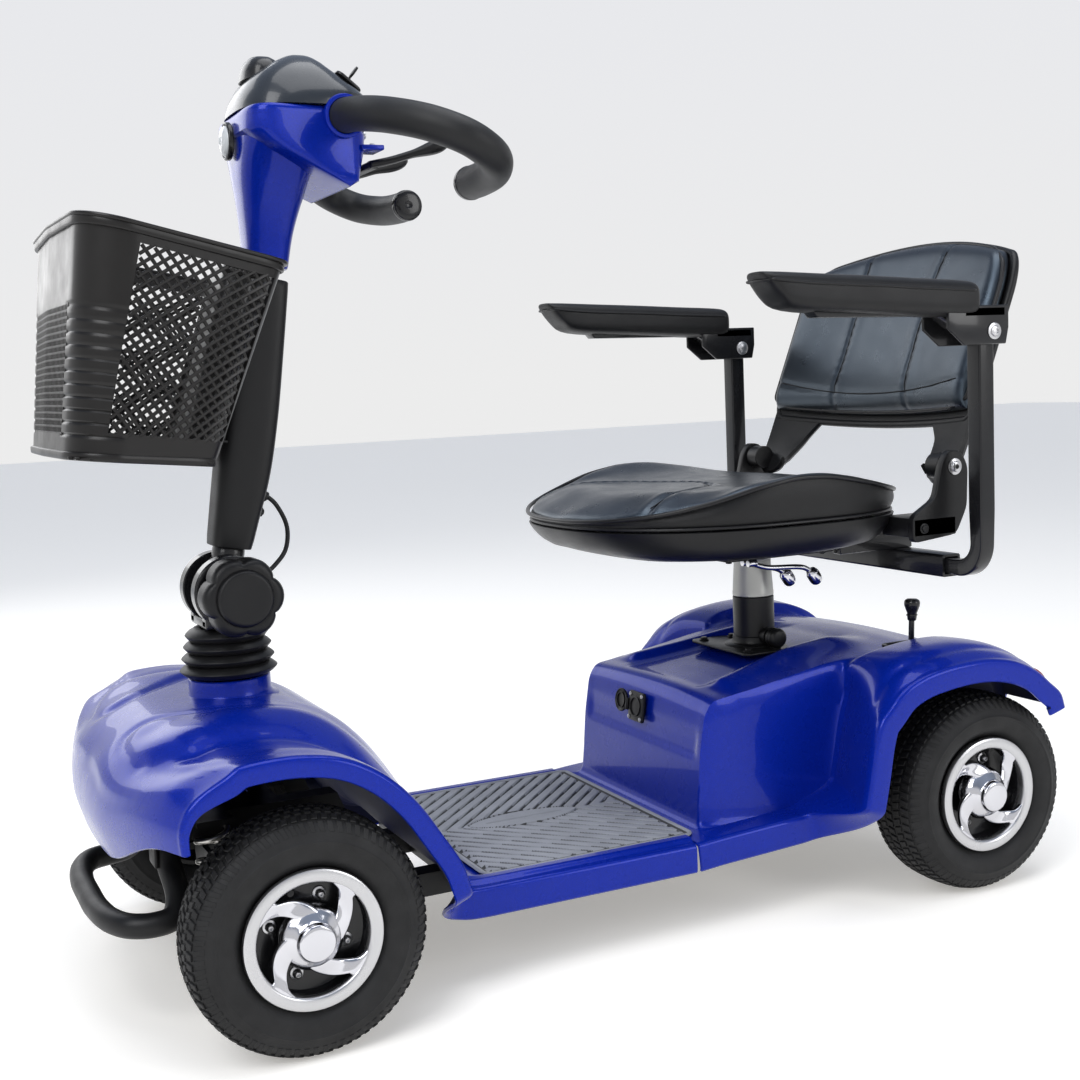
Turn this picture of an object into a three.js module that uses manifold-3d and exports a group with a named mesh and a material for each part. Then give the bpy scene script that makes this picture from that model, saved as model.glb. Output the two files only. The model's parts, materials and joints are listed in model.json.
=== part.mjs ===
// Four-wheel mobility scooter, built as an assembly of separate solids.
// Units are millimetres. +Z is up, the scooter faces -Y, and +X is the rider's left.
// Pieces are placed from the point on the floor under the middle of the wheelbase, on the centre plane.
import * as THREE from "three";
import { mergeVertices } from "three/addons/utils/BufferGeometryUtils.js";
import Module from "manifold-3d";

// ---------- driving dimensions ----------
const WHEEL_R = 114; // tyre outer radius, a 9 inch tyre
const HALF_BASE = 399.5; // half the wheelbase
const FRONT_X = 228, FRONT_W = 72; // front tyre centre and width
const REAR_X = 207, REAR_W = 84; // rear tyre centre and width
const RIM_R = 66, SPOKES = 4; // outer radius of the bright wheel trim
const KING_X = 172; // steering pivot of each front wheel
const STEER_Y = -399.5; // vertical steering column axis
const FOLD_Y = -399.5, FOLD_Z = 404; // tiller angle pivot
const TILLER_LEAN = THREE.MathUtils.degToRad(11);
const SIDE_X = 265; // outer face of the body
const SKIN = 5; // body shell thickness
const SILL_X = 180, DECK_Z = 101; // outer face of the sills and top of the foot deck
const BOX_X = 138; // half width of the battery box
const POST_Y = 251; // seat post axis
const POST_TOP = 331;
const ARM_X = 246, ARM_Y = 393; // armrest upright
const BOLT_Z = 636; // armrest pivot
const BACK_Y = 390, BACK_Z = 487; // backrest pivot
const MID_Y = 13.2; // from the middle of the overall box to the middle of the wheelbase

// ---------- solid helpers ----------
const wasm = await Module();
wasm.setup();
const V = (x, y, z) => new THREE.Vector3(x, y, z);
const rad = THREE.MathUtils.degToRad;

function solid(geometry) {
  const g = (geometry.index ? geometry.toNonIndexed() : geometry.clone());
  const bare = new THREE.BufferGeometry().setAttribute("position", g.getAttribute("position"));
  const m = mergeVertices(bare, 1e-3);
  const made = new wasm.Manifold(new wasm.Mesh({ numProp: 3, vertProperties: new Float32Array(m.attributes.position.array), triVerts: new Uint32Array(m.index.array) }));
  return made;
}
function geometryOf(made) {
  const m = made.getMesh(), n = m.numProp, v = new Float32Array(m.numVert * 3);
  for (let i = 0; i < m.numVert; i++) for (let k = 0; k < 3; k++) v[i * 3 + k] = m.vertProperties[i * n + k];
  const g = new THREE.BufferGeometry().setAttribute("position", new THREE.BufferAttribute(v, 3));
  g.setIndex(new THREE.BufferAttribute(new Uint32Array(m.triVerts), 1));
  g.computeVertexNormals();
  return g;
}
const join = (...s) => s.reduce((a, b) => a.add(b));
const cut = (a, ...s) => s.reduce((x, b) => x.subtract(b), a);

function box(x0, x1, y0, y1, z0, z1) {
  const g = new THREE.BoxGeometry(x1 - x0, y1 - y0, z1 - z0);
  g.translate((x0 + x1) / 2, (y0 + y1) / 2, (z0 + z1) / 2);
  return solid(g);
}
// Cylinder or cone from point a to point b.
function rod(a, b, r, seg = 16, r2 = r) {
  const d = new THREE.Vector3().subVectors(b, a);
  const g = new THREE.CylinderGeometry(r2, r, d.length(), seg, 1);
  g.applyQuaternion(new THREE.Quaternion().setFromUnitVectors(V(0, 1, 0), d.clone().normalize()));
  g.translate((a.x + b.x) / 2, (a.y + b.y) / 2, (a.z + b.z) / 2);
  return solid(g);
}
// Turned solid: profile of [radius, height] pairs from the axis round to the axis, along `dir` from `at`.
function turned(profile, at, dir, seg = 24) {
  const g = new THREE.LatheGeometry(profile.map(([r, h]) => new THREE.Vector2(r, h)), seg);
  g.applyQuaternion(new THREE.Quaternion().setFromUnitVectors(V(0, 1, 0), dir.clone().normalize()));
  g.translate(at.x, at.y, at.z);
  let m = solid(g);
  if (m.volume() < 0) {
    const idx = g.index.array;
    for (let i = 0; i < idx.length; i += 3) [idx[i + 1], idx[i + 2]] = [idx[i + 2], idx[i + 1]];
    m = solid(g);
  }
  return m;
}
// Tube of round section along a smooth curve.
function tube(points, r, steps, seg = 10) {
  const s = new THREE.Shape();
  for (let i = 0; i < seg; i++) {
    const a = (i / seg) * Math.PI * 2;
    if (i === 0) s.moveTo(r * Math.cos(a), r * Math.sin(a));
    else s.lineTo(r * Math.cos(a), r * Math.sin(a));
  }
  s.closePath();
  const curve = new THREE.CatmullRomCurve3(points, false, "centripetal");
  return solid(new THREE.ExtrudeGeometry(s, { extrudePath: curve, steps, bevelEnabled: false }));
}
// Prism: polygon in the plane across `axis`, from lo to hi.
function prism(poly, axis, lo, hi) {
  const s = new THREE.Shape(poly.map(([a, b]) => new THREE.Vector2(a, b)));
  const g = new THREE.ExtrudeGeometry(s, { depth: hi - lo, bevelEnabled: false });
  g.translate(0, 0, lo);
  const p = g.getAttribute("position");
  for (let i = 0; i < p.count; i++) {
    const a = p.getX(i), b = p.getY(i), c = p.getZ(i);
    if (axis === "x") p.setXYZ(i, c, a, b); // polygon is (y, z)
    else if (axis === "y") p.setXYZ(i, b, c, a); // polygon is (z, x)
    // axis z: polygon is (x, y)
  }
  return solid(g);
}
// Closed solid through a list of rings with equal point counts.
function loft(rings) {
  const n = rings[0].length, pos = [], idx = [];
  for (const r of rings) for (const p of r) pos.push(p.x, p.y, p.z);
  for (let i = 0; i + 1 < rings.length; i++)
    for (let j = 0; j < n; j++) {
      const a = i * n + j, b = i * n + ((j + 1) % n), c = a + n, d = b + n;
      idx.push(a, b, d, a, d, c);
    }
  const cap = (ring, at, flip) => {
    const c = new THREE.Vector3();
    ring.forEach((p) => c.add(p));
    c.divideScalar(n);
    const k = pos.length / 3;
    pos.push(c.x, c.y, c.z);
    for (let j = 0; j < n; j++) {
      const a = at + j, b = at + ((j + 1) % n);
      if (flip) idx.push(k, b, a);
      else idx.push(k, a, b);
    }
  };
  cap(rings[0], 0, true);
  cap(rings[rings.length - 1], (rings.length - 1) * n, false);
  const g = new THREE.BufferGeometry().setAttribute("position", new THREE.BufferAttribute(new Float32Array(pos), 3));
  g.setIndex(idx);
  let m = solid(g);
  if (m.volume() < 0) {
    for (let i = 0; i < idx.length; i += 3) [idx[i + 1], idx[i + 2]] = [idx[i + 2], idx[i + 1]];
    g.setIndex(idx);
    m = solid(g);
  }
  return m;
}
// Thin shell of a grid of points P[row][column], thickened by t against the grid's normal.
function sheetSolid(P, t) {
  const R = P.length, C = P[0].length;
  const inner = P.map((row, i) => row.map((p, j) => {
    const du = new THREE.Vector3().subVectors(P[Math.min(i + 1, R - 1)][j], P[Math.max(i - 1, 0)][j]);
    const dv = new THREE.Vector3().subVectors(P[i][Math.min(j + 1, C - 1)], P[i][Math.max(j - 1, 0)]);
    const n = new THREE.Vector3().crossVectors(du, dv).normalize();
    return p.clone().addScaledVector(n, -t);
  }));
  const pos = [], idx = [];
  for (const G of [P, inner]) for (const row of G) for (const p of row) pos.push(p.x, p.y, p.z);
  const id = (s, i, j) => s * R * C + i * C + j;
  const quad = (a, b, c, d) => idx.push(a, b, c, a, c, d);
  for (let i = 0; i + 1 < R; i++)
    for (let j = 0; j + 1 < C; j++) {
      quad(id(0, i, j), id(0, i + 1, j), id(0, i + 1, j + 1), id(0, i, j + 1));
      quad(id(1, i, j), id(1, i, j + 1), id(1, i + 1, j + 1), id(1, i + 1, j));
    }
  for (let j = 0; j + 1 < C; j++) {
    quad(id(0, 0, j), id(0, 0, j + 1), id(1, 0, j + 1), id(1, 0, j));
    quad(id(0, R - 1, j + 1), id(0, R - 1, j), id(1, R - 1, j), id(1, R - 1, j + 1));
  }
  for (let i = 0; i + 1 < R; i++) {
    quad(id(0, i + 1, 0), id(0, i, 0), id(1, i, 0), id(1, i + 1, 0));
    quad(id(0, i, C - 1), id(0, i + 1, C - 1), id(1, i + 1, C - 1), id(1, i, C - 1));
  }
  const g = new THREE.BufferGeometry().setAttribute("position", new THREE.BufferAttribute(new Float32Array(pos), 3));
  g.setIndex(idx);
  const m = solid(g);
  if (m.volume() < 0) {
    for (let i = 0; i < idx.length; i += 3) [idx[i + 1], idx[i + 2]] = [idx[i + 2], idx[i + 1]];
    g.setIndex(idx);
    return solid(g);
  }
  return m;
}
// Superellipse ring in the plane z = const.
function ring(cx, cy, z, a, b, n, count = 24) {
  const out = [];
  for (let i = 0; i < count; i++) {
    const t = ((i + 0.5) / count) * Math.PI * 2, c = Math.cos(t), s = Math.sin(t);
    out.push(V(cx + a * Math.sign(c) * Math.abs(c) ** (2 / n), cy + b * Math.sign(s) * Math.abs(s) ** (2 / n), z));
  }
  return out;
}
const lerp = (a, b, t) => a + (b - a) * t;
const smooth = (t) => { t = Math.min(1, Math.max(0, t)); return t * t * (3 - 2 * t); };
// Point at arc share s of a polyline of [y, z] points.
function along(poly, s) {
  const L = [0];
  for (let i = 1; i < poly.length; i++) L.push(L[i - 1] + Math.hypot(poly[i][0] - poly[i - 1][0], poly[i][1] - poly[i - 1][1]));
  const d = s * L[L.length - 1];
  let k = 1;
  while (k < poly.length - 1 && L[k] < d) k++;
  const t = (d - L[k - 1]) / (L[k] - L[k - 1]);
  return [lerp(poly[k - 1][0], poly[k][0], t), lerp(poly[k - 1][1], poly[k][1], t)];
}

// ---------- scene ----------
const scooter = new THREE.Group();
const mat = (color, roughness, metalness = 0) => new THREE.MeshStandardMaterial({ color, roughness, metalness });
const BLUE = mat(0x0a1fb0, 0.18, 0.4), BLACK = mat(0x141414, 0.5), STEEL = mat(0x17171a, 0.35, 0.6), RUBBER = mat(0x1c1c1c, 0.85);
const TYRE = mat(0x222222, 0.9), CHROME = mat(0xd8d8dc, 0.12, 1), SILVER = mat(0xb9bbbd, 0.35, 0.9), GREY = mat(0x3f444a, 0.35);
const MAT = mat(0x6c6f70, 0.85), LEATHER = mat(0x1b1d22, 0.4), RED = mat(0x7a1010, 0.2), LENS = mat(0xdde4e8, 0.08), ZINC = mat(0x8e8f92, 0.4, 0.8);
function node(name, made, material) {
  const mesh = new THREE.Mesh(made.isBufferGeometry ? made : geometryOf(made), material);
  mesh.name = name;
  scooter.add(mesh);
  return mesh;
}
const mirror = (s) => s.mirror([1, 0, 0]);
const AX = V(1, 0, 0), AY = V(0, 1, 0), AZ = V(0, 0, 1);

// ---------- wheels ----------
// Profiles are [radius, distance along the axle] for an outer face at +w/2.
function tyreProfile(w) {
  const h = w / 2, R = WHEEL_R;
  return [[62, -h * 0.62], [84, -h], [103, -h * 0.88], [R, -h * 0.46], [R, h * 0.46], [103, h * 0.88], [84, h], [62, h * 0.62], [62, -h * 0.62]];
}
function wheel(prefix, cx, y, w, side, shaftIn, shaftHole) {
  const at = V(cx * side, y, WHEEL_R), out = V(side, 0, 0), h = w / 2;
  node(prefix + "_tyre", turned(tyreProfile(w), at, out, 24), TYRE);
  // Steel rim: barrel with a web and hub.
  const bore = shaftHole;
  const rimProfile = [[bore, -h * 0.5], [20, -h * 0.5], [20, h * 0.1], [55, h * 0.1], [55, -h * 0.72], [61.4, -h * 0.72], [61.4, h * 0.6], [55, h * 0.6], [55, h * 0.3], [17, h * 0.3], [17, h * 0.55], [bore, h * 0.55], [bore, -h * 0.5]];
  let rim;
  if (bore > 0) rim = turned(rimProfile, at, out, 14);
  else {
    // driven wheel: the hub is solid on its half shaft, which runs into the gearbox
    rim = turned([[0, -h * 0.5], ...rimProfile.slice(1, 11), [0, h * 0.55]], at, out, 14);
    rim = join(rim, rod(at.clone().addScaledVector(out, -h * 0.5 + 0.5), V(shaftIn * side, y, WHEEL_R), 10, 12));
  }
  node(prefix + "_rim", rim, STEEL);
  // Bright trim: outer ring and four swept spokes round a raised boss with an end cap.
  const ringProfile = [[54.5, h * 0.66], [60.8, h * 0.66], [RIM_R, h * 0.86], [63, h + 1], [54.5, h * 0.86], [54.5, h * 0.66]];
  let trim = turned(ringProfile, at, out, 24);
  const boss = turned([[0, h * 0.62], [23, h * 0.62], [23, h * 0.82], [15, h + 3], [13, h + 8], [0, h + 9]], at, out, 10);
  trim = join(trim, boss);
  for (let i = 0; i < SPOKES; i++) {
    const a0 = (i / SPOKES) * Math.PI * 2, pts = [];
    const arc = (r, a) => [at.y + r * Math.cos(a * side + a0), at.z + r * Math.sin(a * side + a0)];
    pts.push(arc(21, -0.36), arc(38, 0.02), arc(56.5, 0.3), arc(56.5, 0.72), arc(38, 0.44), arc(21, 0.36));
    if (side < 0) pts.reverse();
    trim = join(trim, prism(pts, "x", side > 0 ? at.x + h * 0.66 : at.x - h * 0.82, side > 0 ? at.x + h * 0.82 : at.x - h * 0.66));
  }
  node(prefix + "_trim", trim, CHROME);
}
wheel("front_left", FRONT_X, -HALF_BASE, FRONT_W, 1, 0, 9);
wheel("front_right", FRONT_X, -HALF_BASE, FRONT_W, -1, 0, 9);
wheel("rear_left", REAR_X, HALF_BASE, REAR_W, 1, 48, 0);
wheel("rear_right", REAR_X, HALF_BASE, REAR_W, -1, 48, 0);

// ---------- front axle, knuckles, steering links ----------
const AZ0 = WHEEL_R, FY = -HALF_BASE;
{
  let beam = box(-148, 148, FY - 15, FY + 15, AZ0 - 14, AZ0 + 12);
  for (const s of [1, -1]) {
    // fork that holds the king pin above and below the knuckle
    const a = s > 0 ? 140 : -190, b = s > 0 ? 190 : -140;
    beam = join(beam, box(a, b, FY - 14, FY + 14, AZ0 + 24, AZ0 + 32), box(a, b, FY - 14, FY + 14, AZ0 - 32, AZ0 - 24));
    beam = join(beam, box(s > 0 ? 136 : -148, s > 0 ? 148 : -136, FY - 14, FY + 14, AZ0 - 31, AZ0 + 31));
    // lower spring seat
    beam = join(beam, box(s * 106 - 18, s * 106 + 18, FY - 70, FY - 14, AZ0 - 6, AZ0 + 2), rod(V(s * 106, FY - 52, AZ0 + 1), V(s * 106, FY - 52, AZ0 + 10), 8, 8));
  }
  beam = cut(beam, rod(V(0, FY - 40, AZ0), V(0, FY + 40, AZ0), 8.5, 14));
  node("front_axle_beam", beam, STEEL);
}
for (const s of [1, -1]) {
  const sp = [];
  // helical spring between the lower and the upper seat
  const turns = 3.5, steps = 30, z0 = AZ0 + 6.5, z1 = 190;
  for (let i = 0; i <= steps; i++) {
    const t = i / steps, a = t * turns * Math.PI * 2;
    sp.push(V(s * 106 + 15 * Math.cos(a), FY - 52 + 15 * Math.sin(a), lerp(z0, z1, t)));
  }
  node(s > 0 ? "front_spring_left" : "front_spring_right", tube(sp, 3, 26, 4), ZINC);
}
for (const s of [1, -1]) {
  const k = V(s * KING_X, FY, 0);
  let kn = rod(V(k.x, k.y, AZ0 - 23.5), V(k.x, k.y, AZ0 + 23.5), 12, 10);
  kn = join(kn, rod(V(k.x, k.y, AZ0 - 36), V(k.x, k.y, AZ0 + 36), 6, 10));
  kn = join(kn, rod(V(k.x, k.y, AZ0), V(s * 249, k.y, AZ0), 8.6, 10));
  // steering arm to the rear, with the tie rod's pin
  kn = join(kn, box(k.x - 7, k.x + 7, FY + 6, FY + 62, AZ0 - 18, AZ0 - 10), rod(V(k.x, FY + 55, AZ0 - 12), V(k.x, FY + 55, AZ0 + 10), 4, 8));
  node(s > 0 ? "knuckle_left" : "knuckle_right", kn, ZINC);
}
{
  // king pin holes in the fork
  const beam = scooter.children.find((m) => m.name === "front_axle_beam");
  let b = solid(beam.geometry);
  for (const s of [1, -1]) b = cut(b, rod(V(s * KING_X, FY, AZ0 - 40), V(s * KING_X, FY, AZ0 + 40), 6.6, 12));
  beam.geometry = geometryOf(b);
}
{
  const z = AZ0; // level with the axle pivot, so rocking the axle does not steer
  let tie = box(-KING_X, KING_X, FY + 50, FY + 60, z - 5, z + 5);
  for (const s of [1, -1]) tie = join(tie, rod(V(s * KING_X, FY + 55, z - 6), V(s * KING_X, FY + 55, z + 6), 10, 12));
  for (const s of [1, -1]) tie = cut(tie, rod(V(s * KING_X, FY + 55, z - 9), V(s * KING_X, FY + 55, z + 9), 4.9, 10));
  tie = cut(tie, rod(V(0, FY + 55, z - 9), V(0, FY + 55, z + 9), 4.2, 10));
  node("tie_rod", tie, ZINC);
}

// ---------- chassis frame ----------
{
  const rail = (x, y0, y1, z0, z1, w = 26) => box(x - w / 2, x + w / 2, y0, y1, z0, z1);
  let f = join(rail(75, -300, 232, 68, 93), rail(-75, -300, 232, 68, 93));
  // cross members
  f = join(f, box(-168, 168, -190, -170, 70, 92), box(-168, 168, 30, 50, 70, 92), box(-88, 88, 222, 280, 70, 93), box(-88, 88, -300, -276, 68, 93));
  f = join(f, box(156, 168, -190, 50, 70, 92), box(-168, -156, -190, 50, 70, 92));
  // rear raised rails over the axle
  for (const s of [1, -1]) f = join(f, rail(s * 75, 206, 470, 148, 172), rail(s * 75, 206, 232, 70, 160));
  f = join(f, box(-88, 88, 446, 470, 148, 172), box(-88, 88, 206, 222, 148, 160));
  // front risers, sub frame and steering head
  for (const s of [1, -1]) {
    f = join(f, prism([[-300, 68], [-276, 68], [-276, 93], [-318, 196], [-342, 196]], "x", s > 0 ? 62 : -88, s > 0 ? 88 : -62));
    f = join(f, rail(s * 75, -500, -318, 172, 196));
    // upper spring seats
    f = join(f, box(s > 0 ? 62 : -126, s > 0 ? 126 : -62, FY - 70, FY - 34, 193.5, 199));
  }
  f = join(f, box(-88, 88, -500, -478, 172, 196), box(-88, 88, -430, -374, 186, 196));
  f = join(f, rod(V(0, STEER_Y, 150), V(0, STEER_Y, 268), 26, 16));
  f = join(f, box(-62, 62, -428, -376, 186, 196));
  // pivot plates for the axle: a U each side, open for the steering arm
  for (const y of [-434, -372]) {
    f = join(f, prism([[104, -64], [104, 64], [190, 88], [190, 56], [128, 42], [128, -42], [190, -56], [190, -88]], "y", y, y + 6));
  }
  f = join(f, rod(V(0, -434, AZ0), V(0, -366, AZ0), 8, 12));
  // bracket and pin of the freewheel lever
  f = join(f, box(86, 130, 366, 392, 150, 160), box(124, 130, 366, 392, 150, 246), rod(V(128, 378, 232), V(150, 378, 232), 4, 10));
  f = cut(f, rod(V(0, STEER_Y, 100), V(0, STEER_Y, 280), 17.3, 16));
  node("chassis_frame", f, STEEL);
}
{
  const b = [V(75, -494, 168), V(86, -490, 148), V(110, -489, 124), V(124, -498, 111), V(125, -516, 108), V(116, -536, 108), V(92, -549, 108), V(50, -556, 108), V(0, -557, 108)];
  const pts = [...b, ...b.slice(0, -1).reverse().map((p) => V(-p.x, p.y, p.z))];
  node("front_bumper", cut(tube(pts, 12, 28, 8), box(-89, 89, -500.6, -470, 150, 197)), BLACK);
}

// ---------- body shells ----------
// Side profiles [y, z] of the front cover on the centre plane and at the side, both from the front skirt to the foot-well joint.
const JOINT_Y = 50;
const FC_MID = [[-548, 168], [-556, 200], [-550, 236], [-532, 266], [-500, 287], [-455, 296], [-400, 297], [-350, 291], [-315, 274], [-286, 246], [-262, 208], [-243, 168], [-228, 126], [-216, 107], [-196, DECK_Z], [JOINT_Y, DECK_Z]];
const FC_EDGE = [[-548, 196], [-556, 222], [-555, 246], [-540, 264], [-500, 276], [-449, 284], [-400, 284], [-362, 276], [-326, 256], [-296, 226], [-272, 190], [-252, 156], [-243, 128], [-234, 110], [-216, DECK_Z + 2], [-196, DECK_Z], [JOINT_Y, DECK_Z]];
function frontPoint(s, x) {
  const ax = Math.abs(x), w = smooth((ax - 70) / 170);
  const a = along(FC_MID, s), b = along(FC_EDGE, s);
  let y = lerp(a[0], b[0], w), z = lerp(a[1], b[1], w);
  // the nose is bowed in plan
  if (y < -440) y += 26 * (ax / 265) ** 2.6 * smooth((-440 - y) / 90);
  // beyond the fender's tail the sides draw in to the sills
  return V(ax > 150 ? Math.sign(x) * (150 + (ax - 150) * lerp(1, (SILL_X - 150) / (SIDE_X - 150), smooth((s - 0.585) / 0.045))) : x, y, z);
}
{
  const S = [0, 0.037, 0.078, 0.13, 0.185, 0.25, 0.313, 0.369, 0.424, 0.48, 0.525, 0.56, 0.585, 0.6, 0.615, 0.63, 0.66, 0.7, 1];
  const X = [-259, -239, -221, -175, -125, -75, -25, 25, 75, 125, 175, 221, 239, 259];
  const P = S.map((s) => {
    const row = X.map((x) => frontPoint(s, x));
    for (const side of [1, -1]) {
      const e0 = frontPoint(Math.max(0, s - 0.012), 259), e1 = frontPoint(Math.min(1, s + 0.012), 259), e = frontPoint(s, 259);
      const t = V(0, e1.y - e0.y, e1.z - e0.z).normalize(), n = V(0, t.z, -t.y); // inward, under the skin
      const w = lerp(20, 33, smooth((s - 0.58) / 0.05)), out = e.x + (SIDE_X - 259);
      const near = e.clone().addScaledVector(n, 5.5); near.x = side * (out - 0.5);
      const low = e.clone().addScaledVector(n, w); low.x = side * out;
      if (side > 0) row.push(near, low); else { row.unshift(near); row.unshift(low); }
    }
    return row;
  });
  let shell = sheetSolid(P, -SKIN);
  const collar = rod(V(0, STEER_Y, 283), V(0, STEER_Y, 314), 42, 20);
  shell = cut(join(shell, collar), rod(V(0, STEER_Y, 250), V(0, STEER_Y, 330), 37, 20));
  shell = cut(shell, box(-300, 300, JOINT_Y - 1, 60, 60, 200));
  node("front_cover", shell, BLUE);
}
// Rear cover, profiles [y, z] on the centre plane, along the battery box side, and over the wheel.
const RC_MID = [[JOINT_Y, DECK_Z], [60, DECK_Z], [70, DECK_Z], [77, 108], [84, 190], [90, 232], [99, 243], [150, 253], [204, 262], [250, 270], [317, 277], [380, 279], [430, 272], [470, 250], [494, 215], [504, 170], [506, 140]];
const RC_EDGE = [[JOINT_Y, DECK_Z], [80, 104], [140, 108], [196, 112], [210, 122], [219, 160], [226, 205], [242, 250], [270, 281], [300, 294], [340, 300], [385, 297], [425, 284], [455, 264], [478, 240], [490, 222], [494, 206]];
{
  const S = [0, 0.03, 0.046, 0.07, 0.12, 0.19, 0.22, 0.245, 0.27, 0.3, 0.33, 0.4, 0.5, 0.6, 0.7, 0.8, 0.88, 1];
  const X = [-259, -225, -166, -152, -138, -112, -45, 45, 112, 138, 152, 166, 225, 259];
  // resample both profiles at the same y where they run level, so the step beside the box stays straight
  const edgeAt = (s) => along(RC_EDGE, s);
  // the sides run along the sills first, then widen to the fenders
  const spread = (s) => lerp((SILL_X - 150) / (SIDE_X - 150), 1, smooth((s - 0.235) / 0.055));
  const P = S.map((s, i) => {
    const row = X.map((x) => {
      const ax = Math.abs(x), back = smooth((s - 0.5) / 0.12), w = smooth((ax - lerp(BOX_X, 154, back)) / lerp(13, 16, back));
      const a = along(RC_MID, s), b = edgeAt(s);
      const crown = ax <= 160 ? -6 * (ax / 160) ** 2 * smooth((a[1] - 150) / 60) : 0;
      return V(ax > 150 ? Math.sign(x) * (150 + (ax - 150) * spread(s)) : x, lerp(a[0], b[0], w), lerp(a[1] + crown, b[1], w));
    });
    for (const side of [1, -1]) {
      const e0 = edgeAt(Math.max(0, s - 0.012)), e1 = edgeAt(Math.min(1, s + 0.012)), e = edgeAt(s);
      const t = V(0, e1[0] - e0[0], e1[1] - e0[1]).normalize(), n = V(0, t.z, -t.y);
      const deck = 1 - smooth((s - 0.24) / 0.06), w = lerp(26, 33, deck), out = 150 + 109 * spread(s) + (SIDE_X - 259);
      const near = V(side * (out - 0.5), e[0] + n.y * 5.5, e[1] + n.z * 5.5), low = V(side * out, e[0] + n.y * w, e[1] + n.z * w);
      if (side > 0) row.push(near, low); else { row.unshift(near); row.unshift(low); }
    }
    return row;
  });
  let shell = sheetSolid(P, -SKIN);
  shell = cut(shell, rod(V(0, POST_Y, 240), V(0, POST_Y, 300), 28, 18));
  shell = cut(shell, box(-300, 300, -40, JOINT_Y + 1, 60, 200));
  shell = cut(shell, box(-15, 15, 60, 110, 199, 229)); // charging socket
  shell = cut(shell, box(132, 146, 350, 412, 255, 300)); // slot for the freewheel lever
  shell = cut(shell, box(12, 42, POST_Y - 10, POST_Y + 10, 250, 300));
  node("rear_cover", shell, BLUE);
}
{
  // foot mat: rounded corners, with its rear edge against the battery box
  const p = [[-160, -170], [-152, -184], [-140, -190], [140, -190], [152, -184], [160, -170], [160, 54], [150, 64], [-150, 64], [-160, 54]];
  node("floor_mat", prism(p, "z", DECK_Z + 2, DECK_Z + 6), MAT);
}

// ---------- drive, battery, seat post, small rear parts ----------
{
  const shape = prism([[106, 93.5], [205.5, 93.5], [205.5, 188], [196, 198], [116, 198], [106, 188]], "x", -118, 118);
  node("battery_pack", join(shape, box(-30, -20, 140, 160, 197, 204), box(20, 30, 140, 160, 197, 204)), BLACK);
}
{
  let t = turned([[0, -58], [42, -58], [50, -48], [50, 48], [42, 58], [0, 58]], V(0, HALF_BASE, WHEEL_R), AX, 14); // gearbox round the axle
  t = join(t, turned([[0, -60], [36, -60], [40, -54], [40, 30], [34, 34], [34, 50], [0, 50]], V(0, 320, WHEEL_R), AX, 14)); // motor
  t = join(t, box(-40, 30, 320, HALF_BASE, 82, 146), box(-20, 20, 380, 430, 140, 190), box(-61, 61, 392, 416, 176, 190));
  t = cut(t, rod(V(-100, HALF_BASE, WHEEL_R), V(-40, HALF_BASE, WHEEL_R), 10.7, 14), rod(V(40, HALF_BASE, WHEEL_R), V(100, HALF_BASE, WHEEL_R), 10.7, 14));
  // the axle ends turn in bearing housings that start at x = 62
  t = cut(t, box(61, 120, 360, 440, 60, 170), box(-120, -61, 360, 440, 60, 170));
  t = cut(t, box(-62, 62, 445, 475, 147.5, 172.5), box(-63, 63, 391, 417, 147.5, 172.5).subtract(box(-60, 60, 380, 430, 140, 180)));
  node("drive_transaxle", t, ZINC);
}
{
  let p = rod(V(0, POST_Y, 94), V(0, POST_Y, POST_TOP), 25, 18);
  p = join(p, box(-40, 40, POST_Y - 27, POST_Y + 27, 93.5, 100), rod(V(24, POST_Y, 284), V(34, POST_Y, 284), 9, 10));
  p = cut(p, rod(V(0, POST_Y, 140), V(0, POST_Y, 340), 21.9, 18), rod(V(10, POST_Y, 284), V(40, POST_Y, 284), 4.6, 10));
  node("seat_post_outer", p, STEEL);
  node("seat_height_pin", join(rod(V(22, POST_Y, 284), V(38, POST_Y, 284), 4, 12), turned([[0, 0], [9, 0], [12, 3], [12, 15], [9, 18], [0, 18]], V(37, POST_Y, 284), AX, 14)), BLACK);
}
{
  // flange lies on the sloping front of the battery box, the body goes through it
  let s = join(box(-14.7, 14.7, 82, 103, 199.3, 228.7), prism([[80.2, 196], [84.4, 196], [89, 232], [84.8, 232]], "x", -17.2, 17.2));
  s = cut(s, rod(V(0, 70, 214), V(0, 96, 214), 10, 14));
  node("charging_socket", s, BLACK);
  // round cap swung open beside the socket; closed, it turns half round to cover it
  const lean = Math.atan2(6, 42), wall = 87.4;
  const cap = join(rod(V(-36, 1.4, 0), V(-36, 5, 0), 14, 16), box(-26, -20, 1.4, 5, -4, 4), rod(V(-19.3, 5.4, -5), V(-19.3, 5.4, 5), 1.8, 8));
  node("charging_cap", cap.mirror([0, 1, 0]).rotate([-THREE.MathUtils.radToDeg(lean), 0, 0]).translate([0, wall - 0.9, 216]), BLACK);
}
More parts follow.
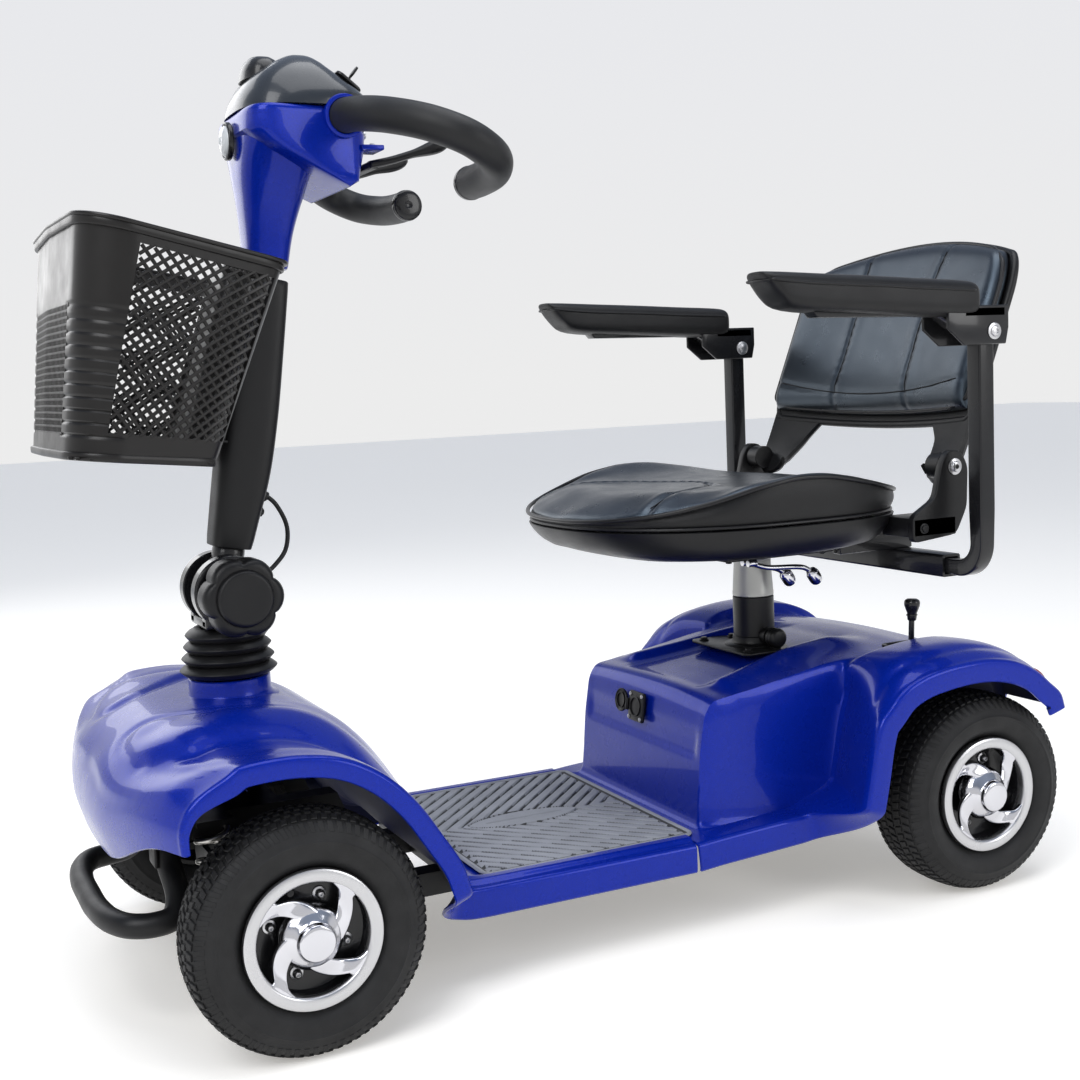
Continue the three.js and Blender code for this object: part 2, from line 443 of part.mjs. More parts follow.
for (const s of [1, -1]) {
  const g = turned([[0, 0], [15, 0], [16, 3], [13, 9], [0, 11]], V(s * 225, 0, 0), AY, 18);
  node(s > 0 ? "tail_lamp_left" : "tail_lamp_right", g.rotate([33, 0, 0]).translate([0, 484.9, 231.8]), RED);
}
{
  // freewheel lever: rod through the slot with a moulded knob, pivot low inside the cover
  let l = rod(V(139, 378, 232), V(139, 381, 312), 3.6, 8);
  l = join(l, turned([[0, 0], [5, 0], [6, 8], [9, 20], [7, 24], [0, 25]], V(139, 381, 304), AZ, 12), rod(V(132, 378, 232), V(146, 378, 232), 8, 12));
  l = cut(l, rod(V(120, 378, 232), V(155, 378, 232), 4.6, 12));
  node("freewheel_lever", l, BLACK);
}

// ---------- steering column ----------
{
  let c = rod(V(0, STEER_Y, 130), V(0, STEER_Y, 372), 16, 14);
  c = join(c, turned([[0, 362], [22, 362], [26, 367], [26, 376], [0, 376]], V(0, STEER_Y, 0), AZ, 14));
  // pitman arm under the steering head, reaching back over the tie rod
  c = join(c, box(-9, 9, STEER_Y, FY + 62, 132, 140), rod(V(0, FY + 55, 106), V(0, FY + 55, 138), 3.4, 8));
  // clevis: two round cheeks with a slot between for the tiller's lug
  const cheek = (x0, x1) => join(rod(V(x0, FOLD_Y, FOLD_Z), V(x1, FOLD_Y, FOLD_Z), 38, 18), box(x0, x1, -428, -372, 370, 404));
  c = join(c, box(-34, 34, -428, -376, 368, 378), cheek(18, 36), cheek(-36, -18));
  c = join(c, rod(V(-40, FOLD_Y, FOLD_Z), V(68, FOLD_Y, FOLD_Z), 7, 10));
  node("steering_column", c, STEEL);
}
{
  const p = [[30, 316]], R = [50, 42, 49, 40, 46, 38, 42, 35];
  R.forEach((r, i) => p.push([r, 316 + i * 6.1]));
  p.push([20, 361], [20, 356], [28, 350], [30, 316]);
  node("steering_bellows", turned(p, V(0, STEER_Y, 0), AZ, 18), RUBBER);
}
{
  // clamp knob with six lobes
  const prof = [];
  for (let i = 0; i < 24; i++) {
    const a = (i / 24) * Math.PI * 2, r = 38 + 2.8 * Math.cos(a * 6);
    prof.push([FOLD_Y + r * Math.cos(a), FOLD_Z + r * Math.sin(a)]);
  }
  let k = prism(prof, "x", 56, 90);
  k = join(k, rod(V(89, FOLD_Y, FOLD_Z), V(95, FOLD_Y, FOLD_Z), 27, 16), rod(V(38, FOLD_Y, FOLD_Z), V(57, FOLD_Y, FOLD_Z), 17, 14));
  k = cut(k, rod(V(30, FOLD_Y, FOLD_Z), V(70, FOLD_Y, FOLD_Z), 7.7, 12));
  node("tiller_knob", k, BLACK);
}

// ---------- tiller ----------
const fold = V(0, FOLD_Y, FOLD_Z), up = V(0, Math.sin(TILLER_LEAN), Math.cos(TILLER_LEAN)), backDir = V(0, Math.cos(TILLER_LEAN), -Math.sin(TILLER_LEAN));
const onTiller = (h, b = 0, x = 0) => fold.clone().addScaledVector(up, h).addScaledVector(backDir, b).setX(x);
// Rounded rectangle ring across the tiller at height h.
function tillerRing(h, hx, hb, off, r, count = 16) {
  return ring(0, 0, 0, hx, hb, r, count).map((p) => onTiller(h, p.y + off, p.x));
}
{
  let t = rod(onTiller(0), onTiller(440), 15, 14);
  const lug = join(rod(V(-17.4, FOLD_Y, FOLD_Z), V(17.4, FOLD_Y, FOLD_Z), 24, 16));
  t = cut(join(t, lug), rod(V(-40, FOLD_Y, FOLD_Z), V(40, FOLD_Y, FOLD_Z), 7.6, 12));
  node("tiller_tube", t, STEEL);
}
{
  // moulded lower cover with the basket's carrier in front
  const H = [[44, 23, 21, 0], [70, 24, 23, 1], [120, 25, 27, 3], [180, 25, 28, 3], [250, 25, 26, 2], [322, 25, 24, 0]];
  let c = loft(H.map(([h, hx, hb, off]) => tillerRing(h, hx, hb, off, 5)));
  // carrier: two hooks that hold the basket's rear wall
  const P = (h0, h1, b0, b1, x0, x1) => {
    const g = new THREE.BoxGeometry(x1 - x0, b1 - b0, h1 - h0);
    g.translate((x0 + x1) / 2, (b0 + b1) / 2, (h0 + h1) / 2);
    g.rotateX(-TILLER_LEAN);
    g.translate(0, FOLD_Y, FOLD_Z);
    return solid(g);
  };
  c = join(c, P(150, 180, -54, -20, -20, 20), P(262, 296, -43, -20, -20, 20));
  c = cut(c, rod(onTiller(40), onTiller(330), 15.6, 14));
  node("tiller_lower_cover", c, BLACK);
}
const BAR = [V(62, -265, 875), V(104, -262, 871), V(156, -247, 861), V(196, -219, 847), V(212, -189, 832), V(202, -163, 819), V(168, -146, 811), V(126, -141, 808), V(86, -140, 808)];
const barR = BAR.map((p) => V(-p.x, p.y, p.z));
const barSockets = join(tube(BAR, 17.9, 16, 10), tube(barR, 17.9, 16, 10));
{
  // upper cover: a neck that flares into the head, horizontal sections [z, centre y, half x, half y, squareness]
  const T = [[728, -335, 27, 21, 3.2], [765, -331, 31, 25, 3.0], [800, -326, 39, 32, 2.9], [828, -322, 52, 38, 2.9], [850, -318, 68, 42, 3.2], [866, -316, 76, 44, 3.6]];
  let c = loft(T.map(([z, cy, a, b, n]) => ring(0, cy, z, a, b, n, 20)));
  // head block with slanted underside, tapered in plan
  const side = prism([[-360, 884], [-362, 862], [-346, 845], [-262, 806], [-248, 812], [-238, 842], [-236, 858], [-246, 876], [-262, 884]], "x", -84, 84);
  const plan = prism([[-62, -364], [62, -364], [76, -356], [80, -340], [70, -262], [66, -230], [-66, -230], [-70, -262], [-80, -340], [-76, -356]], "z", 800, 890);
  c = join(c, side.intersect(plan));
  for (const s of [1, -1]) c = join(c, box(s > 0 ? 34 : -68, s > 0 ? 68 : -34, -244, -222, 843, 848));
  c = cut(c, rod(onTiller(300), onTiller(452), 15.6, 14));
  c = cut(c, barSockets, box(-62, 62, -300, -215, 821, 841), box(-74, 74, -251, -215, 823, 841.8));
  // fixed pin that the throttle shaft turns on
  c = join(c, rod(V(0, -272, 815), V(0, -272, 845), 3.5, 12));
  node("tiller_upper_cover", c, BLUE);
}
{
  // console: a cowl with a hump in front and a face that slopes down towards the rider, [z, front y, rear y, half x]
  const T = [[884.6, -360, -240, 77], [898, -357, -226, 74], [912, -349, -244, 66], [926, -334, -261, 54], [937, -315, -274, 38], [943, -300, -283, 20]];
  let c = loft(T.map(([z, y0, y1, a]) => ring(0, (y0 + y1) / 2, z, a, (y1 - y0) / 2, 3, 20)));
  c = cut(c, barSockets);
  // seats for the key, the dial and the horn button on the sloping face
  const n = V(0, 14, 17.3).normalize(), face = (x) => V(x, -247, 914.4);
  for (const [x, r] of [[0, 11.5], [30, 5.5], [-30, 9.5]]) c = cut(c, rod(face(x).addScaledVector(n, -9), face(x).addScaledVector(n, 14), r, 18));
  node("console", c, GREY);
  node("speed_dial", turned([[0, -8.6], [11, -8.6], [11, 4], [9, 7], [0, 7]], face(0), n, 18), BLACK);
  const blade = box(-5, 5, -1.4, 1.4, 0, 20).rotate([-39, 0, 0]).translate([30, face(0).y + n.y * 3, face(0).z + n.z * 3]);
  node("ignition_key", join(rod(face(30).addScaledVector(n, -8.6), face(30).addScaledVector(n, 5), 5, 12), blade), SILVER);
  node("horn_button", turned([[0, -5.4], [9, -5.4], [9, 2.5], [7, 4], [0, 4.5]], face(-30), n, 16), BLACK);
}
{
  // handlebars: each a fat grip that loops out, back and in again
  node("handlebar_left", tube(BAR.map((p, i) => (i ? p : V(64, p.y, p.z))), 17, 16, 10), RUBBER);
  node("handlebar_right", tube(barR.map((p, i) => (i ? p : V(-64, p.y, p.z))), 17, 16, 10), RUBBER);
}
{
  // wig-wag throttle: one shaft with a paddle at each side, on a pin inside the head
  let p = join(box(-50, 50, -231, -223, 827, 835), box(-9, 9, -284, -226, 827, 835));
  for (const s of [1, -1]) p = join(p, loft([[44, -229, 8, 4], [55, -200, 8, 5], [60, -172, 9, 6], [60, -150, 8, 5]].map(([x, y, a, b]) => ring(0, 0, 0, a, b, 2.6, 10).map((q) => V(s * x + q.x, y, 831 + q.y + (y + 229) * 0.28)))));
  node("throttle_paddle", cut(p, rod(V(0, -272, 815), V(0, -272, 850), 4, 12)), BLACK);
}
{
  const g = join(turned([[0, 0], [17, 0], [19, 3], [17, 7], [0, 9]], V(0, 0, 0), AY, 20));
  node("headlight", g.rotate([180, 0, 0]).translate([0, -364.6, 858]), LENS);
}
{
  // control cable that loops out behind the tiller, from the lower cover down to the column
  const p = [onTiller(102, 28.6), onTiller(99, 36), V(0, -338, 486), V(5, -330, 464), V(13, -335, 441), V(21, -350, 426), V(26, -363.2, 417.9)];
  node("tiller_cable", tube(p, 2.4, 20, 6), RUBBER);
}
{
  // basket: open-topped tapered tub with a notch in its rear wall for the tiller
  const plan = (y0, y1, hf, hr, notch, z0, z1) => {
    // y0 front, y1 rear; z at front z0 and at rear z1
    const pts = [[-hf + 42, y0], [0, y0 - 4], [hf - 42, y0], [hf - 12, y0 + 12], [hf, y0 + 42], [hr, y1 - 20], [hr - 6, y1 - 5], [hr - 20, y1], [40, y1], [34, y1 - notch], [-34, y1 - notch], [-40, y1], [-hr + 20, y1], [-hr + 6, y1 - 5], [-hr, y1 - 20], [-hf, y0 + 42], [-hf + 12, y0 + 12]];
    return pts.map(([x, y]) => V(x, y, lerp(z0, z1, (y - y0) / (y1 - y0))));
  };
  const sec = (t, d) => plan(lerp(-565, -541, t) + d, lerp(-428, -350, t) - d, lerp(152, 166, t) - d, lerp(137, 142, t) - d, lerp(10, 30, t), lerp(545, 768, t), lerp(531, 722, t));
  const inner = (t, d) => sec(t, d).map((p, i) => (i >= 8 && i <= 11 ? p.setX(p.x + Math.sign(p.x) * 2 * d) : p));
  const lift = (r, dz) => r.map((p) => V(p.x, p.y, p.z + dz));
  let b = loft([sec(0.03, 5), sec(0.12, 0), sec(0.93, 0), sec(0.935, -4).map((p) => p), sec(1, -4)]);
  b = cut(b, loft([lift(inner(0.05, 5), 5), inner(0.5, 4), lift(inner(1, 4), 12)]));
  // the notch keeps the carrier clear
  node("basket", b, BLACK);
}

// ---------- seat ----------
{
  let p = rod(V(0, POST_Y, 150), V(0, POST_Y, 376), 21, 18);
  p = join(p, turned([[0, POST_TOP + 0.5], [25, POST_TOP + 0.5], [25, POST_TOP + 6], [22.5, 372], [22.5, 384], [0, 384]], V(0, POST_Y, 0), AZ, 18));
  p = cut(p, rod(V(19.5, POST_Y, 284), V(30, POST_Y, 284), 4.6, 12));
  node("seat_post_inner", p, SILVER);
}
{
  // swivel plate with two slide rails
  let b = box(-70, 70, 170, 332, 384.5, 388.5);
  b = join(b, rod(V(0, POST_Y, 388), V(0, POST_Y, 393), 34, 20));
  for (const s of [1, -1]) b = join(b, box(s * 60 - 10, s * 60 + 10, 150, 352, 388, 398));
  node("seat_base", b, STEEL);
}
const lever = (x, y, sgn) => {
  let l = tube([V(x, 214, 378), V(x, 232, 372.4), V(x + 2, y - 8, 367.6), V(x + 2, y + 4, 361)], 3.2, 7, 6);
  return join(l, rod(V(x, 206, 379), V(x, 218, 379), 4.2, 10), turned([[0, 0], [6, 0], [8, 4], [8, 16], [5, 20], [0, 20]], V(x + 2, y + 2, 364), V(0, 0.55, -0.83), 8));
};
node("seat_swivel_lever", lever(46, 262), CHROME);
node("seat_slide_lever", lever(58, 292), CHROME);
{
  // moulded seat pan on runners, with the armrest cross tube behind
  const shape = (t) => {
    const T = [[399.5, 160, 150], [405, 180, 178], [420, 194, 196], [436, 199, 205]];
    const k = Math.min(T.length - 1, t);
    return T[k];
  };
  const rings = [0, 1, 2, 3].map((k) => {
    const [z, a, b] = shape(k);
    return ring(0, 178, z, a, b, 3.2, 28).map((p) => { const f = smooth((60 - p.y) / 90); return V(p.x, p.y, p.z + 12 * f * (3 - k) / 3); });
  });
  let pan = loft(rings);
  for (const s of [1, -1]) {
    // hinge ears for the backrest
    pan = join(pan, prism([[330, 404], [392, 410], [408, 440], [410, 487], [400, 504], [382, 506], [372, 492], [362, 452], [330, 434]], "x", s > 0 ? 196 : -206, s > 0 ? 206 : -196));
    pan = join(pan, box(s > 0 ? 150 : -206, s > 0 ? 206 : -150, 330, 392, 410, 432));
  }
  // square cross tube that takes the armrests, on two brackets
  let cross = box(-196, 196, ARM_Y - 13, ARM_Y + 13, 360, 386);
  cross = cut(cross, box(-230, 230, ARM_Y - 10, ARM_Y + 10, 363, 383));
  for (const s of [1, -1]) cross = join(cross, box(s > 0 ? 96 : -112, s > 0 ? 112 : -96, 300, ARM_Y + 13, 384, 410));
  pan = join(pan, cross);
  node("seat_pan", pan, BLACK);
}
{
  // seat cushion: crowned, drooping at the front, raised along the sides
  const mk = (z, a, b, lift) => ring(0, 178, z, a, b, 3.0, 28).map((p) => {
    const f = smooth((70 - p.y) / 110), side = Math.abs(p.x) / 200;
    return V(p.x, p.y - 4 * f, p.z + lift * (-14 * f + 8 * side * side * (1 - f)));
  });
  let c = loft([mk(437, 192, 200, 0.05), mk(444, 200, 208, 0.3), mk(458, 202, 211, 0.8), mk(470, 194, 203, 1), mk(476, 170, 178, 1)]);
  node("seat_cushion", c, LEATHER);
}
{
  // backrest shell: side legs down to the pivots, a lumbar opening between them
  const lean = rad(22), o = V(0, BACK_Y, BACK_Z), bu = V(0, Math.sin(lean), Math.cos(lean)), bb = V(0, Math.cos(lean), -Math.sin(lean));
  const at = (x, h, d) => o.clone().addScaledVector(bu, h).addScaledVector(bb, d).setX(x);
  const bow = (x) => 26 * (1 - (Math.abs(x) / 200) ** 2);
  // curved plate as a sheet of rows (height) and columns (across)
  const X = [-194, -176, -140, -95, -48, 0, 48, 95, 140, 176, 194];
  const rows = [62, 100, 150, 200, 240, 262];
  const half = (h) => (h < 200 ? 194 : h < 245 ? 188 : 176);
  const P = rows.map((h) => X.map((x) => { const xx = (x / 194) * half(h); return at(xx, h + (h > 230 ? 34 * (1 - (x / 194) ** 2) : 0), 10 + bow(xx)); }));
  let shell = sheetSolid(P, -9);
  for (const s of [1, -1]) {
    const X2 = s > 0 ? [100, 130, 160, 193] : [-193, -160, -130, -100];
    const leg = [[-16, 150], [10, 140], [40, 128], [66, 108]].map(([h, xin]) => X2.map((x) => {
      const t = (Math.abs(x) - 100) / 93, xx = lerp(xin, 193, t) * s;
      return at(xx, h, 10 + bow(xx) * smooth((h + 16) / 60));
    }));
    shell = join(shell, sheetSolid(leg, -9));
    shell = join(shell, rod(V(s * 172, BACK_Y, BACK_Z), V(s * 193, BACK_Y, BACK_Z), 15, 14));
    shell = join(shell, rod(V(s * 190, BACK_Y, BACK_Z), V(s * 210, BACK_Y, BACK_Z), 5, 10));
  }
  shell = cut(shell, box(-196, 196, 300, 420, 400, 442));
  node("backrest_shell", shell, BLACK);
  const pan = scooter.children.find((m) => m.name === "seat_pan");
  pan.geometry = geometryOf(cut(solid(pan.geometry), rod(V(-230, BACK_Y, BACK_Z), V(230, BACK_Y, BACK_Z), 5.4, 16)));
  // cushion in front of the shell
  const rowsC = [[72, 0.0], [80, 1], [130, 1], [190, 1], [240, 1], [262, 0.95], [276, 0]];
  const front = (x, h) => lerp(24, 30, 1 - (x / 194) ** 2);
  const hc = (h) => (h < 200 ? 190 : h < 250 ? 184 : 168);
  const XC = [-190, -184, -150, -105, -55, 0, 55, 105, 150, 184, 190];
  const G = [72, 84, 130, 185, 235, 262, 272].map((h, i) => XC.map((x, j) => {
    const hx = hc(h), xx = (x / 190) * hx, e = (j === 0 || j === XC.length - 1 || i === 0 || i === 6) ? 14 : 0;
    return at(xx, h + (h > 230 ? 32 * (1 - (x / 190) ** 2) : 0), 9.2 + bow(xx) - front(xx, h) + e - 1);
  }));
  const B = [72, 84, 130, 185, 235, 262, 272].map((h) => XC.map((x) => {
    const hx = hc(h), xx = (x / 190) * hx;
    return at(xx, h + (h > 230 ? 32 * (1 - (x / 190) ** 2) : 0), 9.2 + bow(xx) - 1);
  }));
  // closed solid between the two grids
  const R = G.length, C = XC.length, pos = [], idx = [];
  for (const g of [G, B]) for (const row of g) for (const p of row) pos.push(p.x, p.y, p.z);
  const id = (s, i, j) => s * R * C + i * C + j, quad = (a, b, c, d) => idx.push(a, b, c, a, c, d);
  for (let i = 0; i + 1 < R; i++) for (let j = 0; j + 1 < C; j++) {
    quad(id(0, i, j), id(0, i, j + 1), id(0, i + 1, j + 1), id(0, i + 1, j));
    quad(id(1, i, j), id(1, i + 1, j), id(1, i + 1, j + 1), id(1, i, j + 1));
  }
  for (let j = 0; j + 1 < C; j++) {
    quad(id(0, 0, j + 1), id(0, 0, j), id(1, 0, j), id(1, 0, j + 1));
    quad(id(0, R - 1, j), id(0, R - 1, j + 1), id(1, R - 1, j + 1), id(1, R - 1, j));
  }
  for (let i = 0; i + 1 < R; i++) {
    quad(id(0, i, 0), id(0, i + 1, 0), id(1, i + 1, 0), id(1, i, 0));
    quad(id(0, i + 1, C - 1), id(0, i, C - 1), id(1, i, C - 1), id(1, i + 1, C - 1));
  }
  const g = new THREE.BufferGeometry().setAttribute("position", new THREE.BufferAttribute(new Float32Array(pos), 3));
  g.setIndex(idx);
  let m = solid(g);
  if (m.volume() < 0) { for (let i = 0; i < idx.length; i += 3) [idx[i + 1], idx[i + 2]] = [idx[i + 2], idx[i + 1]]; g.setIndex(idx); m = solid(g); }
  node("backrest_cushion", m, LEATHER);
}
for (const s of [1, -1]) {
  // armrest upright and the arm that slides in the cross tube
  const q = (pts) => pts.map(([x, z]) => [z, x * s]);
  const outer = [[40, 364.4], [226, 364.4], [246, 369], [258, 382], [258, 628], [234, 628], [234, 398], [230, 389], [218, 381.6], [40, 381.6]];
  const poly = q(outer);
  if (s < 0) poly.reverse();
  let t = prism(poly, "y", ARM_Y - 9, ARM_Y + 9);
  t = join(t, rod(V(s * 240, ARM_Y, 620), V(s * 240, ARM_Y, BOLT_Z), 8, 10), rod(V(s * 232, ARM_Y, BOLT_Z), V(s * 260, ARM_Y, BOLT_Z), 9, 12), rod(V(s * 225, ARM_Y, BOLT_Z), V(s * 267, ARM_Y, BOLT_Z), 4, 10));
  node(s > 0 ? "arm_tube_left" : "arm_tube_right", t, STEEL);
  // armrest: folded steel bracket round the upright and a long padded arm
  let a = box(224, 268, 352, 410, 640, 662);
  a = join(a, prism([[330, 640], [352, 622], [410, 622], [414, 640], [414, 664], [330, 664]], "x", 224, 228), prism([[330, 640], [352, 622], [410, 622], [414, 640], [414, 664], [330, 664]], "x", 264, 268));
  a = cut(a, box(229, 263, 374, 420, 600, 652), box(229, 263, 340, 400, 600, 650));
  a = join(a, prism([[130, 656], [330, 654], [352, 640], [352, 664], [130, 674], [118, 668]], "x", 236, 256));
  const pad = loft([[92, 690, 14, 8], [104, 686, 24, 17], [150, 681, 27, 21], [240, 677, 28, 21], [340, 672, 28, 21], [368, 671, 27, 20], [374, 671, 24, 17]].map(([y, z, w, h]) => ring(0, 0, 0, w, h, 3.2, 12).map((p) => V(246 + p.x, y, z + p.y))));
  a = join(a, pad);
  a = cut(a, rod(V(215, ARM_Y, BOLT_Z), V(275, ARM_Y, BOLT_Z), 4.5, 12));
  node(s > 0 ? "armrest_left" : "armrest_right", s > 0 ? a : mirror(a), BLACK);
}

// The origin of the finished part is on the floor, under the middle of its overall box.
scooter.position.y = MID_Y;

export default scooter;
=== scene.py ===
import bpy
import bmesh
import json
import math
import numpy as np
from mathutils import Vector, Matrix
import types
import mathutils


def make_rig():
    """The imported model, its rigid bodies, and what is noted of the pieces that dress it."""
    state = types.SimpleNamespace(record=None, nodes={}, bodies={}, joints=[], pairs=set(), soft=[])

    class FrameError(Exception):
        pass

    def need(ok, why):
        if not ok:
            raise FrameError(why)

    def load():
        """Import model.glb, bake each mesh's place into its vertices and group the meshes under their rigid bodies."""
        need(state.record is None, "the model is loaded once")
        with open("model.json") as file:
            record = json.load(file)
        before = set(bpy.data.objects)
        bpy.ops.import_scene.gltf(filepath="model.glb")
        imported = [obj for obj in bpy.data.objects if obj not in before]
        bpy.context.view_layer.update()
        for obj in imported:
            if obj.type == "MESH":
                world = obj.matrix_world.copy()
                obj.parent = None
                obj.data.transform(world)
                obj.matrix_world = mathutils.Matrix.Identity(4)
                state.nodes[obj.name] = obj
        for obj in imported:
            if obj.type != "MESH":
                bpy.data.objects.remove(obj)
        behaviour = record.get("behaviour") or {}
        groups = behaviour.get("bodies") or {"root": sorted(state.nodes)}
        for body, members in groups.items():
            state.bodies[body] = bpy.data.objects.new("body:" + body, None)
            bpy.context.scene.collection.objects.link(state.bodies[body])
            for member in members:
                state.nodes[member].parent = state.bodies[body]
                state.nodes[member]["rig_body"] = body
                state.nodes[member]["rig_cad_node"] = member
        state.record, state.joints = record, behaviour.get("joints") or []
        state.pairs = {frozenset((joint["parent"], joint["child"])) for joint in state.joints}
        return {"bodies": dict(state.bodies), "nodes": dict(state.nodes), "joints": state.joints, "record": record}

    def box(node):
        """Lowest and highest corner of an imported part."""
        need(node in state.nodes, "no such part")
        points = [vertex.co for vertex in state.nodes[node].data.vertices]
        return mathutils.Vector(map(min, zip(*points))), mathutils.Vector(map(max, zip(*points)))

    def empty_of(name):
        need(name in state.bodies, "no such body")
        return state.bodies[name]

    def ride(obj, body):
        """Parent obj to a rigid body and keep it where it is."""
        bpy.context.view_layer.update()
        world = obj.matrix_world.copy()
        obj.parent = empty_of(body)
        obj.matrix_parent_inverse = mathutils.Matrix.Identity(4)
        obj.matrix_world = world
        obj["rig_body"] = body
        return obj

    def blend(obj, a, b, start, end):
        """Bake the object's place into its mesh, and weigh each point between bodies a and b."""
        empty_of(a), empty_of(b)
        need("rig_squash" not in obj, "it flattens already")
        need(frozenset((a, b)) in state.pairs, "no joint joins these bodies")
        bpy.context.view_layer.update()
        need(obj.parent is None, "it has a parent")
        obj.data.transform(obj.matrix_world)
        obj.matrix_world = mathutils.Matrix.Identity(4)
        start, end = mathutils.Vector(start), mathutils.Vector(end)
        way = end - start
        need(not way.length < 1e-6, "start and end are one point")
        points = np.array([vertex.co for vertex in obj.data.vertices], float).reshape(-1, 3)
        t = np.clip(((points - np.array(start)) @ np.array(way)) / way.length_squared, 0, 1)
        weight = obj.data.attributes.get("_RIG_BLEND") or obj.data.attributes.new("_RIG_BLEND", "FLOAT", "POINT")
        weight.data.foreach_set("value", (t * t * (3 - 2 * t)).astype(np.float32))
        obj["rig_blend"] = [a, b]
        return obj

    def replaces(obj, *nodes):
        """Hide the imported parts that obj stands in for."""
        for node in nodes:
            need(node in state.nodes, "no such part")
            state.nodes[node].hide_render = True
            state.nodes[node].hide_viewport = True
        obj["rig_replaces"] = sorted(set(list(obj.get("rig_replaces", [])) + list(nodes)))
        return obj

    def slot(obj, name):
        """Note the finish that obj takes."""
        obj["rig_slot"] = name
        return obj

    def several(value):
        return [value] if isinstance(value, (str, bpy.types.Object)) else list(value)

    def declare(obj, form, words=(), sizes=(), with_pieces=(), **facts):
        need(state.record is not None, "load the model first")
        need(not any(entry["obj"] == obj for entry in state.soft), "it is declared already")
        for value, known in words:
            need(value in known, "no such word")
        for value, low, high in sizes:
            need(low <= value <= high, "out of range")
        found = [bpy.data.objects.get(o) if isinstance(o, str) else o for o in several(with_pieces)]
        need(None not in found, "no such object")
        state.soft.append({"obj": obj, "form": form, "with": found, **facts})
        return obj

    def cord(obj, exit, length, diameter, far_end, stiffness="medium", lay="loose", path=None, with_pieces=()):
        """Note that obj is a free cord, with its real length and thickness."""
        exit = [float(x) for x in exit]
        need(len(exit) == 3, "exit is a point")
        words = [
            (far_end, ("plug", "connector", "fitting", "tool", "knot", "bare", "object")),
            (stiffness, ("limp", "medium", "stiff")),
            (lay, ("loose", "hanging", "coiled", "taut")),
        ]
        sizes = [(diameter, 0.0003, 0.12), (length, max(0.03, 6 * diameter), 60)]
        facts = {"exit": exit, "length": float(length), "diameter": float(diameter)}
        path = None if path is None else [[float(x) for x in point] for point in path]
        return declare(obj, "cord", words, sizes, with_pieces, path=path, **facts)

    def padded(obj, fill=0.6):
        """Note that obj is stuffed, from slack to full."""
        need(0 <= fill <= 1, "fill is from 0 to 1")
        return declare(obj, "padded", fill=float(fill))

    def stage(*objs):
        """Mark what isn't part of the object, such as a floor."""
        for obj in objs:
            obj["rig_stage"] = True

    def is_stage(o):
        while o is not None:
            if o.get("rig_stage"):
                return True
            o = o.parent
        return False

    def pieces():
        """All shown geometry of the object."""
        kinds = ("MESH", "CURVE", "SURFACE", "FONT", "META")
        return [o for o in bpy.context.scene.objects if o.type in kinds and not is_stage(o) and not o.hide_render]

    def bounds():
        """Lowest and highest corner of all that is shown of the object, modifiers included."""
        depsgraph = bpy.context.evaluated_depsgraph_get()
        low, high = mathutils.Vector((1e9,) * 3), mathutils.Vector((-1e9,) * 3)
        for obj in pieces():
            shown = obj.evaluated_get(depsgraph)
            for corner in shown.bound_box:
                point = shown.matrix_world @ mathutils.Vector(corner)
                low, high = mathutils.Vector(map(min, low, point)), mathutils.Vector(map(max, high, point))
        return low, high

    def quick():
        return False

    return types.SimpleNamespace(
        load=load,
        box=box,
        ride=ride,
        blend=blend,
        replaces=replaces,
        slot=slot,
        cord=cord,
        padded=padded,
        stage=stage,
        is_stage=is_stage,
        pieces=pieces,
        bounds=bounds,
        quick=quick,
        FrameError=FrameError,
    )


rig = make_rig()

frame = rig.load()
LO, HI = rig.bounds()
MID_Y = (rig.box("front_left_tyre")[0][1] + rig.box("front_left_tyre")[1][1]) * 500 + 399.5          # shift from the wheelbase centre to the part's origin, mm
rng = np.random.RandomState(7)
pi = math.pi
rad = math.radians

# ------------------------------------------------------------------ materials
def nodes_of(m):
    m.use_nodes = True
    nt = m.node_tree
    nt.nodes.clear()
    out = nt.nodes.new("ShaderNodeOutputMaterial")
    b = nt.nodes.new("ShaderNodeBsdfPrincipled")
    nt.links.new(b.outputs[0], out.inputs[0])
    return nt, b


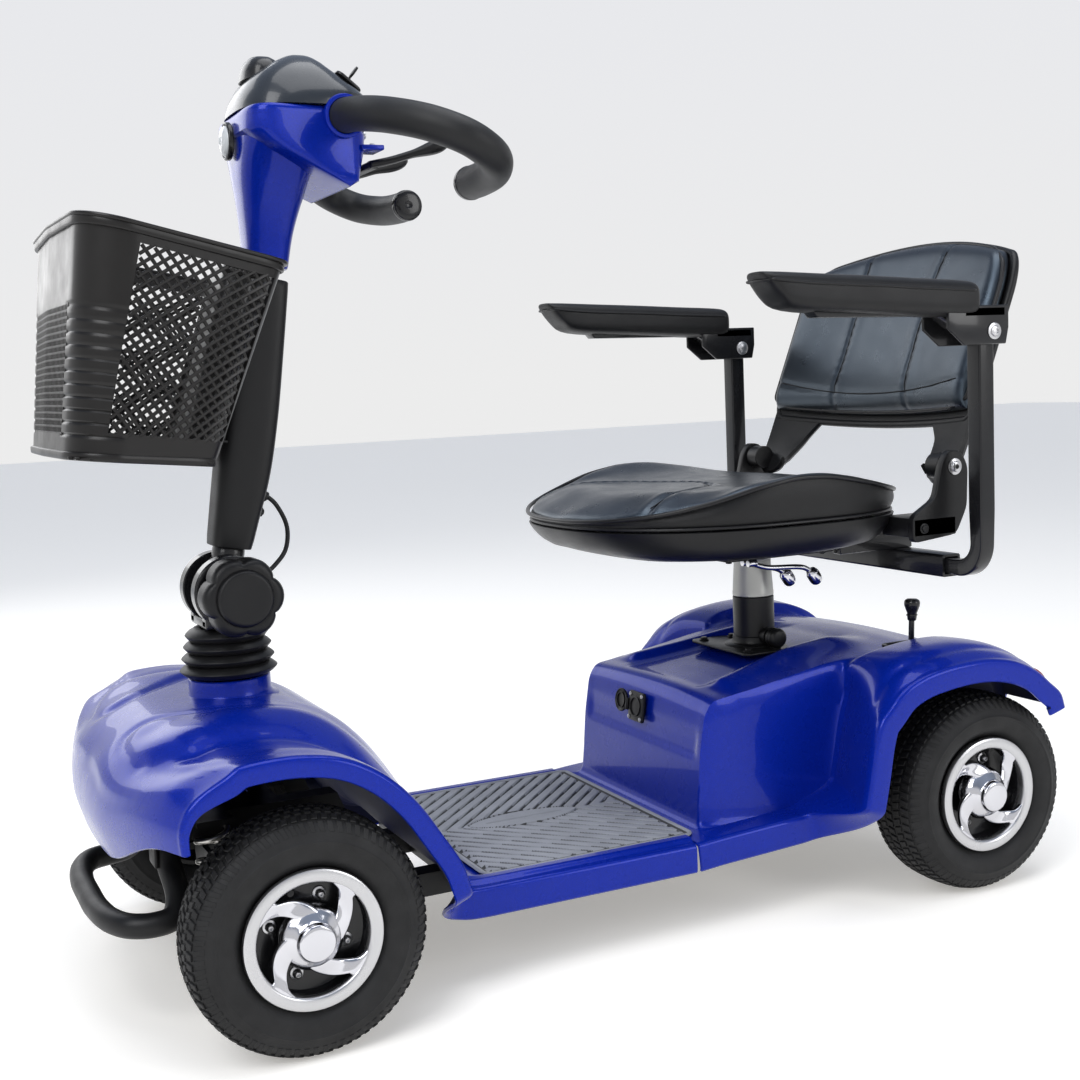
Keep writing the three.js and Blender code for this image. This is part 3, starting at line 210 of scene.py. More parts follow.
def material(name, color, rough, metal=0.0, coat=0.0, coat_rough=0.03, spec=0.27, grain=None, blotch=None,
             rough_var=0.0, sheen=0.0, spec_tint=None, ior=1.5, transmission=0.0, flake=None, aniso=0.0, voronoi=None, wave=None):
    """A procedural material. grain: (scale, distance m, strength) fine noise bump; blotch: (scale, amount) slow colour change."""
    m = bpy.data.materials.new(name)
    nt, b = nodes_of(m)
    L = nt.links
    b.inputs["Base Color"].default_value = (*color, 1)
    b.inputs["Roughness"].default_value = rough
    b.inputs["Metallic"].default_value = metal
    b.inputs["Coat Weight"].default_value = coat
    b.inputs["Coat Roughness"].default_value = coat_rough
    b.inputs["Specular IOR Level"].default_value = spec
    b.inputs["Coat IOR"].default_value = 1.34
    b.inputs["IOR"].default_value = ior
    if spec_tint:
        b.inputs["Specular Tint"].default_value = (*spec_tint, 1)
    b.inputs["Sheen Weight"].default_value = sheen
    b.inputs["Transmission Weight"].default_value = transmission
    b.inputs["Anisotropic"].default_value = aniso
    co = nt.nodes.new("ShaderNodeTexCoord").outputs["Object"]

    def noise(scale, detail=3.0, rough_n=0.55):
        n = nt.nodes.new("ShaderNodeTexNoise")
        n.inputs["Scale"].default_value = scale
        n.inputs["Detail"].default_value = detail
        n.inputs["Roughness"].default_value = rough_n
        L.new(co, n.inputs["Vector"])
        return n.outputs["Fac"]

    def remap(sock, lo, hi, f0=0.3, f1=0.7):
        r = nt.nodes.new("ShaderNodeMapRange")
        r.inputs["From Min"].default_value = f0
        r.inputs["From Max"].default_value = f1
        r.inputs["To Min"].default_value = lo
        r.inputs["To Max"].default_value = hi
        L.new(sock, r.inputs["Value"])
        return r.outputs[0]

    if blotch or flake:
        fac = noise(blotch[0]) if blotch else None
        mix = nt.nodes.new("ShaderNodeMix")
        mix.data_type = "RGBA"
        if flake:
            v = nt.nodes.new("ShaderNodeTexVoronoi")
            v.inputs["Scale"].default_value = flake[0]
            L.new(co, v.inputs["Vector"])
            sep = nt.nodes.new("ShaderNodeSeparateColor")
            L.new(v.outputs["Color"], sep.inputs[0])
            L.new(remap(sep.outputs[0], 0, 1, 0.0, 1.0), mix.inputs["Factor"])
            amt = flake[1]
        else:
            L.new(remap(fac, 0, 1), mix.inputs["Factor"])
            amt = blotch[1]
        mix.inputs["A"].default_value = (*[c * (1 - amt) for c in color], 1)
        mix.inputs["B"].default_value = (*[min(1, c * (1 + amt)) for c in color], 1)
        L.new(mix.outputs["Result"], b.inputs["Base Color"])
    if rough_var:
        L.new(remap(noise(35.0, 4), rough - rough_var, rough + rough_var), b.inputs["Roughness"])
    h = None
    if grain:
        bump = nt.nodes.new("ShaderNodeBump")
        bump.inputs["Distance"].default_value = grain[1]
        bump.inputs["Strength"].default_value = grain[2]
        L.new(noise(grain[0], 2), bump.inputs["Height"])
        h = bump
    if voronoi:
        v = nt.nodes.new("ShaderNodeTexVoronoi")
        v.feature = "DISTANCE_TO_EDGE"
        v.inputs["Scale"].default_value = voronoi[0]
        L.new(co, v.inputs["Vector"])
        b2 = nt.nodes.new("ShaderNodeBump")
        b2.inputs["Distance"].default_value = voronoi[1]
        b2.inputs["Strength"].default_value = voronoi[2]
        L.new(remap(v.outputs[0], 0, 1, 0.0, 0.25), b2.inputs["Height"])
        if h:
            L.new(h.outputs[0], b2.inputs["Normal"])
        h = b2
    if h:
        L.new(h.outputs[0], b.inputs["Normal"])
    return m


M = {}
M["blue"] = material("candy_blue", (0.0012, 0.015, 0.27), 0.28, metal=0.20, coat=0.42, coat_rough=0.02, spec=0.12, flake=(2600, 0.35), rough_var=0.03)
M["blue_in"] = material("blue_inner_face", (0.004, 0.007, 0.05), 0.6, blotch=(30, 0.4))
M["plastic"] = material("black_moulded", (0.0055, 0.0055, 0.006), 0.38, grain=(1500, 0.0002, 0.5), rough_var=0.05)
M["gloss"] = material("black_gloss_paint", (0.008, 0.008, 0.009), 0.24, coat=0.45, coat_rough=0.06, rough_var=0.04, grain=(300, 0.0001, 0.15))
M["steel_blk"] = material("black_powder_coat", (0.007, 0.007, 0.0075), 0.36, grain=(1800, 0.00015, 0.5), rough_var=0.05)
M["foam"] = material("handle_foam", (0.0085, 0.0088, 0.0095), 0.48, grain=(2200, 0.00025, 0.5), rough_var=0.05, sheen=0.03)
M["bellows"] = material("bellows_rubber", (0.008, 0.008, 0.0085), 0.42, grain=(900, 0.0002, 0.4), rough_var=0.06)
M["tyre"] = material("tyre_rubber", (0.011, 0.011, 0.0115), 0.60, grain=(700, 0.0003, 0.5), blotch=(40, 0.25), rough_var=0.08)
M["chrome"] = material("chrome_plate", (0.60, 0.60, 0.63), 0.12, metal=1.0, rough_var=0.02)
M["satin"] = material("satin_silver", (0.52, 0.52, 0.53), 0.30, metal=1.0, rough_var=0.04, grain=(1800, 0.00005, 0.3))
M["silver"] = material("painted_silver", (0.42, 0.42, 0.40), 0.38, metal=0.7, rough_var=0.05, grain=(1500, 0.00005, 0.3))
M["zinc"] = material("zinc_plate", (0.50, 0.49, 0.46), 0.30, metal=1.0, blotch=(60, 0.2), rough_var=0.08)
M["console"] = material("console_grey", (0.020, 0.024, 0.030), 0.27, coat=0.6, coat_rough=0.08, rough_var=0.04, grain=(1200, 0.0001, 0.2))
M["console_dark"] = material("console_dark", (0.012, 0.012, 0.013), 0.30, coat=0.4, coat_rough=0.1, rough_var=0.04, grain=(1200, 0.0001, 0.2))
M["mat"] = material("mat_rubber", (0.25, 0.26, 0.285), 0.62, grain=(1400, 0.0003, 0.6), blotch=(25, 0.10), rough_var=0.06)
# the leather's blue specular tint is a painted reflection of blue sky on the cushion tops
M["leather"] = material("black_leather", (0.007, 0.008, 0.010), 0.31, spec=0.85, spec_tint=(0.62, 0.80, 1.0), voronoi=(520, 0.00022, 0.30), grain=(1600, 0.0001, 0.3), rough_var=0.05)
M["piping"] = material("piping", (0.010, 0.010, 0.011), 0.30, grain=(1500, 0.0001, 0.3), rough_var=0.04)
M["thread"] = material("seam_thread", (0.006, 0.006, 0.007), 0.7, grain=(2500, 0.0002, 0.6))
M["pad"] = material("arm_pad_vinyl", (0.006, 0.006, 0.0065), 0.42, voronoi=(700, 0.0002, 0.35), rough_var=0.06)
M["red"] = material("red_lens", (0.30, 0.006, 0.008), 0.12, coat=1.0, transmission=0.25, blotch=(200, 0.2))
M["lens"] = material("clear_lens", (0.75, 0.78, 0.80), 0.06, coat=1.0, transmission=0.35, blotch=(150, 0.05))
M["brass"] = material("contact_metal", (0.55, 0.42, 0.22), 0.3, metal=1.0, blotch=(90, 0.2))
M["white_mark"] = material("dial_mark", (0.55, 0.55, 0.55), 0.5, blotch=(90, 0.05))
M["yellow"] = material("band_yellow", (0.45, 0.30, 0.02), 0.5, blotch=(90, 0.1))
M["basket"] = material("basket_moulding", (0.008, 0.0072, 0.0068), 0.33, coat=0.12, coat_rough=0.2, grain=(500, 0.0001, 0.2), rough_var=0.05)
M["black_in"] = material("black_inner", (0.006, 0.006, 0.006), 0.7, blotch=(60, 0.3))

# ------------------------------------------------------------------ mesh helpers (millimetres, wheelbase frame)
PIECES = {}


def arr(*v):
    return np.array(v, float)


def unit(v):
    v = np.asarray(v, float)
    return v / (np.linalg.norm(v) + 1e-12)


def merge(*parts):
    V, F, n = [], [], 0
    for v, f in parts:
        v = np.asarray(v, float)
        V.append(v)
        F += [tuple(i + n for i in q) for q in f]
        n += len(v)
    return np.concatenate(V), F


def mirrored(part):
    v, f = part
    v = np.array(v, float)
    v[:, 0] *= -1
    return v, [tuple(reversed(q)) for q in f]


def mk(name, part, mat, body=None, hides=(), slot=None, smooth=35, bevel=0.0, segs=2, subdiv=0, mats=None, face_mats=None, parent_blend=None):
    """One object from (verts mm, faces). mats and face_mats give several materials to one mesh."""
    V, F = part
    V = np.array(V, float) * 0.001
    V[:, 1] += MID_Y * 0.001
    me = bpy.data.meshes.new(name)
    me.from_pydata([tuple(p) for p in V], [], [tuple(q) for q in F])
    me.validate()
    o = bpy.data.objects.new(name, me)
    bpy.context.scene.collection.objects.link(o)
    bm = bmesh.new()
    bm.from_mesh(me)
    bmesh.ops.recalc_face_normals(bm, faces=bm.faces)
    bm.to_mesh(me)
    bm.free()
    for mm in (mats or [mat]):
        me.materials.append(M[mm])
    if face_mats is not None:
        me.polygons.foreach_set("material_index", np.asarray(face_mats, np.int32))
    me.polygons.foreach_set("use_smooth", [True] * len(me.polygons))
    if smooth:
        me.set_sharp_from_angle(angle=rad(smooth))
    if bevel:
        md = o.modifiers.new("bevel", "BEVEL")
        md.width = bevel * 0.001
        md.segments = segs
        md.limit_method = "ANGLE"
        md.angle_limit = rad(30)
        md.harden_normals = False
    if subdiv:
        md = o.modifiers.new("sub", "SUBSURF")
        md.levels = subdiv
        md.render_levels = subdiv
    if body:
        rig.ride(o, body)
    if hides:
        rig.replaces(o, *hides)
    if slot:
        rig.slot(o, slot)
    PIECES[name] = o
    return o


def frame_from(d):
    d = unit(d)
    a = arr(0, 0, 1) if abs(d[2]) < 0.9 else arr(0, 1, 0)
    u = unit(np.cross(a, d))
    return u, np.cross(d, u), d


def lathe(profile, at, direction, seg=48, arc=None, phase=0.0):
    """profile of [radius, height]; both ends on the axis close it, else a closed ring profile (first = last)."""
    at = np.asarray(at, float)
    u, w, d = frame_from(direction)
    closed = np.allclose(profile[0], profile[-1]) and profile[0][0] > 1e-6
    pr = profile[:-1] if closed else profile
    V, F = [], []
    idx = []
    for r, h in pr:
        if r < 1e-6:
            idx.append([len(V)] * seg)
            V.append(at + d * h)
        else:
            row = []
            for k in range(seg):
                a = 2 * pi * k / seg + phase
                row.append(len(V))
                V.append(at + d * h + (u * math.cos(a) + w * math.sin(a)) * r)
            idx.append(row)
    n = len(pr)
    for i in range(n if closed else n - 1):
        A, B = idx[i], idx[(i + 1) % n]
        for k in range(seg):
            k2 = (k + 1) % seg
            q = [A[k], A[k2], B[k2], B[k]]
            q = [x for j, x in enumerate(q) if x not in q[:j]]
            if len(q) >= 3:
                F.append(tuple(q))
    return np.array(V), F


def catmull(P, n):
    """n points along a centripetal-like smooth curve through P."""
    P = np.asarray(P, float)
    L = np.r_[0, np.cumsum(np.linalg.norm(np.diff(P, axis=0), axis=1) ** 0.5)]
    t = np.linspace(0, L[-1], n)
    out = []
    m = len(P)
    T = []
    for i in range(m):
        if i == 0:
            T.append((P[1] - P[0]) / (L[1] - L[0]))
        elif i == m - 1:
            T.append((P[-1] - P[-2]) / (L[-1] - L[-2]))
        else:
            d0, d1 = L[i] - L[i - 1], L[i + 1] - L[i]
            T.append(((P[i] - P[i - 1]) / d0 * d1 + (P[i + 1] - P[i]) / d1 * d0) / (d0 + d1))
    for x in t:
        k = min(m - 2, max(0, np.searchsorted(L, x, side="right") - 1))
        h = L[k + 1] - L[k]
        s = (x - L[k]) / h
        out.append((2 * s ** 3 - 3 * s ** 2 + 1) * P[k] + (s ** 3 - 2 * s ** 2 + s) * h * T[k] + (-2 * s ** 3 + 3 * s ** 2) * P[k + 1] + (s ** 3 - s ** 2) * h * T[k + 1])
    out = np.array(out)
    # even spacing
    D = np.r_[0, np.cumsum(np.linalg.norm(np.diff(out, axis=0), axis=1))]
    tt = np.linspace(0, D[-1], n)
    return np.stack([np.interp(tt, D, out[:, k]) for k in range(3)], 1)


def sweep(path, radius, seg=20, cap="round", section=None, up0=None, closed=False):
    """Tube along path points (already dense). radius may be a list. section: unit polygon (N,2)."""
    P = np.asarray(path, float)
    n = len(P)
    R = np.full(n, float(radius)) if np.isscalar(radius) else np.asarray(radius, float)
    T = np.gradient(P, axis=0)
    if closed:
        T = np.roll(P, -1, axis=0) - np.roll(P, 1, axis=0)
    T /= np.linalg.norm(T, axis=1, keepdims=True)
    u = unit(np.cross(up0 if up0 is not None else (arr(0, 0, 1) if abs(T[0][2]) < 0.9 else arr(1, 0, 0)), T[0]))
    sec = section if section is not None else np.array([[math.cos(2 * pi * k / seg), math.sin(2 * pi * k / seg)] for k in range(seg)])
    seg = len(sec)
    V, F = [], []
    us = []
    for i in range(n):
        if i:
            u = u - T[i] * (u @ T[i])
            u = unit(u)
        us.append(u)
    if closed:
        # spread the closing twist
        uu = us[-1] - T[0] * (us[-1] @ T[0])
        ang = math.atan2(np.dot(np.cross(uu, us[0]), T[0]), np.dot(uu, us[0]))
        for i in range(n):
            a = ang * i / n
            w = np.cross(T[i], us[i])
            us[i] = us[i] * math.cos(a) + w * math.sin(a)
    rows = []

    def ringat(c, i, r):
        w = np.cross(T[i], us[i])
        row = []
        for a, b in sec:
            row.append(len(V))
            V.append(c + (us[i] * a + w * b) * r)
        rows.append(row)

    if not closed and cap == "round":
        k = min(0.35, 1.0)
        for t in (0.0, 0.35, 0.7):
            rr = math.sin(math.acos(1 - t)) if t else 0.0
            ringat(P[0] - T[0] * R[0] * k * (1 - t), 0, R[0] * max(0.02, math.sqrt(max(0, 1 - (1 - t) ** 2))))
    for i in range(n):
        ringat(P[i], i, R[i])
    if not closed and cap == "round":
        for t in (0.7, 0.35, 0.0):
            ringat(P[-1] + T[-1] * R[-1] * k * (1 - t), n - 1, R[-1] * max(0.02, math.sqrt(max(0, 1 - (1 - t) ** 2))))
    m = len(rows)
    for i in range(m if closed else m - 1):
        A, B = rows[i], rows[(i + 1) % m]
        for k in range(seg):
            F.append((A[k], A[(k + 1) % seg], B[(k + 1) % seg], B[k]))
    if not closed:
        F.append(tuple(reversed(rows[0])))
        F.append(tuple(rows[-1]))
    return np.array(V), F


def bm_part(bm):
    bm.verts.index_update()
    V = np.array([v.co[:] for v in bm.verts], float).reshape(-1, 3)
    F = [tuple(v.index for v in f.verts) for f in bm.faces]
    bm.free()
    return V, F


def bevelled(part, width, segs=3, angle=25):
    bm = bmesh.new()
    V, F = part
    vs = [bm.verts.new(tuple(p)) for p in V]
    for q in F:
        try:
            bm.faces.new([vs[i] for i in q])
        except ValueError:
            pass
    bmesh.ops.recalc_face_normals(bm, faces=bm.faces)
    bm.edges.ensure_lookup_table()
    es = [e for e in bm.edges if len(e.link_faces) == 2 and e.calc_face_angle(0) > rad(angle)]
    bmesh.ops.bevel(bm, geom=es, offset=width, segments=segs, profile=0.5, affect="EDGES", clamp_overlap=True)
    return bm_part(bm)


def box(x0, x1, y0, y1, z0, z1, r=0.0, segs=3):
    V = np.array([[x, y, z] for x in (x0, x1) for y in (y0, y1) for z in (z0, z1)], float)
    F = [(0, 1, 3, 2), (4, 6, 7, 5), (0, 4, 5, 1), (2, 3, 7, 6), (0, 2, 6, 4), (1, 5, 7, 3)]
    return bevelled((V, F), r, segs) if r else (V, F)


def prism(poly, axis, lo, hi, r=0.0, segs=3, angle=25):
    n = len(poly)
    V = []
    for h in (lo, hi):
        for a, b in poly:
            V.append((h, a, b) if axis == "x" else (b, h, a) if axis == "y" else (a, b, h))
    F = [tuple(range(n - 1, -1, -1)), tuple(range(n, 2 * n))]
    for i in range(n):
        j = (i + 1) % n
        F.append((i, j, n + j, n + i))
    part = (np.array(V, float), F)
    return bevelled(part, r, segs, angle) if r else part


def rod(a, b, r, seg=32, r2=None, edge=0.0):
    a, b = np.asarray(a, float), np.asarray(b, float)
    h = np.linalg.norm(b - a)
    r2 = r if r2 is None else r2
    e = edge
    if e:
        prof = [[0, 0], [r - e, 0], [r - e * 0.3, e * 0.3], [r, e], [r2, h - e], [r2 - e * 0.3, h - e * 0.3], [r2 - e, h], [0, h]]
    else:
        prof = [[0, 0], [r, 0], [r2, h], [0, h]]
    return lathe(prof, a, b - a, seg)


def ring(cx, cy, z, a, b, n, count=48):
    t = (np.arange(count) + 0.5) / count * 2 * pi
    c, s = np.cos(t), np.sin(t)
    return np.stack([cx + a * np.sign(c) * np.abs(c) ** (2 / n), cy + b * np.sign(s) * np.abs(s) ** (2 / n), np.full(count, float(z))], 1)


def loft(rings, cap0=True, cap1=True, close=False):
    n = len(rings[0])
    V = np.concatenate(rings)
    F = []
    m = len(rings)
    for i in range(m if close else m - 1):
        for j in range(n):
            a, b = i * n + j, i * n + (j + 1) % n
            c, d = ((i + 1) % m) * n + j, ((i + 1) % m) * n + (j + 1) % n
            F.append((a, b, d, c))
    if not close:
        V = list(V)
        if cap0:
            V.append(np.mean(rings[0], 0))
            k = len(V) - 1
            F += [(k, (j + 1) % n, j) for j in range(n)]
        if cap1:
            V.append(np.mean(rings[-1], 0))
            k = len(V) - 1
            o = (m - 1) * n
            F += [(k, o + j, o + (j + 1) % n) for j in range(n)]
        V = np.array(V)
    return V, F


def shell(P, t, wrap=False):
    """Closed thick sheet from grid P[r][c] thickened by t (mm, along -normal), with a rounded border."""
    P = np.asarray(P, float)
    R, C = P.shape[:2]
    du = np.gradient(P, axis=0)
    dv = np.gradient(P, axis=1)
    n = np.cross(du, dv)
    n /= np.linalg.norm(n, axis=2, keepdims=True) + 1e-12
    Q = P - n * t
    # slight outward push of a middle rim ring makes a rounded edge
    V = list(P.reshape(-1, 3)) + list(Q.reshape(-1, 3))
    F = []
    idn = lambda s, i, j: s * R * C + i * C + j
    for i in range(R - 1):
        for j in range(C - 1):
            F.append((idn(0, i, j), idn(0, i + 1, j), idn(0, i + 1, j + 1), idn(0, i, j + 1)))
            F.append((idn(1, i, j), idn(1, i, j + 1), idn(1, i + 1, j + 1), idn(1, i + 1, j)))
    border = [(0, j) for j in range(C)] + [(i, C - 1) for i in range(1, R)] + [(R - 1, j) for j in range(C - 2, -1, -1)] + [(i, 0) for i in range(R - 2, 0, -1)]
    mids = []
    for (i, j) in border:
        p, q = P[i, j], Q[i, j]
        ii = 1 if i == 0 else R - 2 if i == R - 1 else i
        jj = 1 if j == 0 else C - 2 if j == C - 1 else j
        out = unit(P[i, j] - P[ii, jj])
        mids.append(len(V))
        V.append((p + q) / 2 + out * abs(t) * 0.35)
    m = len(border)
    for k in range(m):
        a, b = border[k], border[(k + 1) % m]
        F.append((idn(0, *a), idn(0, *b), mids[(k + 1) % m], mids[k]))
        F.append((mids[k], mids[(k + 1) % m], idn(1, *b), idn(1, *a)))
    return np.array(V), F


def smooth01(t):
    t = np.clip(t, 0, 1)
    return t * t * (3 - 2 * t)


def lerp(a, b, t):
    return a + (b - a) * t


def along(P, s):
    P = np.asarray(P, float)
    L = np.r_[0, np.cumsum(np.hypot(*np.diff(P, axis=0).T))]
    d = np.asarray(s) * L[-1]
    return np.stack([np.interp(d, L, P[:, 0]), np.interp(d, L, P[:, 1])], -1)


def round_profile(P, r=10, n=6):
    """Polyline with its inner corners rounded."""
    P = np.asarray(P, float)
    out = [P[0]]
    for i in range(1, len(P) - 1):
        a, b, c = P[i - 1], P[i], P[i + 1]
        la, lc = np.linalg.norm(a - b), np.linalg.norm(c - b)
        d = min(r, la * 0.45, lc * 0.45)
        p, q = b + (a - b) / la * d, b + (c - b) / lc * d
        for k in range(n + 1):
            t = k / n
            out.append((1 - t) ** 2 * p + 2 * t * (1 - t) * b + t * t * q)
    out.append(P[-1])
    return np.array(out)


def cylinder_bolt(at, d, r=5, h=3.5, kind="dome"):
    """Bolt head with a washer."""
    at, d = np.asarray(at, float), unit(d)
    w = lathe([[0, 0], [r * 1.45, 0], [r * 1.5, 0.4], [r * 1.5, 1.1], [r * 1.4, 1.4], [0, 1.4]], at, d, 28)
    if kind == "hex":
        hx = lathe([[0, 1.3], [r * 1.08, 1.3], [r * 1.12, 1.7], [r * 1.12, 1.3 + h - 0.6], [r * 0.95, 1.3 + h], [0, 1.3 + h]], at, d, 6)
        return merge(w, hx)
    dome = lathe([[0, 1.3], [r, 1.3], [r, 1.3 + h * 0.35], [r * 0.86, 1.3 + h * 0.75], [r * 0.5, 1.3 + h * 0.98], [r * 0.45, 1.3 + h * 0.98], [r * 0.4, 1.3 + h * 0.45], [0, 1.3 + h * 0.45]], at, d, 28)
    return merge(w, dome)

# ------------------------------------------------------------------ wheels
def wheel(prefix, cx, y, w, side, bore):
    at, out, h = arr(cx * side, y, 114), arr(side, 0, 0), w / 2
    u, wv, d = frame_from(out)

    def pt(r, a, x):
        return at + d * x + (u * math.cos(a) + wv * math.sin(a)) * r

    half = [(62, .58), (63.5, .66), (67, .745), (70.5, .835), (74, .915), (79, .972), (85, 1.0), (88.6, 1.0), (89.2, 1.012), (90.6, 1.012), (91.3, .992), (96, .965), (101, .91), (105.5, .815), (109, .68), (111, .50), (111.9, .25), (112.1, 0)]
    prof = [[r, -h * q] for r, q in half] + [[r, h * q] for r, q in half[::-1][1:]] + [[62, -h * .58]]
    tyre = lathe(prof, at, out, 112)
    # tread blocks that wrap over the shoulders
    crown = [(99, -.935), (101, -.91), (105.5, -.815), (109, -.68), (111, -.50), (111.9, -.25), (112.1, 0)]
    crown = np.array([[r, q * h] for r, q in crown] + [[r, -q * h] for r, q in crown[:-1][::-1]])
    L = np.r_[0, np.cumsum(np.hypot(*np.diff(crown, axis=0).T))]
    TL = L[-1]

    def surf(q):
        q = np.clip(q, 0, TL)
        a, b = np.interp(q, L, crown[:, 0]), np.interp(q, L, crown[:, 1])
        e = 1.0
        a0, b0 = np.interp(max(0, q - e), L, crown[:, 0]), np.interp(max(0, q - e), L, crown[:, 1])
        a1, b1 = np.interp(min(TL, q + e), L, crown[:, 0]), np.interp(min(TL, q + e), L, crown[:, 1])
        t = unit([a1 - a0, b1 - b0])
        return a, b, t[1], -t[0]

    V, F = [], []
    N = 74
    rows = 7
    pitch = 2 * pi / N
    rw = TL / rows
    for k in range(rows):
        c = (k + .5) * rw
        shoulder = k in (0, rows - 1)
        lq, lt = rw * (0.92 if shoulder else 0.74), (0.62 if shoulder else 0.66) * pitch
        hgt = 1.5 if shoulder else 1.85
        for i in range(N):
            th = (i + (0.5 if k % 2 else 0) + rng.uniform(-.02, .02)) * pitch
            skew = (0.10 if k % 2 else -0.10) * pitch
            base = len(V)
            for ins, z in ((0.0, -0.6), (0.15, hgt - 0.55), (0.75, hgt)):
                for a, b in ((-1, -1), (1, -1), (1, 1), (-1, 1)):
                    q = c + b * (lq / 2 - ins)
                    t = th + a * (lt / 2 - ins / 112) + b * skew
                    zz = z
                    if shoulder and ((k == 0 and b < 0) or (k == rows - 1 and b > 0)) and z > 0:
                        zz = z * 0.35
                    r, x, nr, nx = surf(q)
                    V.append(pt(r + nr * zz, t, x + nx * zz))
            for lay in (0, 4):
                for j in range(4):
                    F.append((base + lay + j, base + lay + (j + 1) % 4, base + lay + 4 + (j + 1) % 4, base + lay + 4 + j))
            F.append((base + 8, base + 9, base + 10, base + 11))
            F.append((base + 3, base + 2, base + 1, base))
    body = "wheel_" + prefix
    mk("vis_" + prefix + "_tyre", merge(tyre, (np.array(V), F)), "tyre", body, (prefix + "_tyre",), "tyre", smooth=40)

    # steel rim: barrel, dished web with four lightening dimples, hub
    b0 = bore
    rp = [[b0, -h * .5], [19, -h * .5], [20.5, -h * .46], [20.5, h * .06], [23, h * .1], [48, h * .12], [53, h * .05], [54.6, -h * .06], [54.8, -h * .68], [56, -h * .74], [60.4, -h * .74], [61.6, -h * .69], [60.2, -h * .60], [58.2, -h * .52], [58.2, h * .42], [60.2, h * .50], [61.6, h * .56], [61.4, h * .61], [59.6, h * .63], [56.4, h * .61], [55, h * .56], [54.4, h * .40], [52.5, h * .33], [47, h * .30], [19, h * .30], [17.5, h * .34], [17, h * .53], [16, h * .56], [b0, h * .56]]
    if b0 > 0:
        rp.append(rp[0])
        rim = lathe(rp, at, out, 64)
    else:
        rp = [[0, -h * .5]] + rp[1:-1] + [[0, h * .56]]
        rim = merge(lathe(rp, at, out, 64), rod(at + out * (-h * .5 + .5), arr(48 * side, y, 114), 10, 32, edge=0.6))
    web = []
    for i in range(8):
        a = rad(22.5 + 45 * i)
        web.append(lathe([[0, h * .12], [5.5, h * .12], [6, h * .10], [6, h * .02], [0, h * .02]], pt(38, a, 0), out, 20))
    mk("vis_" + prefix + "_rim", merge(rim, *web), "gloss", body, (prefix + "_rim",), "black_steel", smooth=30)

    # bright trim: flat outer ring, four swept blades, domed boss with an end cap
    tr = [[54.4, .66], [53.0, .70], [52.6, .80], [53.0, .885], [54.2, .925], [56, .945], [63.2, .955], [65.0, .93], [66.0, .87], [65.6, .80], [63, .755], [61.0, .70], [60.8, .66], [54.4, .66]]
    outer = lathe([[r, q * h] for r, q in tr], at, out, 96)
    blades = []
    for i in range(4):
        rings_ = []
        for tau in np.linspace(0, 1, 18):
            r = 22 + 33 * tau
            flare = smooth01((tau - .80) / .2)
            fl = rad(32 + 33 * tau + 7 * flare)
            ft = rad(-30 + 80 * tau ** 0.78 - 9 * flare)
            mid, hw = (fl + ft) / 2, (fl - ft) / 2
            top = lerp(lerp(.90, .80, smooth01(tau / .5)), .915, smooth01((tau - .5) / .5)) * h
            row = []
            for q in range(20):
                a = 2 * pi * (q + .5) / 20
                ca, sa = math.cos(a), math.sin(a)
                ca, sa = math.copysign(abs(ca) ** .45, ca), math.copysign(abs(sa) ** .6, sa)
                row.append(pt(r, mid + hw * ca + i * pi / 2, top - 3.2 + 3.2 * sa))
            rings_.append(np.array(row))
        blades.append(loft(rings_))
    boss = lathe([[0, h * .5], [29.5, h * .5], [30.5, h * .56], [30.5, h * .64], [30, h * .70], [28.6, h * .78], [26.2, h * .86], [23, h * .93], [20, h * .985], [18.2, h + 1.0], [17.4, h + 2.2], [17.2, h + 3.2], [17.2, h + 6.0], [16.6, h + 7.2], [15.4, h + 7.9], [12, h + 8.3], [6, h + 8.8], [0, h + 8.95]], at, out, 64)
    bolts = merge(*[cylinder_bolt(pt(37.5, rad(70 + 90 * i), h * .30), out, 4.3, 6.0) for i in range(4)])
    parts = [(outer, 1), (merge(*blades), 0), (boss, 0), (bolts, 1)]
    fm = []
    for p, k in parts:
        fm += [k] * len(p[1])
    mk("vis_" + prefix + "_trim", merge(*[p for p, k in parts]), None, body, (prefix + "_trim",), "chrome", smooth=38, mats=["chrome", "satin"], face_mats=fm)
    # tyre valve
    vs = merge(rod(pt(49, rad(112), h * .25), pt(49, rad(112), h * .62), 2.6, 18, edge=.4), rod(pt(49, rad(112), h * .60), pt(49, rad(112), h * .80), 3.2, 18, edge=.6))
    mk("vis_" + prefix + "_valve", vs, "plastic", body, (), "black_plastic")


for pre, cx, yy, ww in (("front", 228, -399.5, 72), ("rear", 207, 399.5, 84)):
    for nm, sd in (("left", 1), ("right", -1)):
        wheel(pre + "_" + nm, cx, yy, ww, sd, 9 if pre == "front" else 0)

# ------------------------------------------------------------------ body shells
FC_MID = [[-548, 168], [-556, 200], [-550, 236], [-532, 266], [-500, 287], [-455, 296], [-400, 297], [-350, 291], [-315, 274], [-286, 246], [-262, 208], [-243, 168], [-228, 126], [-216, 107], [-196, 101], [48.2, 101]]
FC_EDGE = [[-556, 212], [-557, 232], [-549, 252], [-530, 267], [-500, 277], [-449, 284], [-400, 284], [-362, 276], [-326, 256], [-296, 226], [-272, 190], [-252, 156], [-243, 128], [-234, 110], [-216, 103], [-196, 101.6], [48.2, 101.6]]


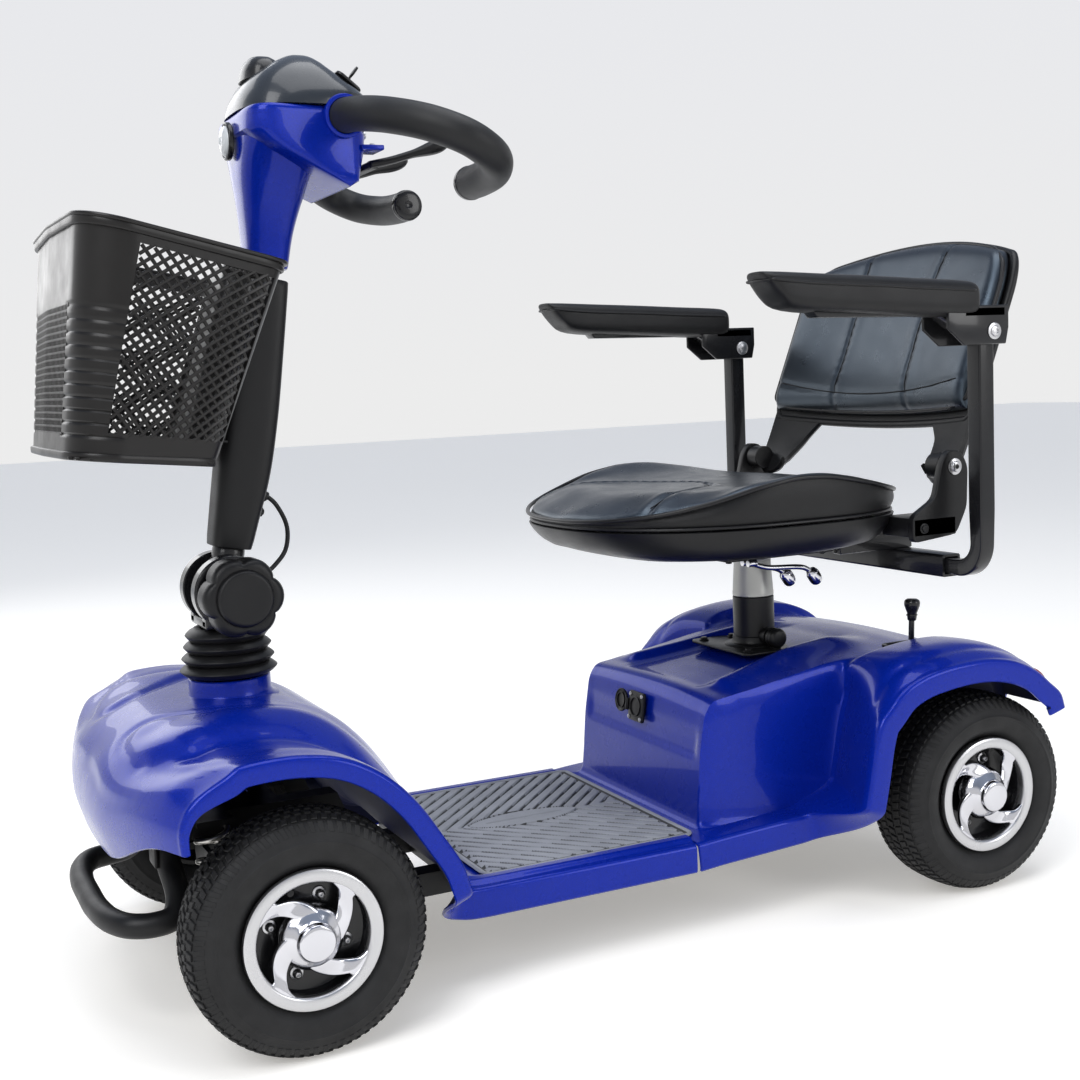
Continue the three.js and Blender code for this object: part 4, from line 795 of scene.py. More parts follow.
def fine(P, n=400, keep=()):
    """Smooth dense version of a side profile that keeps the arc shares of the coarse one."""
    P = np.array(P, float)
    L = np.r_[0, np.cumsum(np.hypot(*np.diff(P, axis=0).T))]
    L /= L[-1]
    m = np.gradient(P, L, axis=0)
    s = np.linspace(0, 1, n)
    out = []
    for x in s:
        k = min(len(P) - 2, max(0, np.searchsorted(L, x, side="right") - 1))
        hh = L[k + 1] - L[k]
        t = (x - L[k]) / hh
        lin = P[k] + (P[k + 1] - P[k]) * t
        cub = (2 * t ** 3 - 3 * t ** 2 + 1) * P[k] + (t ** 3 - 2 * t ** 2 + t) * hh * m[k] + (-2 * t ** 3 + 3 * t ** 2) * P[k + 1] + (t ** 3 - t ** 2) * hh * m[k + 1]
        flat = 1.0 if (hh * 700 > 60) else 0.0
        out.append(lerp(cub, lin, flat))
    return s, np.array(out)


SF, FCM = fine(FC_MID)
_, FCE = fine(FC_EDGE)


def at_share(T, s):
    return np.stack([np.interp(s, SF, T[:, 0]), np.interp(s, SF, T[:, 1])], -1)


def polydist(S, X, pts):
    """Distance in the unrolled sheet (mm) to a polyline of (s, x), with s in arc share times length."""
    d = np.full(S.shape, 1e9)
    for (a, b), (c, e) in zip(pts[:-1], pts[1:]):
        vx, vy = c - a, e - b
        L2 = vx * vx + vy * vy + 1e-9
        t = np.clip(((S - a) * vx + (X - b) * vy) / L2, 0, 1)
        d = np.minimum(d, np.hypot(S - a - t * vx, X - b - t * vy))
    return d


FL = 735.0
FK = 0.9235          # arc share of the nose part in the whole profile
RIDGE1 = np.array([(.10, 132), (.136, 139), (.16, 143), (.186, 148), (.217, 146), (.253, 136), (.286, 125), (.320, 121), (.358, 128), (.388, 139), (.417, 156), (.440, 176), (.465, 200), (.50, 222)])
CREASE2 = np.array([(.10, 178), (.132, 178), (.18, 178), (.221, 175), (.265, 175), (.305, 178), (.34, 187), (.367, 202), (.398, 215), (.425, 232), (.46, 246), (.50, 252)])
LEAF = np.array([(.126, 139), (.131, 130), (.140, 104), (.152, 77), (.169, 59), (.188, 55), (.209, 58), (.234, 68), (.257, 80), (.29, 92), (.33, 100), (.38, 108), (.43, 126), (.47, 150), (.50, 180)])
LIP = np.array([(0, .118), (53, .111), (87, .100), (132, .086), (186, .073), (236, .071), (265, .080)])


def front_surface(S, X):
    ax = np.abs(X)
    w = smooth01((ax - 70) / 170)[..., None]
    a, b = at_share(FCM, S), at_share(FCE, S)
    p = a + (b - a) * w
    y, z = p[..., 0], p[..., 1]
    y = np.where(y < -440, y + 46 * (ax / 265) ** 2.4 * smooth01((-440 - y) / 90), y)
    # behind the fender's tail the sides draw in to the sills, which stand a little higher than the mat's bed
    k = smooth01((S - .585) / .045)
    x = np.where(ax > 150, np.sign(X) * (150 + (ax - 150) * lerp(1, 30 / 115, k)), X)
    z = z + k * 5.0 * smooth01((ax - 163) / 30) * (1 - smooth01((ax - 225) / 36))
    return np.stack([x, y, z], -1)


def front_relief(S, X):
    S = S / FK
    ax = np.abs(X)
    r1 = np.interp(S, RIDGE1[:, 0], RIDGE1[:, 1])
    c2 = np.interp(S, CREASE2[:, 0], CREASE2[:, 1])
    env = smooth01((S - .125) / .05) * (1 - smooth01((S - .40) / .10))
    D = np.zeros(S.shape)
    # centre to ridge 1
    t = np.clip((ax - (r1 - 60)) / 60, 0, 1)
    A = 6.0 * smooth01(t)
    t2 = np.clip((ax - r1) / (c2 - r1 + 1e-6), 0, 1)
    Bq = 6.0 - 14.5 * (0.35 * t2 + 0.65 * t2 ** 2)
    t3 = np.clip((ax - c2) / (258 - c2 + 1e-6), 0, 1)
    Cq = -8.5 + 8.5 * (1 - (1 - t3) ** 1.7)
    D = np.where(ax < r1, A, np.where(ax < c2, Bq, Cq)) * env
    # the groove that bounds the hood's lobe
    d = polydist(S * FL, ax, [(s * FL, x) for s, x in LEAF])
    genv = smooth01((S - .11) / .02) * (1 - smooth01((S - .30) / .14))
    inside = ((ax > np.interp(S, LEAF[:, 0], LEAF[:, 1])) & (S > .128)).astype(float)
    D += (-3.4 * np.exp(-(d / 4.2) ** 2) + 1.8 * inside * smooth01(d / 9)) * genv
    # lip across the nose
    sl = np.interp(ax, LIP[:, 0], LIP[:, 1])
    ds = (S - sl) * FL
    D += np.where(ds > 0, 5.0 * np.exp(-ds / 26), 5.0 * np.exp(-(ds / 3.2) ** 2)) * (1 - 0.55 * smooth01((60 - ax) / 60))
    # soft scallop below the lobe's tip
    q = polydist(S * FL, ax, [(.135 * FL, 150), (.125 * FL, 205), (.165 * FL, 240), (.22 * FL, 252)])
    D += -2.0 * np.exp(-(q / 16) ** 2)
    return D * (1 - smooth01((ax - 226) / 28))


def normals_of(P):
    n = np.cross(np.gradient(P, axis=0), np.gradient(P, axis=1))
    return n / (np.linalg.norm(n, axis=-1, keepdims=True) + 1e-12)


def side_rows(edge, tangent, side, w, n=7):
    """Points that roll from the sheet's border at |x| = 259 over to the outer band, then down it and round under."""
    out = []
    nn = np.stack([np.zeros(len(edge)), tangent[:, 1], -tangent[:, 0]], 1)   # inward, in the y-z plane
    for k in range(1, n + 1):
        th = k / n * pi / 2
        q = edge + nn * (5.5 * (1 - math.cos(th)))
        q[:, 0] = edge[:, 0] + side * 5.8 * math.sin(th)
        out.append(q)
    for f in (.25, .5, .75, .93, 1.0):
        q = edge + nn * (5.5 + (w - 5.5) * f)[:, None]
        q[:, 0] = edge[:, 0] + side * (6 - (0.0 if f < .9 else 0.5 if f < 1 else 2.2))
        out.append(q)
    return out


def soften(A, axis):
    """One three-tap pass along an axis, with the ends held."""
    A = np.moveaxis(A, axis, 0).copy()
    A[1:-1] = (A[:-2] + 2 * A[1:-1] + A[2:]) / 4
    return np.moveaxis(A, 0, axis)


def cover_grid(S, X, surface, relief, wfun):
    SS, XX = np.meshgrid(S, X, indexing="ij")
    P = surface(SS, XX)
    N = normals_of(P)
    if N[len(S) // 2, len(X) // 2, 2] < 0:
        N = -N
    D_ = relief(SS, XX)
    for _ in range(10):
        for ax_ in (0, 1):
            N = soften(N, ax_)
    N /= np.linalg.norm(N, axis=-1, keepdims=True)
    D_ = soften(soften(D_, 0), 1)
    P = P + N * D_[..., None]
    for _ in range(2):
        P[1:-1] = soften(P, 0)[1:-1]
    cols = [P[:, j] for j in range(P.shape[1])]
    e0, e1 = P[:, 0], P[:, -1]
    eps = 0.012
    a = surface(np.maximum(0, S - eps), np.full(len(S), 259.0))
    b = surface(np.minimum(1, S + eps), np.full(len(S), 259.0))
    t = (b - a)[:, 1:]
    t /= np.linalg.norm(t, axis=1, keepdims=True)
    w = wfun(S)
    right = side_rows(e1, t, 1, w)
    left = side_rows(e0, t, -1, w)
    return np.stack(left[::-1] + cols + right, 1)


S1 = np.unique(np.r_[np.linspace(0, .54, 104), np.linspace(.54, .70, 34), np.linspace(.70, 1, 6)])
X1 = np.unique(np.r_[np.linspace(-259, -205, 20), np.linspace(-205, 205, 90), np.linspace(205, 259, 20)])
PF = cover_grid(S1, X1, front_surface, front_relief, lambda s: lerp(20, 32, smooth01((s - .58) / .05)) * lerp(.4, 1, smooth01(s / .13)))
front_shell = shell(PF, -4.2)
nf = PF.shape[0] * PF.shape[1]


def shell_mats(P):
    """Face material list of shell(P): outer faces 0, inner faces 1, border 0."""
    R, C = P.shape[:2]
    out = [0, 1] * ((R - 1) * (C - 1))
    return out + [0] * (2 * (2 * (C - 1) + 2 * (R - 1)))


collar = lathe([[37, 270], [37, 313.2], [37.6, 314], [41, 314], [42, 313], [42.2, 300], [43.4, 296.5], [46, 294], [50, 292.6], [50, 270], [37, 270]], arr(0, -399.5, 0), arr(0, 0, 1), 72)
fmats = shell_mats(PF)
mk("vis_front_cover", merge(front_shell, collar), None, "chassis", ("front_cover",), "body_blue", smooth=32, mats=["blue", "blue_in"], face_mats=fmats + [0] * len(collar[1]))

RC_MID = [[51.8, 101], [60, 101], [72, 101], [77, 110], [84, 190], [91, 232], [101, 247], [150, 253], [204, 262], [250, 270], [317, 277], [380, 279], [430, 272], [470, 250], [494, 215], [504, 170], [506, 140]]
RC_EDGE = [[51.8, 101.6], [80, 104], [140, 107], [196, 110], [211, 121], [220, 160], [228, 205], [242, 244], [266, 270], [300, 283], [345, 289], [385, 290], [425, 283], [458, 268], [482, 246], [494, 224], [499, 206]]


def polyfine(P, n=600, r=9):
    Q = round_profile(P, r, 8)
    L = np.r_[0, np.cumsum(np.hypot(*np.diff(Q, axis=0).T))]
    L /= L[-1]
    s = np.linspace(0, 1, n)
    return s, np.stack([np.interp(s, L, Q[:, 0]), np.interp(s, L, Q[:, 1])], 1)


SR, RCM = polyfine(RC_MID)
_, RCE = polyfine(RC_EDGE, r=26)
RL = 680.0


def rear_surface(S, X):
    ax = np.abs(X)
    back = smooth01((S - .5) / .12)
    w = smooth01((ax - lerp(138, 154, back)) / lerp(13, 16, back))[..., None]
    a = np.stack([np.interp(S, SR, RCM[:, 0]), np.interp(S, SR, RCM[:, 1])], -1)
    b = np.stack([np.interp(S, SR, RCE[:, 0]), np.interp(S, SR, RCE[:, 1])], -1)
    a = a.copy()
    a[..., 1] += np.where(ax <= 170, -6 * (np.minimum(ax, 160) / 160) ** 2 * smooth01((a[..., 1] - 150) / 60), 0)
    # the fender's front wall runs back towards the box, so the box side flares out to it
    g = smooth01((S - .25) / .05) * (1 - smooth01((S - .45) / .14))
    b = b.copy()
    b[..., 0] += 34 * g * (1 - np.clip((ax - 160) / 95, 0, 1))
    # the crown of the fender is highest over the tyre's inner half and rolls down to its outer edge
    e = smooth01((b[..., 1] - 215) / 40)
    b[..., 1] -= e * (14 * np.clip((ax - 205) / 54, 0, 1) ** 2 + 3 * np.clip((205 - ax) / 50, 0, 1) ** 2)
    p = a + (b - a) * w
    k = smooth01((S - .235) / .055)
    x = np.where(ax > 150, np.sign(X) * (150 + (ax - 150) * lerp(30 / 115, 1, k)), X)
    return np.stack([x, p[..., 0], p[..., 1]], -1)


def rear_relief(S, X):
    ax = np.abs(X)
    P = rear_surface(S, X)
    Y, Z = P[..., 1], P[..., 2]
    D = np.zeros(S.shape)
    top = ((Z > 236) & (ax < 156)).astype(float)
    # centre tongue between two raised fins that run back to the post
    fin = np.interp(Y, [126, 160, 200, 245, 300, 360], [100, 92, 82, 74, 72, 74])
    rise = smooth01((Y - 124) / 16) * (1 - smooth01((Y - 300) / 60))
    d = ax - fin
    D += top * rise * 9.0 * np.where(d > 0, np.exp(-(d / 26) ** 2), np.exp(-(d / 7) ** 2))
    # shallow dished panel between the fins
    D += -2.2 * top * smooth01((fin - 12 - ax) / 12) * smooth01((Y - 112) / 14) * (1 - smooth01((Y - 330) / 30))
    # stepped band across the front of the box
    front = ((S > .03) & (S < .30) & (ax < 136)).astype(float)
    D += front * (-2.6 * smooth01((Z - 178) / 4) + 2.2 * smooth01((Z - 205) / 4) + 1.2 * np.exp(-((Z - 203) / 2.0) ** 2)) * (1 - smooth01((Z - 236) / 8)) * (1 - smooth01((ax - 122) / 10))
    # groove along the side of the fender crown
    gd = np.abs(ax - 236)
    D += -1.6 * np.exp(-(gd / 5) ** 2) * smooth01((S - .45) / .06) * (1 - smooth01((S - .86) / .06))
    return D


S2 = np.unique(np.r_[np.linspace(0, .03, 4), np.linspace(.03, .36, 96), np.linspace(.36, .62, 60), np.linspace(.62, 1, 60)])
X2 = np.unique(np.r_[np.linspace(-259, -172, 30), np.linspace(-172, -136, 22), np.linspace(-136, 136, 90), np.linspace(136, 172, 22), np.linspace(172, 259, 30)])
PR = cover_grid(S2, X2, rear_surface, rear_relief, lambda s: lerp(26, 32, 1 - smooth01((s - .24) / .06)))
rear_shell = shell(PR, -4.2)
mk("vis_rear_cover", rear_shell, None, "chassis", ("rear_cover",), "body_blue", smooth=32, mats=["blue", "blue_in"], face_mats=shell_mats(PR))

# ------------------------------------------------------------------ foot mat with moulded chevron ribs
def mat_outline(y, y0=-190.0, y1=63.0, hw=161.0, r=16.0):
    d0, d1 = y - y0, y1 - y
    c = 0.0
    for d in (d0, d1):
        if d < r:
            c = max(c, r - math.sqrt(max(0.0, r * r - (r - d) ** 2)))
    return hw - c


MY = np.unique(np.r_[-190 + 16 * (1 - np.cos(np.linspace(0, pi / 2, 8))), np.linspace(-174, 47, 190), 63 - 16 * (1 - np.cos(np.linspace(0, pi / 2, 8)))])
MU = np.linspace(-1, 1, 261)
YY, UU = np.meshgrid(MY, MU, indexing="ij")
HWM = np.array([mat_outline(y) for y in MY])[:, None]
XX = UU * HWM
AXM = np.abs(XX)


def band(d, w):
    """1 on the groove's floor, 0 outside, sloped walls."""
    return 1 - smooth01((np.abs(d) - w * .5) / 1.3)


pp = (YY - AXM * 0.98) / math.sqrt(2)
pf = (pp / 14.2 + 100) % 1.0
groove = band((pf - 0.5) * 14.2, 2.3)
leaf = 25 * np.sin(np.clip((YY + 140) / 137, 0, 1) * pi) ** 0.55
dl = AXM - leaf
inleaf = (dl < 0).astype(float)
edge_d = np.minimum(HWM - AXM, np.minimum(YY + 190, 63 - YY))
inner = smooth01((edge_d - 9) / 1.5)
G_ = groove * (1 - smooth01((1.5 - dl) / 1.5)) * inner
G_ = np.maximum(G_, band(dl, 2.6) * ((YY > -140) & (YY < -3)))
G_ = np.maximum(G_, band(edge_d - 8, 2.6))
G_ = np.maximum(G_, inleaf * band(AXM, 2.0) * ((YY > -118) & (YY < -22)) * 0.8)
rim_d = smooth01(edge_d / 2.0)
ZM = 103.4 + 2.6 * (1 - G_) * (0.35 + 0.65 * rim_d)
mat_top = np.stack([XX, YY, ZM], -1)
R_, C_ = XX.shape
mv, mf = shell(mat_top, -1.0)
# outer faces over the groove floors, and the underside, take the dark grey: painted shade in the mat's grooves
gm = G_[:-1, :-1] + G_[1:, 1:]
shade_tags = []
for i in range(R_ - 1):
    for j in range(C_ - 1):
        shade_tags += [1 if gm[i, j] > 1.0 else 0, 1]
shade_tags += [0] * (len(mf) - len(shade_tags))
# dark grey for the groove floors: painted shade in the grooves
M["mat_dark"] = material("mat_groove", (0.045, 0.046, 0.048), 0.75, grain=(1400, 0.0003, 0.6), blotch=(25, 0.10))
mk("vis_floor_mat", (mv, mf), None, "chassis", ("floor_mat",), "mat_rubber", smooth=40, mats=["mat", "mat_dark"], face_mats=shade_tags)

# ------------------------------------------------------------------ CAD nodes that keep their shape
def cad(name, mat, bevel=0.8, segs=2, angle=30):
    o = frame["nodes"][name]
    o.data.materials.clear()
    o.data.materials.append(M[mat])
    if bevel:
        md = o.modifiers.new("bevel", "BEVEL")
        md.width = bevel * 0.001
        md.segments = segs
        md.limit_method = "ANGLE"
        md.angle_limit = rad(angle)
    md = o.modifiers.new("wn", "WEIGHTED_NORMAL")
    md.keep_sharp = True
    return o


for nm, mt, bw in (("chassis_frame", "steel_blk", 1.5), ("battery_pack", "plastic", 3.0), ("drive_transaxle", "steel_blk", 1.5), ("front_axle_beam", "steel_blk", 1.2),
                   ("knuckle_left", "zinc", 0.8), ("knuckle_right", "zinc", 0.8), ("tie_rod", "zinc", 0.8)):
    cad(nm, mt, bw)

# ------------------------------------------------------------------ front bumper hoop, springs
bp = [(75, -494, 168), (86, -490, 148), (110, -489, 124), (124, -498, 111), (125, -516, 108), (116, -536, 108), (92, -549, 108), (50, -556, 108), (0, -557, 108)]
bp = bp + [(-x, y, z) for x, y, z in bp[:-1][::-1]]
bumper = sweep(catmull(bp, 220), 12, 28)
feet = merge(*[box(sx * 75 - 15, sx * 75 + 15, -505, -500.8, 150, 192, 1.6) for sx in (1, -1)], *[cylinder_bolt((sx * 75 + dx, -505, 184), (0, -1, 0), 3.6, 3, "hex") for sx in (1, -1) for dx in (-9, 9)])
mk("vis_front_bumper", merge(bumper, feet), "bellows", "chassis", ("front_bumper",), "black_plastic", smooth=40)
for sx, nm in ((1, "left"), (-1, "right")):
    t = np.linspace(0, 1, 150)
    a = t * 3.5 * 2 * pi
    zz = 120.5 + (190 - 120.5) * t
    o = mk("vis_front_spring_" + nm, sweep(np.stack([sx * 106 + 15 * np.cos(a), -451.5 + 15 * np.sin(a), zz], 1), 3.0, 14), "zinc", None, ("front_spring_" + nm,), "silver_steel", smooth=40)
    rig.blend(o, "front_axle", "chassis", start=(sx * 0.106, -0.4515 + MID_Y * .001, 0.121), end=(sx * 0.106, -0.4515 + MID_Y * .001, 0.190))

# ------------------------------------------------------------------ tail lamps, socket, cap
for sx, nm in ((1, "left"), (-1, "right")):
    d = (0, math.cos(rad(33)), math.sin(rad(33)))
    c0 = arr(sx * 225, 484.9, 231.8)
    lampbody = lathe([[0, -0.5], [16, -0.5], [16.6, 0.4], [16.6, 2.6], [15.6, 3.2], [0, 3.2]], c0, d, 48)
    lens = lathe([[0, 3.0], [14.6, 3.0], [14.9, 4.5], [14.2, 7], [12, 9.2], [8, 10.5], [4.2, 11.0], [3.8, 11.6], [0, 11.8]], c0, d, 48)
    mk("vis_tail_lamp_" + nm, merge(lampbody, lens), None, "chassis", ("tail_lamp_" + nm,), "red_lens", smooth=35, mats=["gloss", "red"], face_mats=[0] * len(lampbody[1]) + [1] * len(lens[1]))
# charging socket, its plate tilted with the front wall of the box
tl = rad(8.1)
sn, su = arr(0, -math.cos(tl), math.sin(tl)), arr(0, math.sin(tl), math.cos(tl))
so = arr(0, 84.9, 214)


def on_wall(x, h, d):
    return so + arr(x, 0, 0) + su * h + sn * d


def wall_prism(poly, d0, d1, r=0.8):
    V, F = prism(poly, "z", 0, 1)
    V = np.array([on_wall(x, h, d0 + (d1 - d0) * z) for x, h, z in V])
    return bevelled((V, F), r, 2)


def rrect(hx, hy, r, n=5):
    out = []
    for cx, cy, a0 in ((hx - r, hy - r, 0), (-hx + r, hy - r, 90), (-hx + r, -hy + r, 180), (hx - r, -hy + r, 270)):
        for k in range(n + 1):
            a = rad(a0 + 90 * k / n)
            out.append((cx + r * math.cos(a), cy + r * math.sin(a)))
    return out


plate = wall_prism(rrect(17, 17.5, 3), 0.2, 4.2, 1.0)
lip = lathe([[11.8, 4.0], [11.9, 5.4], [11.4, 5.8], [10.6, 5.6], [10.2, 4.0], [10.0, -9], [11.8, -9], [11.8, 4.0]], so, sn, 40)
back = lathe([[0, -9], [12, -9], [12, -7], [0, -7]], so, sn, 32)
pins = merge(*[rod(so + arr(4.6 * math.cos(rad(a)), 0, 0) + su * 4.6 * math.sin(rad(a)) + sn * (-7.5), so + arr(4.6 * math.cos(rad(a)), 0, 0) + su * 4.6 * math.sin(rad(a)) + sn * 2, 1.4, 12, edge=.3) for a in (90, 210, 330)])
scr = merge(*[cylinder_bolt(on_wall(x, h, 4.0), sn, 1.6, 1.0) for x in (-13.2, 13.2) for h in (-13.6, 13.6)])
hinge_f = rod(on_wall(-19.3, -7, 4.6), on_wall(-19.3, 7, 4.6), 2.2, 16, edge=.4)
parts = [(plate, 0), (lip, 0), (back, 2), (pins, 1), (scr, 3)]
fm = []
for q_, k_ in parts:
    fm += [k_] * len(q_[1])
mk("vis_charging_socket", merge(*[q_ for q_, k_ in parts]), None, "chassis", ("charging_socket",), "black_plastic", smooth=35, mats=["plastic", "brass", "black_in", "satin"], face_mats=fm)
cc = on_wall(-36, 2, 0.9)
cap_ = lathe([[0, 0.6], [12.4, 0.6], [13.6, 1.2], [14, 2.2], [14, 3.4], [13.4, 4.2], [12.8, 4.3], [11.6, 3.0], [10.8, 2.6], [0, 2.6]], cc, sn, 44)
cap_in = lathe([[8.6, 2.4], [9.4, 2.4], [9.4, 4.4], [8.6, 4.4], [8.6, 2.4]], cc, sn, 36)
capm = merge(cap_, cap_in, bevelled((np.array([on_wall(x, h, d) for x in (-25.6, -19.8) for h in (-3.6, 4.6) for d in (1.4, 4.2)]), [(0, 1, 3, 2), (4, 6, 7, 5), (0, 4, 5, 1), (2, 3, 7, 6), (0, 2, 6, 4), (1, 5, 7, 3)]), 0.5, 2), hinge_f)
mk("vis_charging_cap", capm, "plastic", "cap", ("charging_cap",), "black_plastic", smooth=35)

# ------------------------------------------------------------------ seat posts, height pin, freewheel lever
PY = 251.0
pz = arr(0, PY, 0)
outer = lathe([[21.9, 120], [21.9, 330.4], [22.6, 331], [24.2, 331], [25, 330.2], [25, 282], [25, 100], [21.9, 100], [21.9, 120]], pz, (0, 0, 1), 64)
baseplate = prism([(-70, 205), (-62, 200), (54, 200), (60, 206), (60, 256), (54, 262), (30, 278), (-30, 278), (-62, 264), (-70, 258)], "z", 268.5, 271.5, 1.0)
collar2 = lathe([[25.0, 269], [36, 269], [36.5, 270], [36.5, 272.2], [35, 273.4], [27.5, 274.4], [26.6, 276], [26.2, 282], [25.0, 283], [25.0, 269]], pz, (0, 0, 1), 56)
bolts_ = merge(*[cylinder_bolt((x, y, 271.4), (0, 0, 1), 4, 3, "hex") for x, y in ((-54, 212), (46, 212), (-52, 252), (48, 250))])
boss2 = lathe([[0, 0], [9.5, 0], [10, .6], [10, 9], [9, 10], [4.6, 10], [4.6, 2], [0, 2]], (24, PY, 284), (1, 0, 0), 32)
mk("vis_seat_post_outer", merge(outer, baseplate, collar2, bolts_, boss2), "steel_blk", "chassis", ("seat_post_outer",), "black_steel", smooth=35)
pin_ = merge(rod((22.5, PY, 284), (37, PY, 284), 3.8, 20, edge=.4), lathe([[0, 0], [8.4, 0], [9, .6], [9.6, 1.4], [11.4, 3], [12, 4.2], [12, 8], [11.2, 9], [11.2, 10.2], [12, 11.2], [12, 14.2], [11.2, 15.6], [9, 17.6], [8, 18], [0, 18]], (37, PY, 284), (1, 0, 0), 36))
mk("vis_seat_height_pin", pin_, "plastic", "height_pin", ("seat_height_pin",), "black_plastic", smooth=35)
sleeve = lathe([[21.2, 331.6], [24.4, 331.6], [25, 332.2], [25, 336.2], [24.7, 338], [22.7, 370], [22.5, 376], [23.2, 377], [23.2, 380], [22.4, 381.2], [22.2, 384], [0, 384], [0, 330], [21.2, 330], [21.2, 331.6]][:-1], pz, (0, 0, 1), 64)
inner_ = lathe([[0, 150], [20, 150], [21, 151], [21, 332], [0, 332]], pz, (0, 0, 1), 56)
mk("vis_seat_post_inner", merge(sleeve, inner_), "silver", "seat_post", ("seat_post_inner",), "silver_steel", smooth=35)
lv = merge(sweep(catmull([(139, 378, 233), (139, 378.6, 250), (139, 379.6, 280), (139, 380.6, 306)], 24), 3.4, 18), lathe([[0, -1], [4.4, -1], [5.2, 0], [5.6, 3], [5.8, 8], [7.6, 12.5], [9.2, 17], [9.4, 20.5], [8.4, 23.2], [6, 24.8], [0, 25]], (139, 381, 304), (0, 0.03, 1), 32), rod((132, 378, 232), (146, 378, 232), 8, 28, edge=1), lathe([[5.8, 0], [6.6, 0], [6.6, 1.2], [5.8, 1.2], [5.8, 0]], (139, 381, 309), (0, 0, 1), 24))
mk("vis_freewheel_lever", lv, "gloss", "freewheel", ("freewheel_lever",), "black_plastic", smooth=40)
slotp = [(139 + 9.5 * math.cos(a) , 381 + (33 if math.sin(a) > 0 else -33) + 9.5 * math.sin(a)) for a in np.linspace(0, 2 * pi, 33)[:-1]]
sloti = [(139 + 6.4 * math.cos(a) , 381 + (31 if math.sin(a) > 0 else -31) + 6.4 * math.sin(a)) for a in np.linspace(0, 2 * pi, 33)[:-1]]


def tilt_ring(pts, z):
    return np.array([(x, y, z) for x, y in pts])


gz = 276.4
grom = loft([tilt_ring(slotp, gz - 2), tilt_ring(slotp, gz + 1.2), tilt_ring([(139 + (x - 139) * .93, y) for x, y in slotp], gz + 2.0), tilt_ring(sloti, gz + 1.6), tilt_ring(sloti, gz - 2)], close=True)
mk("vis_lever_slot", grom, "plastic", "chassis", (), "black_plastic", smooth=40)

# ------------------------------------------------------------------ steering column, bellows, clamp knob
CY, FZ = -399.5, 404.0
col = lathe([[0, 130], [16, 130], [16, 361], [21, 362], [25, 365.4], [26, 367], [26, 375.4], [25.4, 376], [0, 376]], (0, CY, 0), (0, 0, 1), 56)


def cheek(x0, x1, outx):
    """Round clevis cheek with a stepped outer face and a forged foot."""
    w = abs(x1 - x0)
    prof = [[0, 0], [36.8, 0], [38, 1.2], [38, w - 1.6], [37.2, w - .6], [36, w], [32, w], [31.2, w - 1.0], [24, w - 1.0], [23, w - .4], [15, w - .2], [14, w], [0, w]]
    return lathe(prof, (x0 if outx > 0 else x1, CY, FZ), (outx, 0, 0), 72)


ck = merge(cheek(18, 36, 1), cheek(-36, -18, -1))
foot = merge(prism([(-428, 369), (-372, 369), (-371, 372), (-372, 392), (-379, 400), (-421, 400), (-428, 392)], "x", 18.2, 35.8, 2.0), prism([(-428, 369), (-372, 369), (-371, 372), (-372, 392), (-379, 400), (-421, 400), (-428, 392)], "x", -35.8, -18.2, 2.0), box(-34, 34, -428, -376, 368, 378, 2.0))
pin2 = merge(rod((-40, CY, FZ), (67.6, CY, FZ), 7, 32, edge=.8), cylinder_bolt((-36.2, CY, FZ), (-1, 0, 0), 9, 2.6, "hex"))
arm_p = merge(box(-9, 9, CY, CY + 62, 132, 140, 1.2), rod((0, CY + 55, 106.4), (0, CY + 55, 138), 3.4, 20, edge=.4))
mk("vis_steering_column", merge(col, ck, foot, pin2, arm_p), "gloss", "column", ("steering_column",), "black_steel", smooth=32)
bl = []
for i in range(4):
    z0 = 316 + i * 12.2
    ro, ri, rn = (50 - 1.7 * i * 1.45), (42.5 - 1.6 * i * 1.15), (42.5 - 1.6 * (i + 1) * 1.15)
    for k in range(13):
        a = k / 12
        bulge = math.sin(a * pi) ** 0.62
        base = ri + (rn - ri) * a
        bl.append([base + (ro - base) * bulge, z0 + 12.2 * (a + 0.10 * math.sin(2 * pi * a))])
bl = [[30, 316.2], [41, 316.0]] + bl
bl += [[34.2, 365.4], [33.5, 366.0], [28, 366.0], [27.2, 365.2], [27.2, 352], [30, 345], [30, 316.2]]
mk("vis_steering_bellows", lathe(bl, (0, CY, 0), (0, 0, 1), 80), "bellows", "column", ("steering_bellows",), "bellows_rubber", smooth=60)

kn = []
NL = 96
for i in range(NL):
    a = i / NL * 2 * pi
    w_ = 0.5 + 0.5 * math.cos(6 * a)
    kn.append(a)
kn = np.array(kn)


def knob_ring(x, r0, amp):
    lobe = np.abs(np.cos(3 * kn)) ** 0.7 * 2 - 1          # broad lobes, tight valleys
    r = r0 + amp * lobe
    return np.stack([np.full(NL, x), CY + r * np.cos(kn), FZ + r * np.sin(kn)], 1)


knob = loft([knob_ring(x, r, a) for x, r, a in ((56, 30, 1.5), (56, 34.0, 2.0), (56.8, 36.4, 2.4), (58.6, 37.6, 2.7), (64, 38.1, 2.8), (80, 38.1, 2.8), (85, 37.6, 2.7), (88.4, 35.8, 2.3), (90, 33.0, 1.6), (90.4, 30.0, 0.6), (90.0, 28.6, 0), (91.4, 28.0, 0), (93.6, 27.4, 0), (94.8, 25.6, 0), (95, 23.6, 0), (94.4, 15, 0), (94.2, 8, 0))])
hub = lathe([[7.7, 0], [16.4, 0], [17, .6], [17, 17.6], [15, 18.4], [7.7, 18.4], [7.7, 0]], (38, CY, FZ), (1, 0, 0), 48)
mk("vis_clamp_knob", merge(knob, hub), "plastic", "clamp_knob", ("tiller_knob",), "black_plastic", smooth=42)

# ------------------------------------------------------------------ tiller
TL = rad(11)
FOLD = arr(0, CY, FZ)
TUP, TBK = arr(0, math.sin(TL), math.cos(TL)), arr(0, math.cos(TL), -math.sin(TL))


def ont(h, b=0.0, x=0.0):
    return FOLD + TUP * h + TBK * b + arr(x, 0, 0)


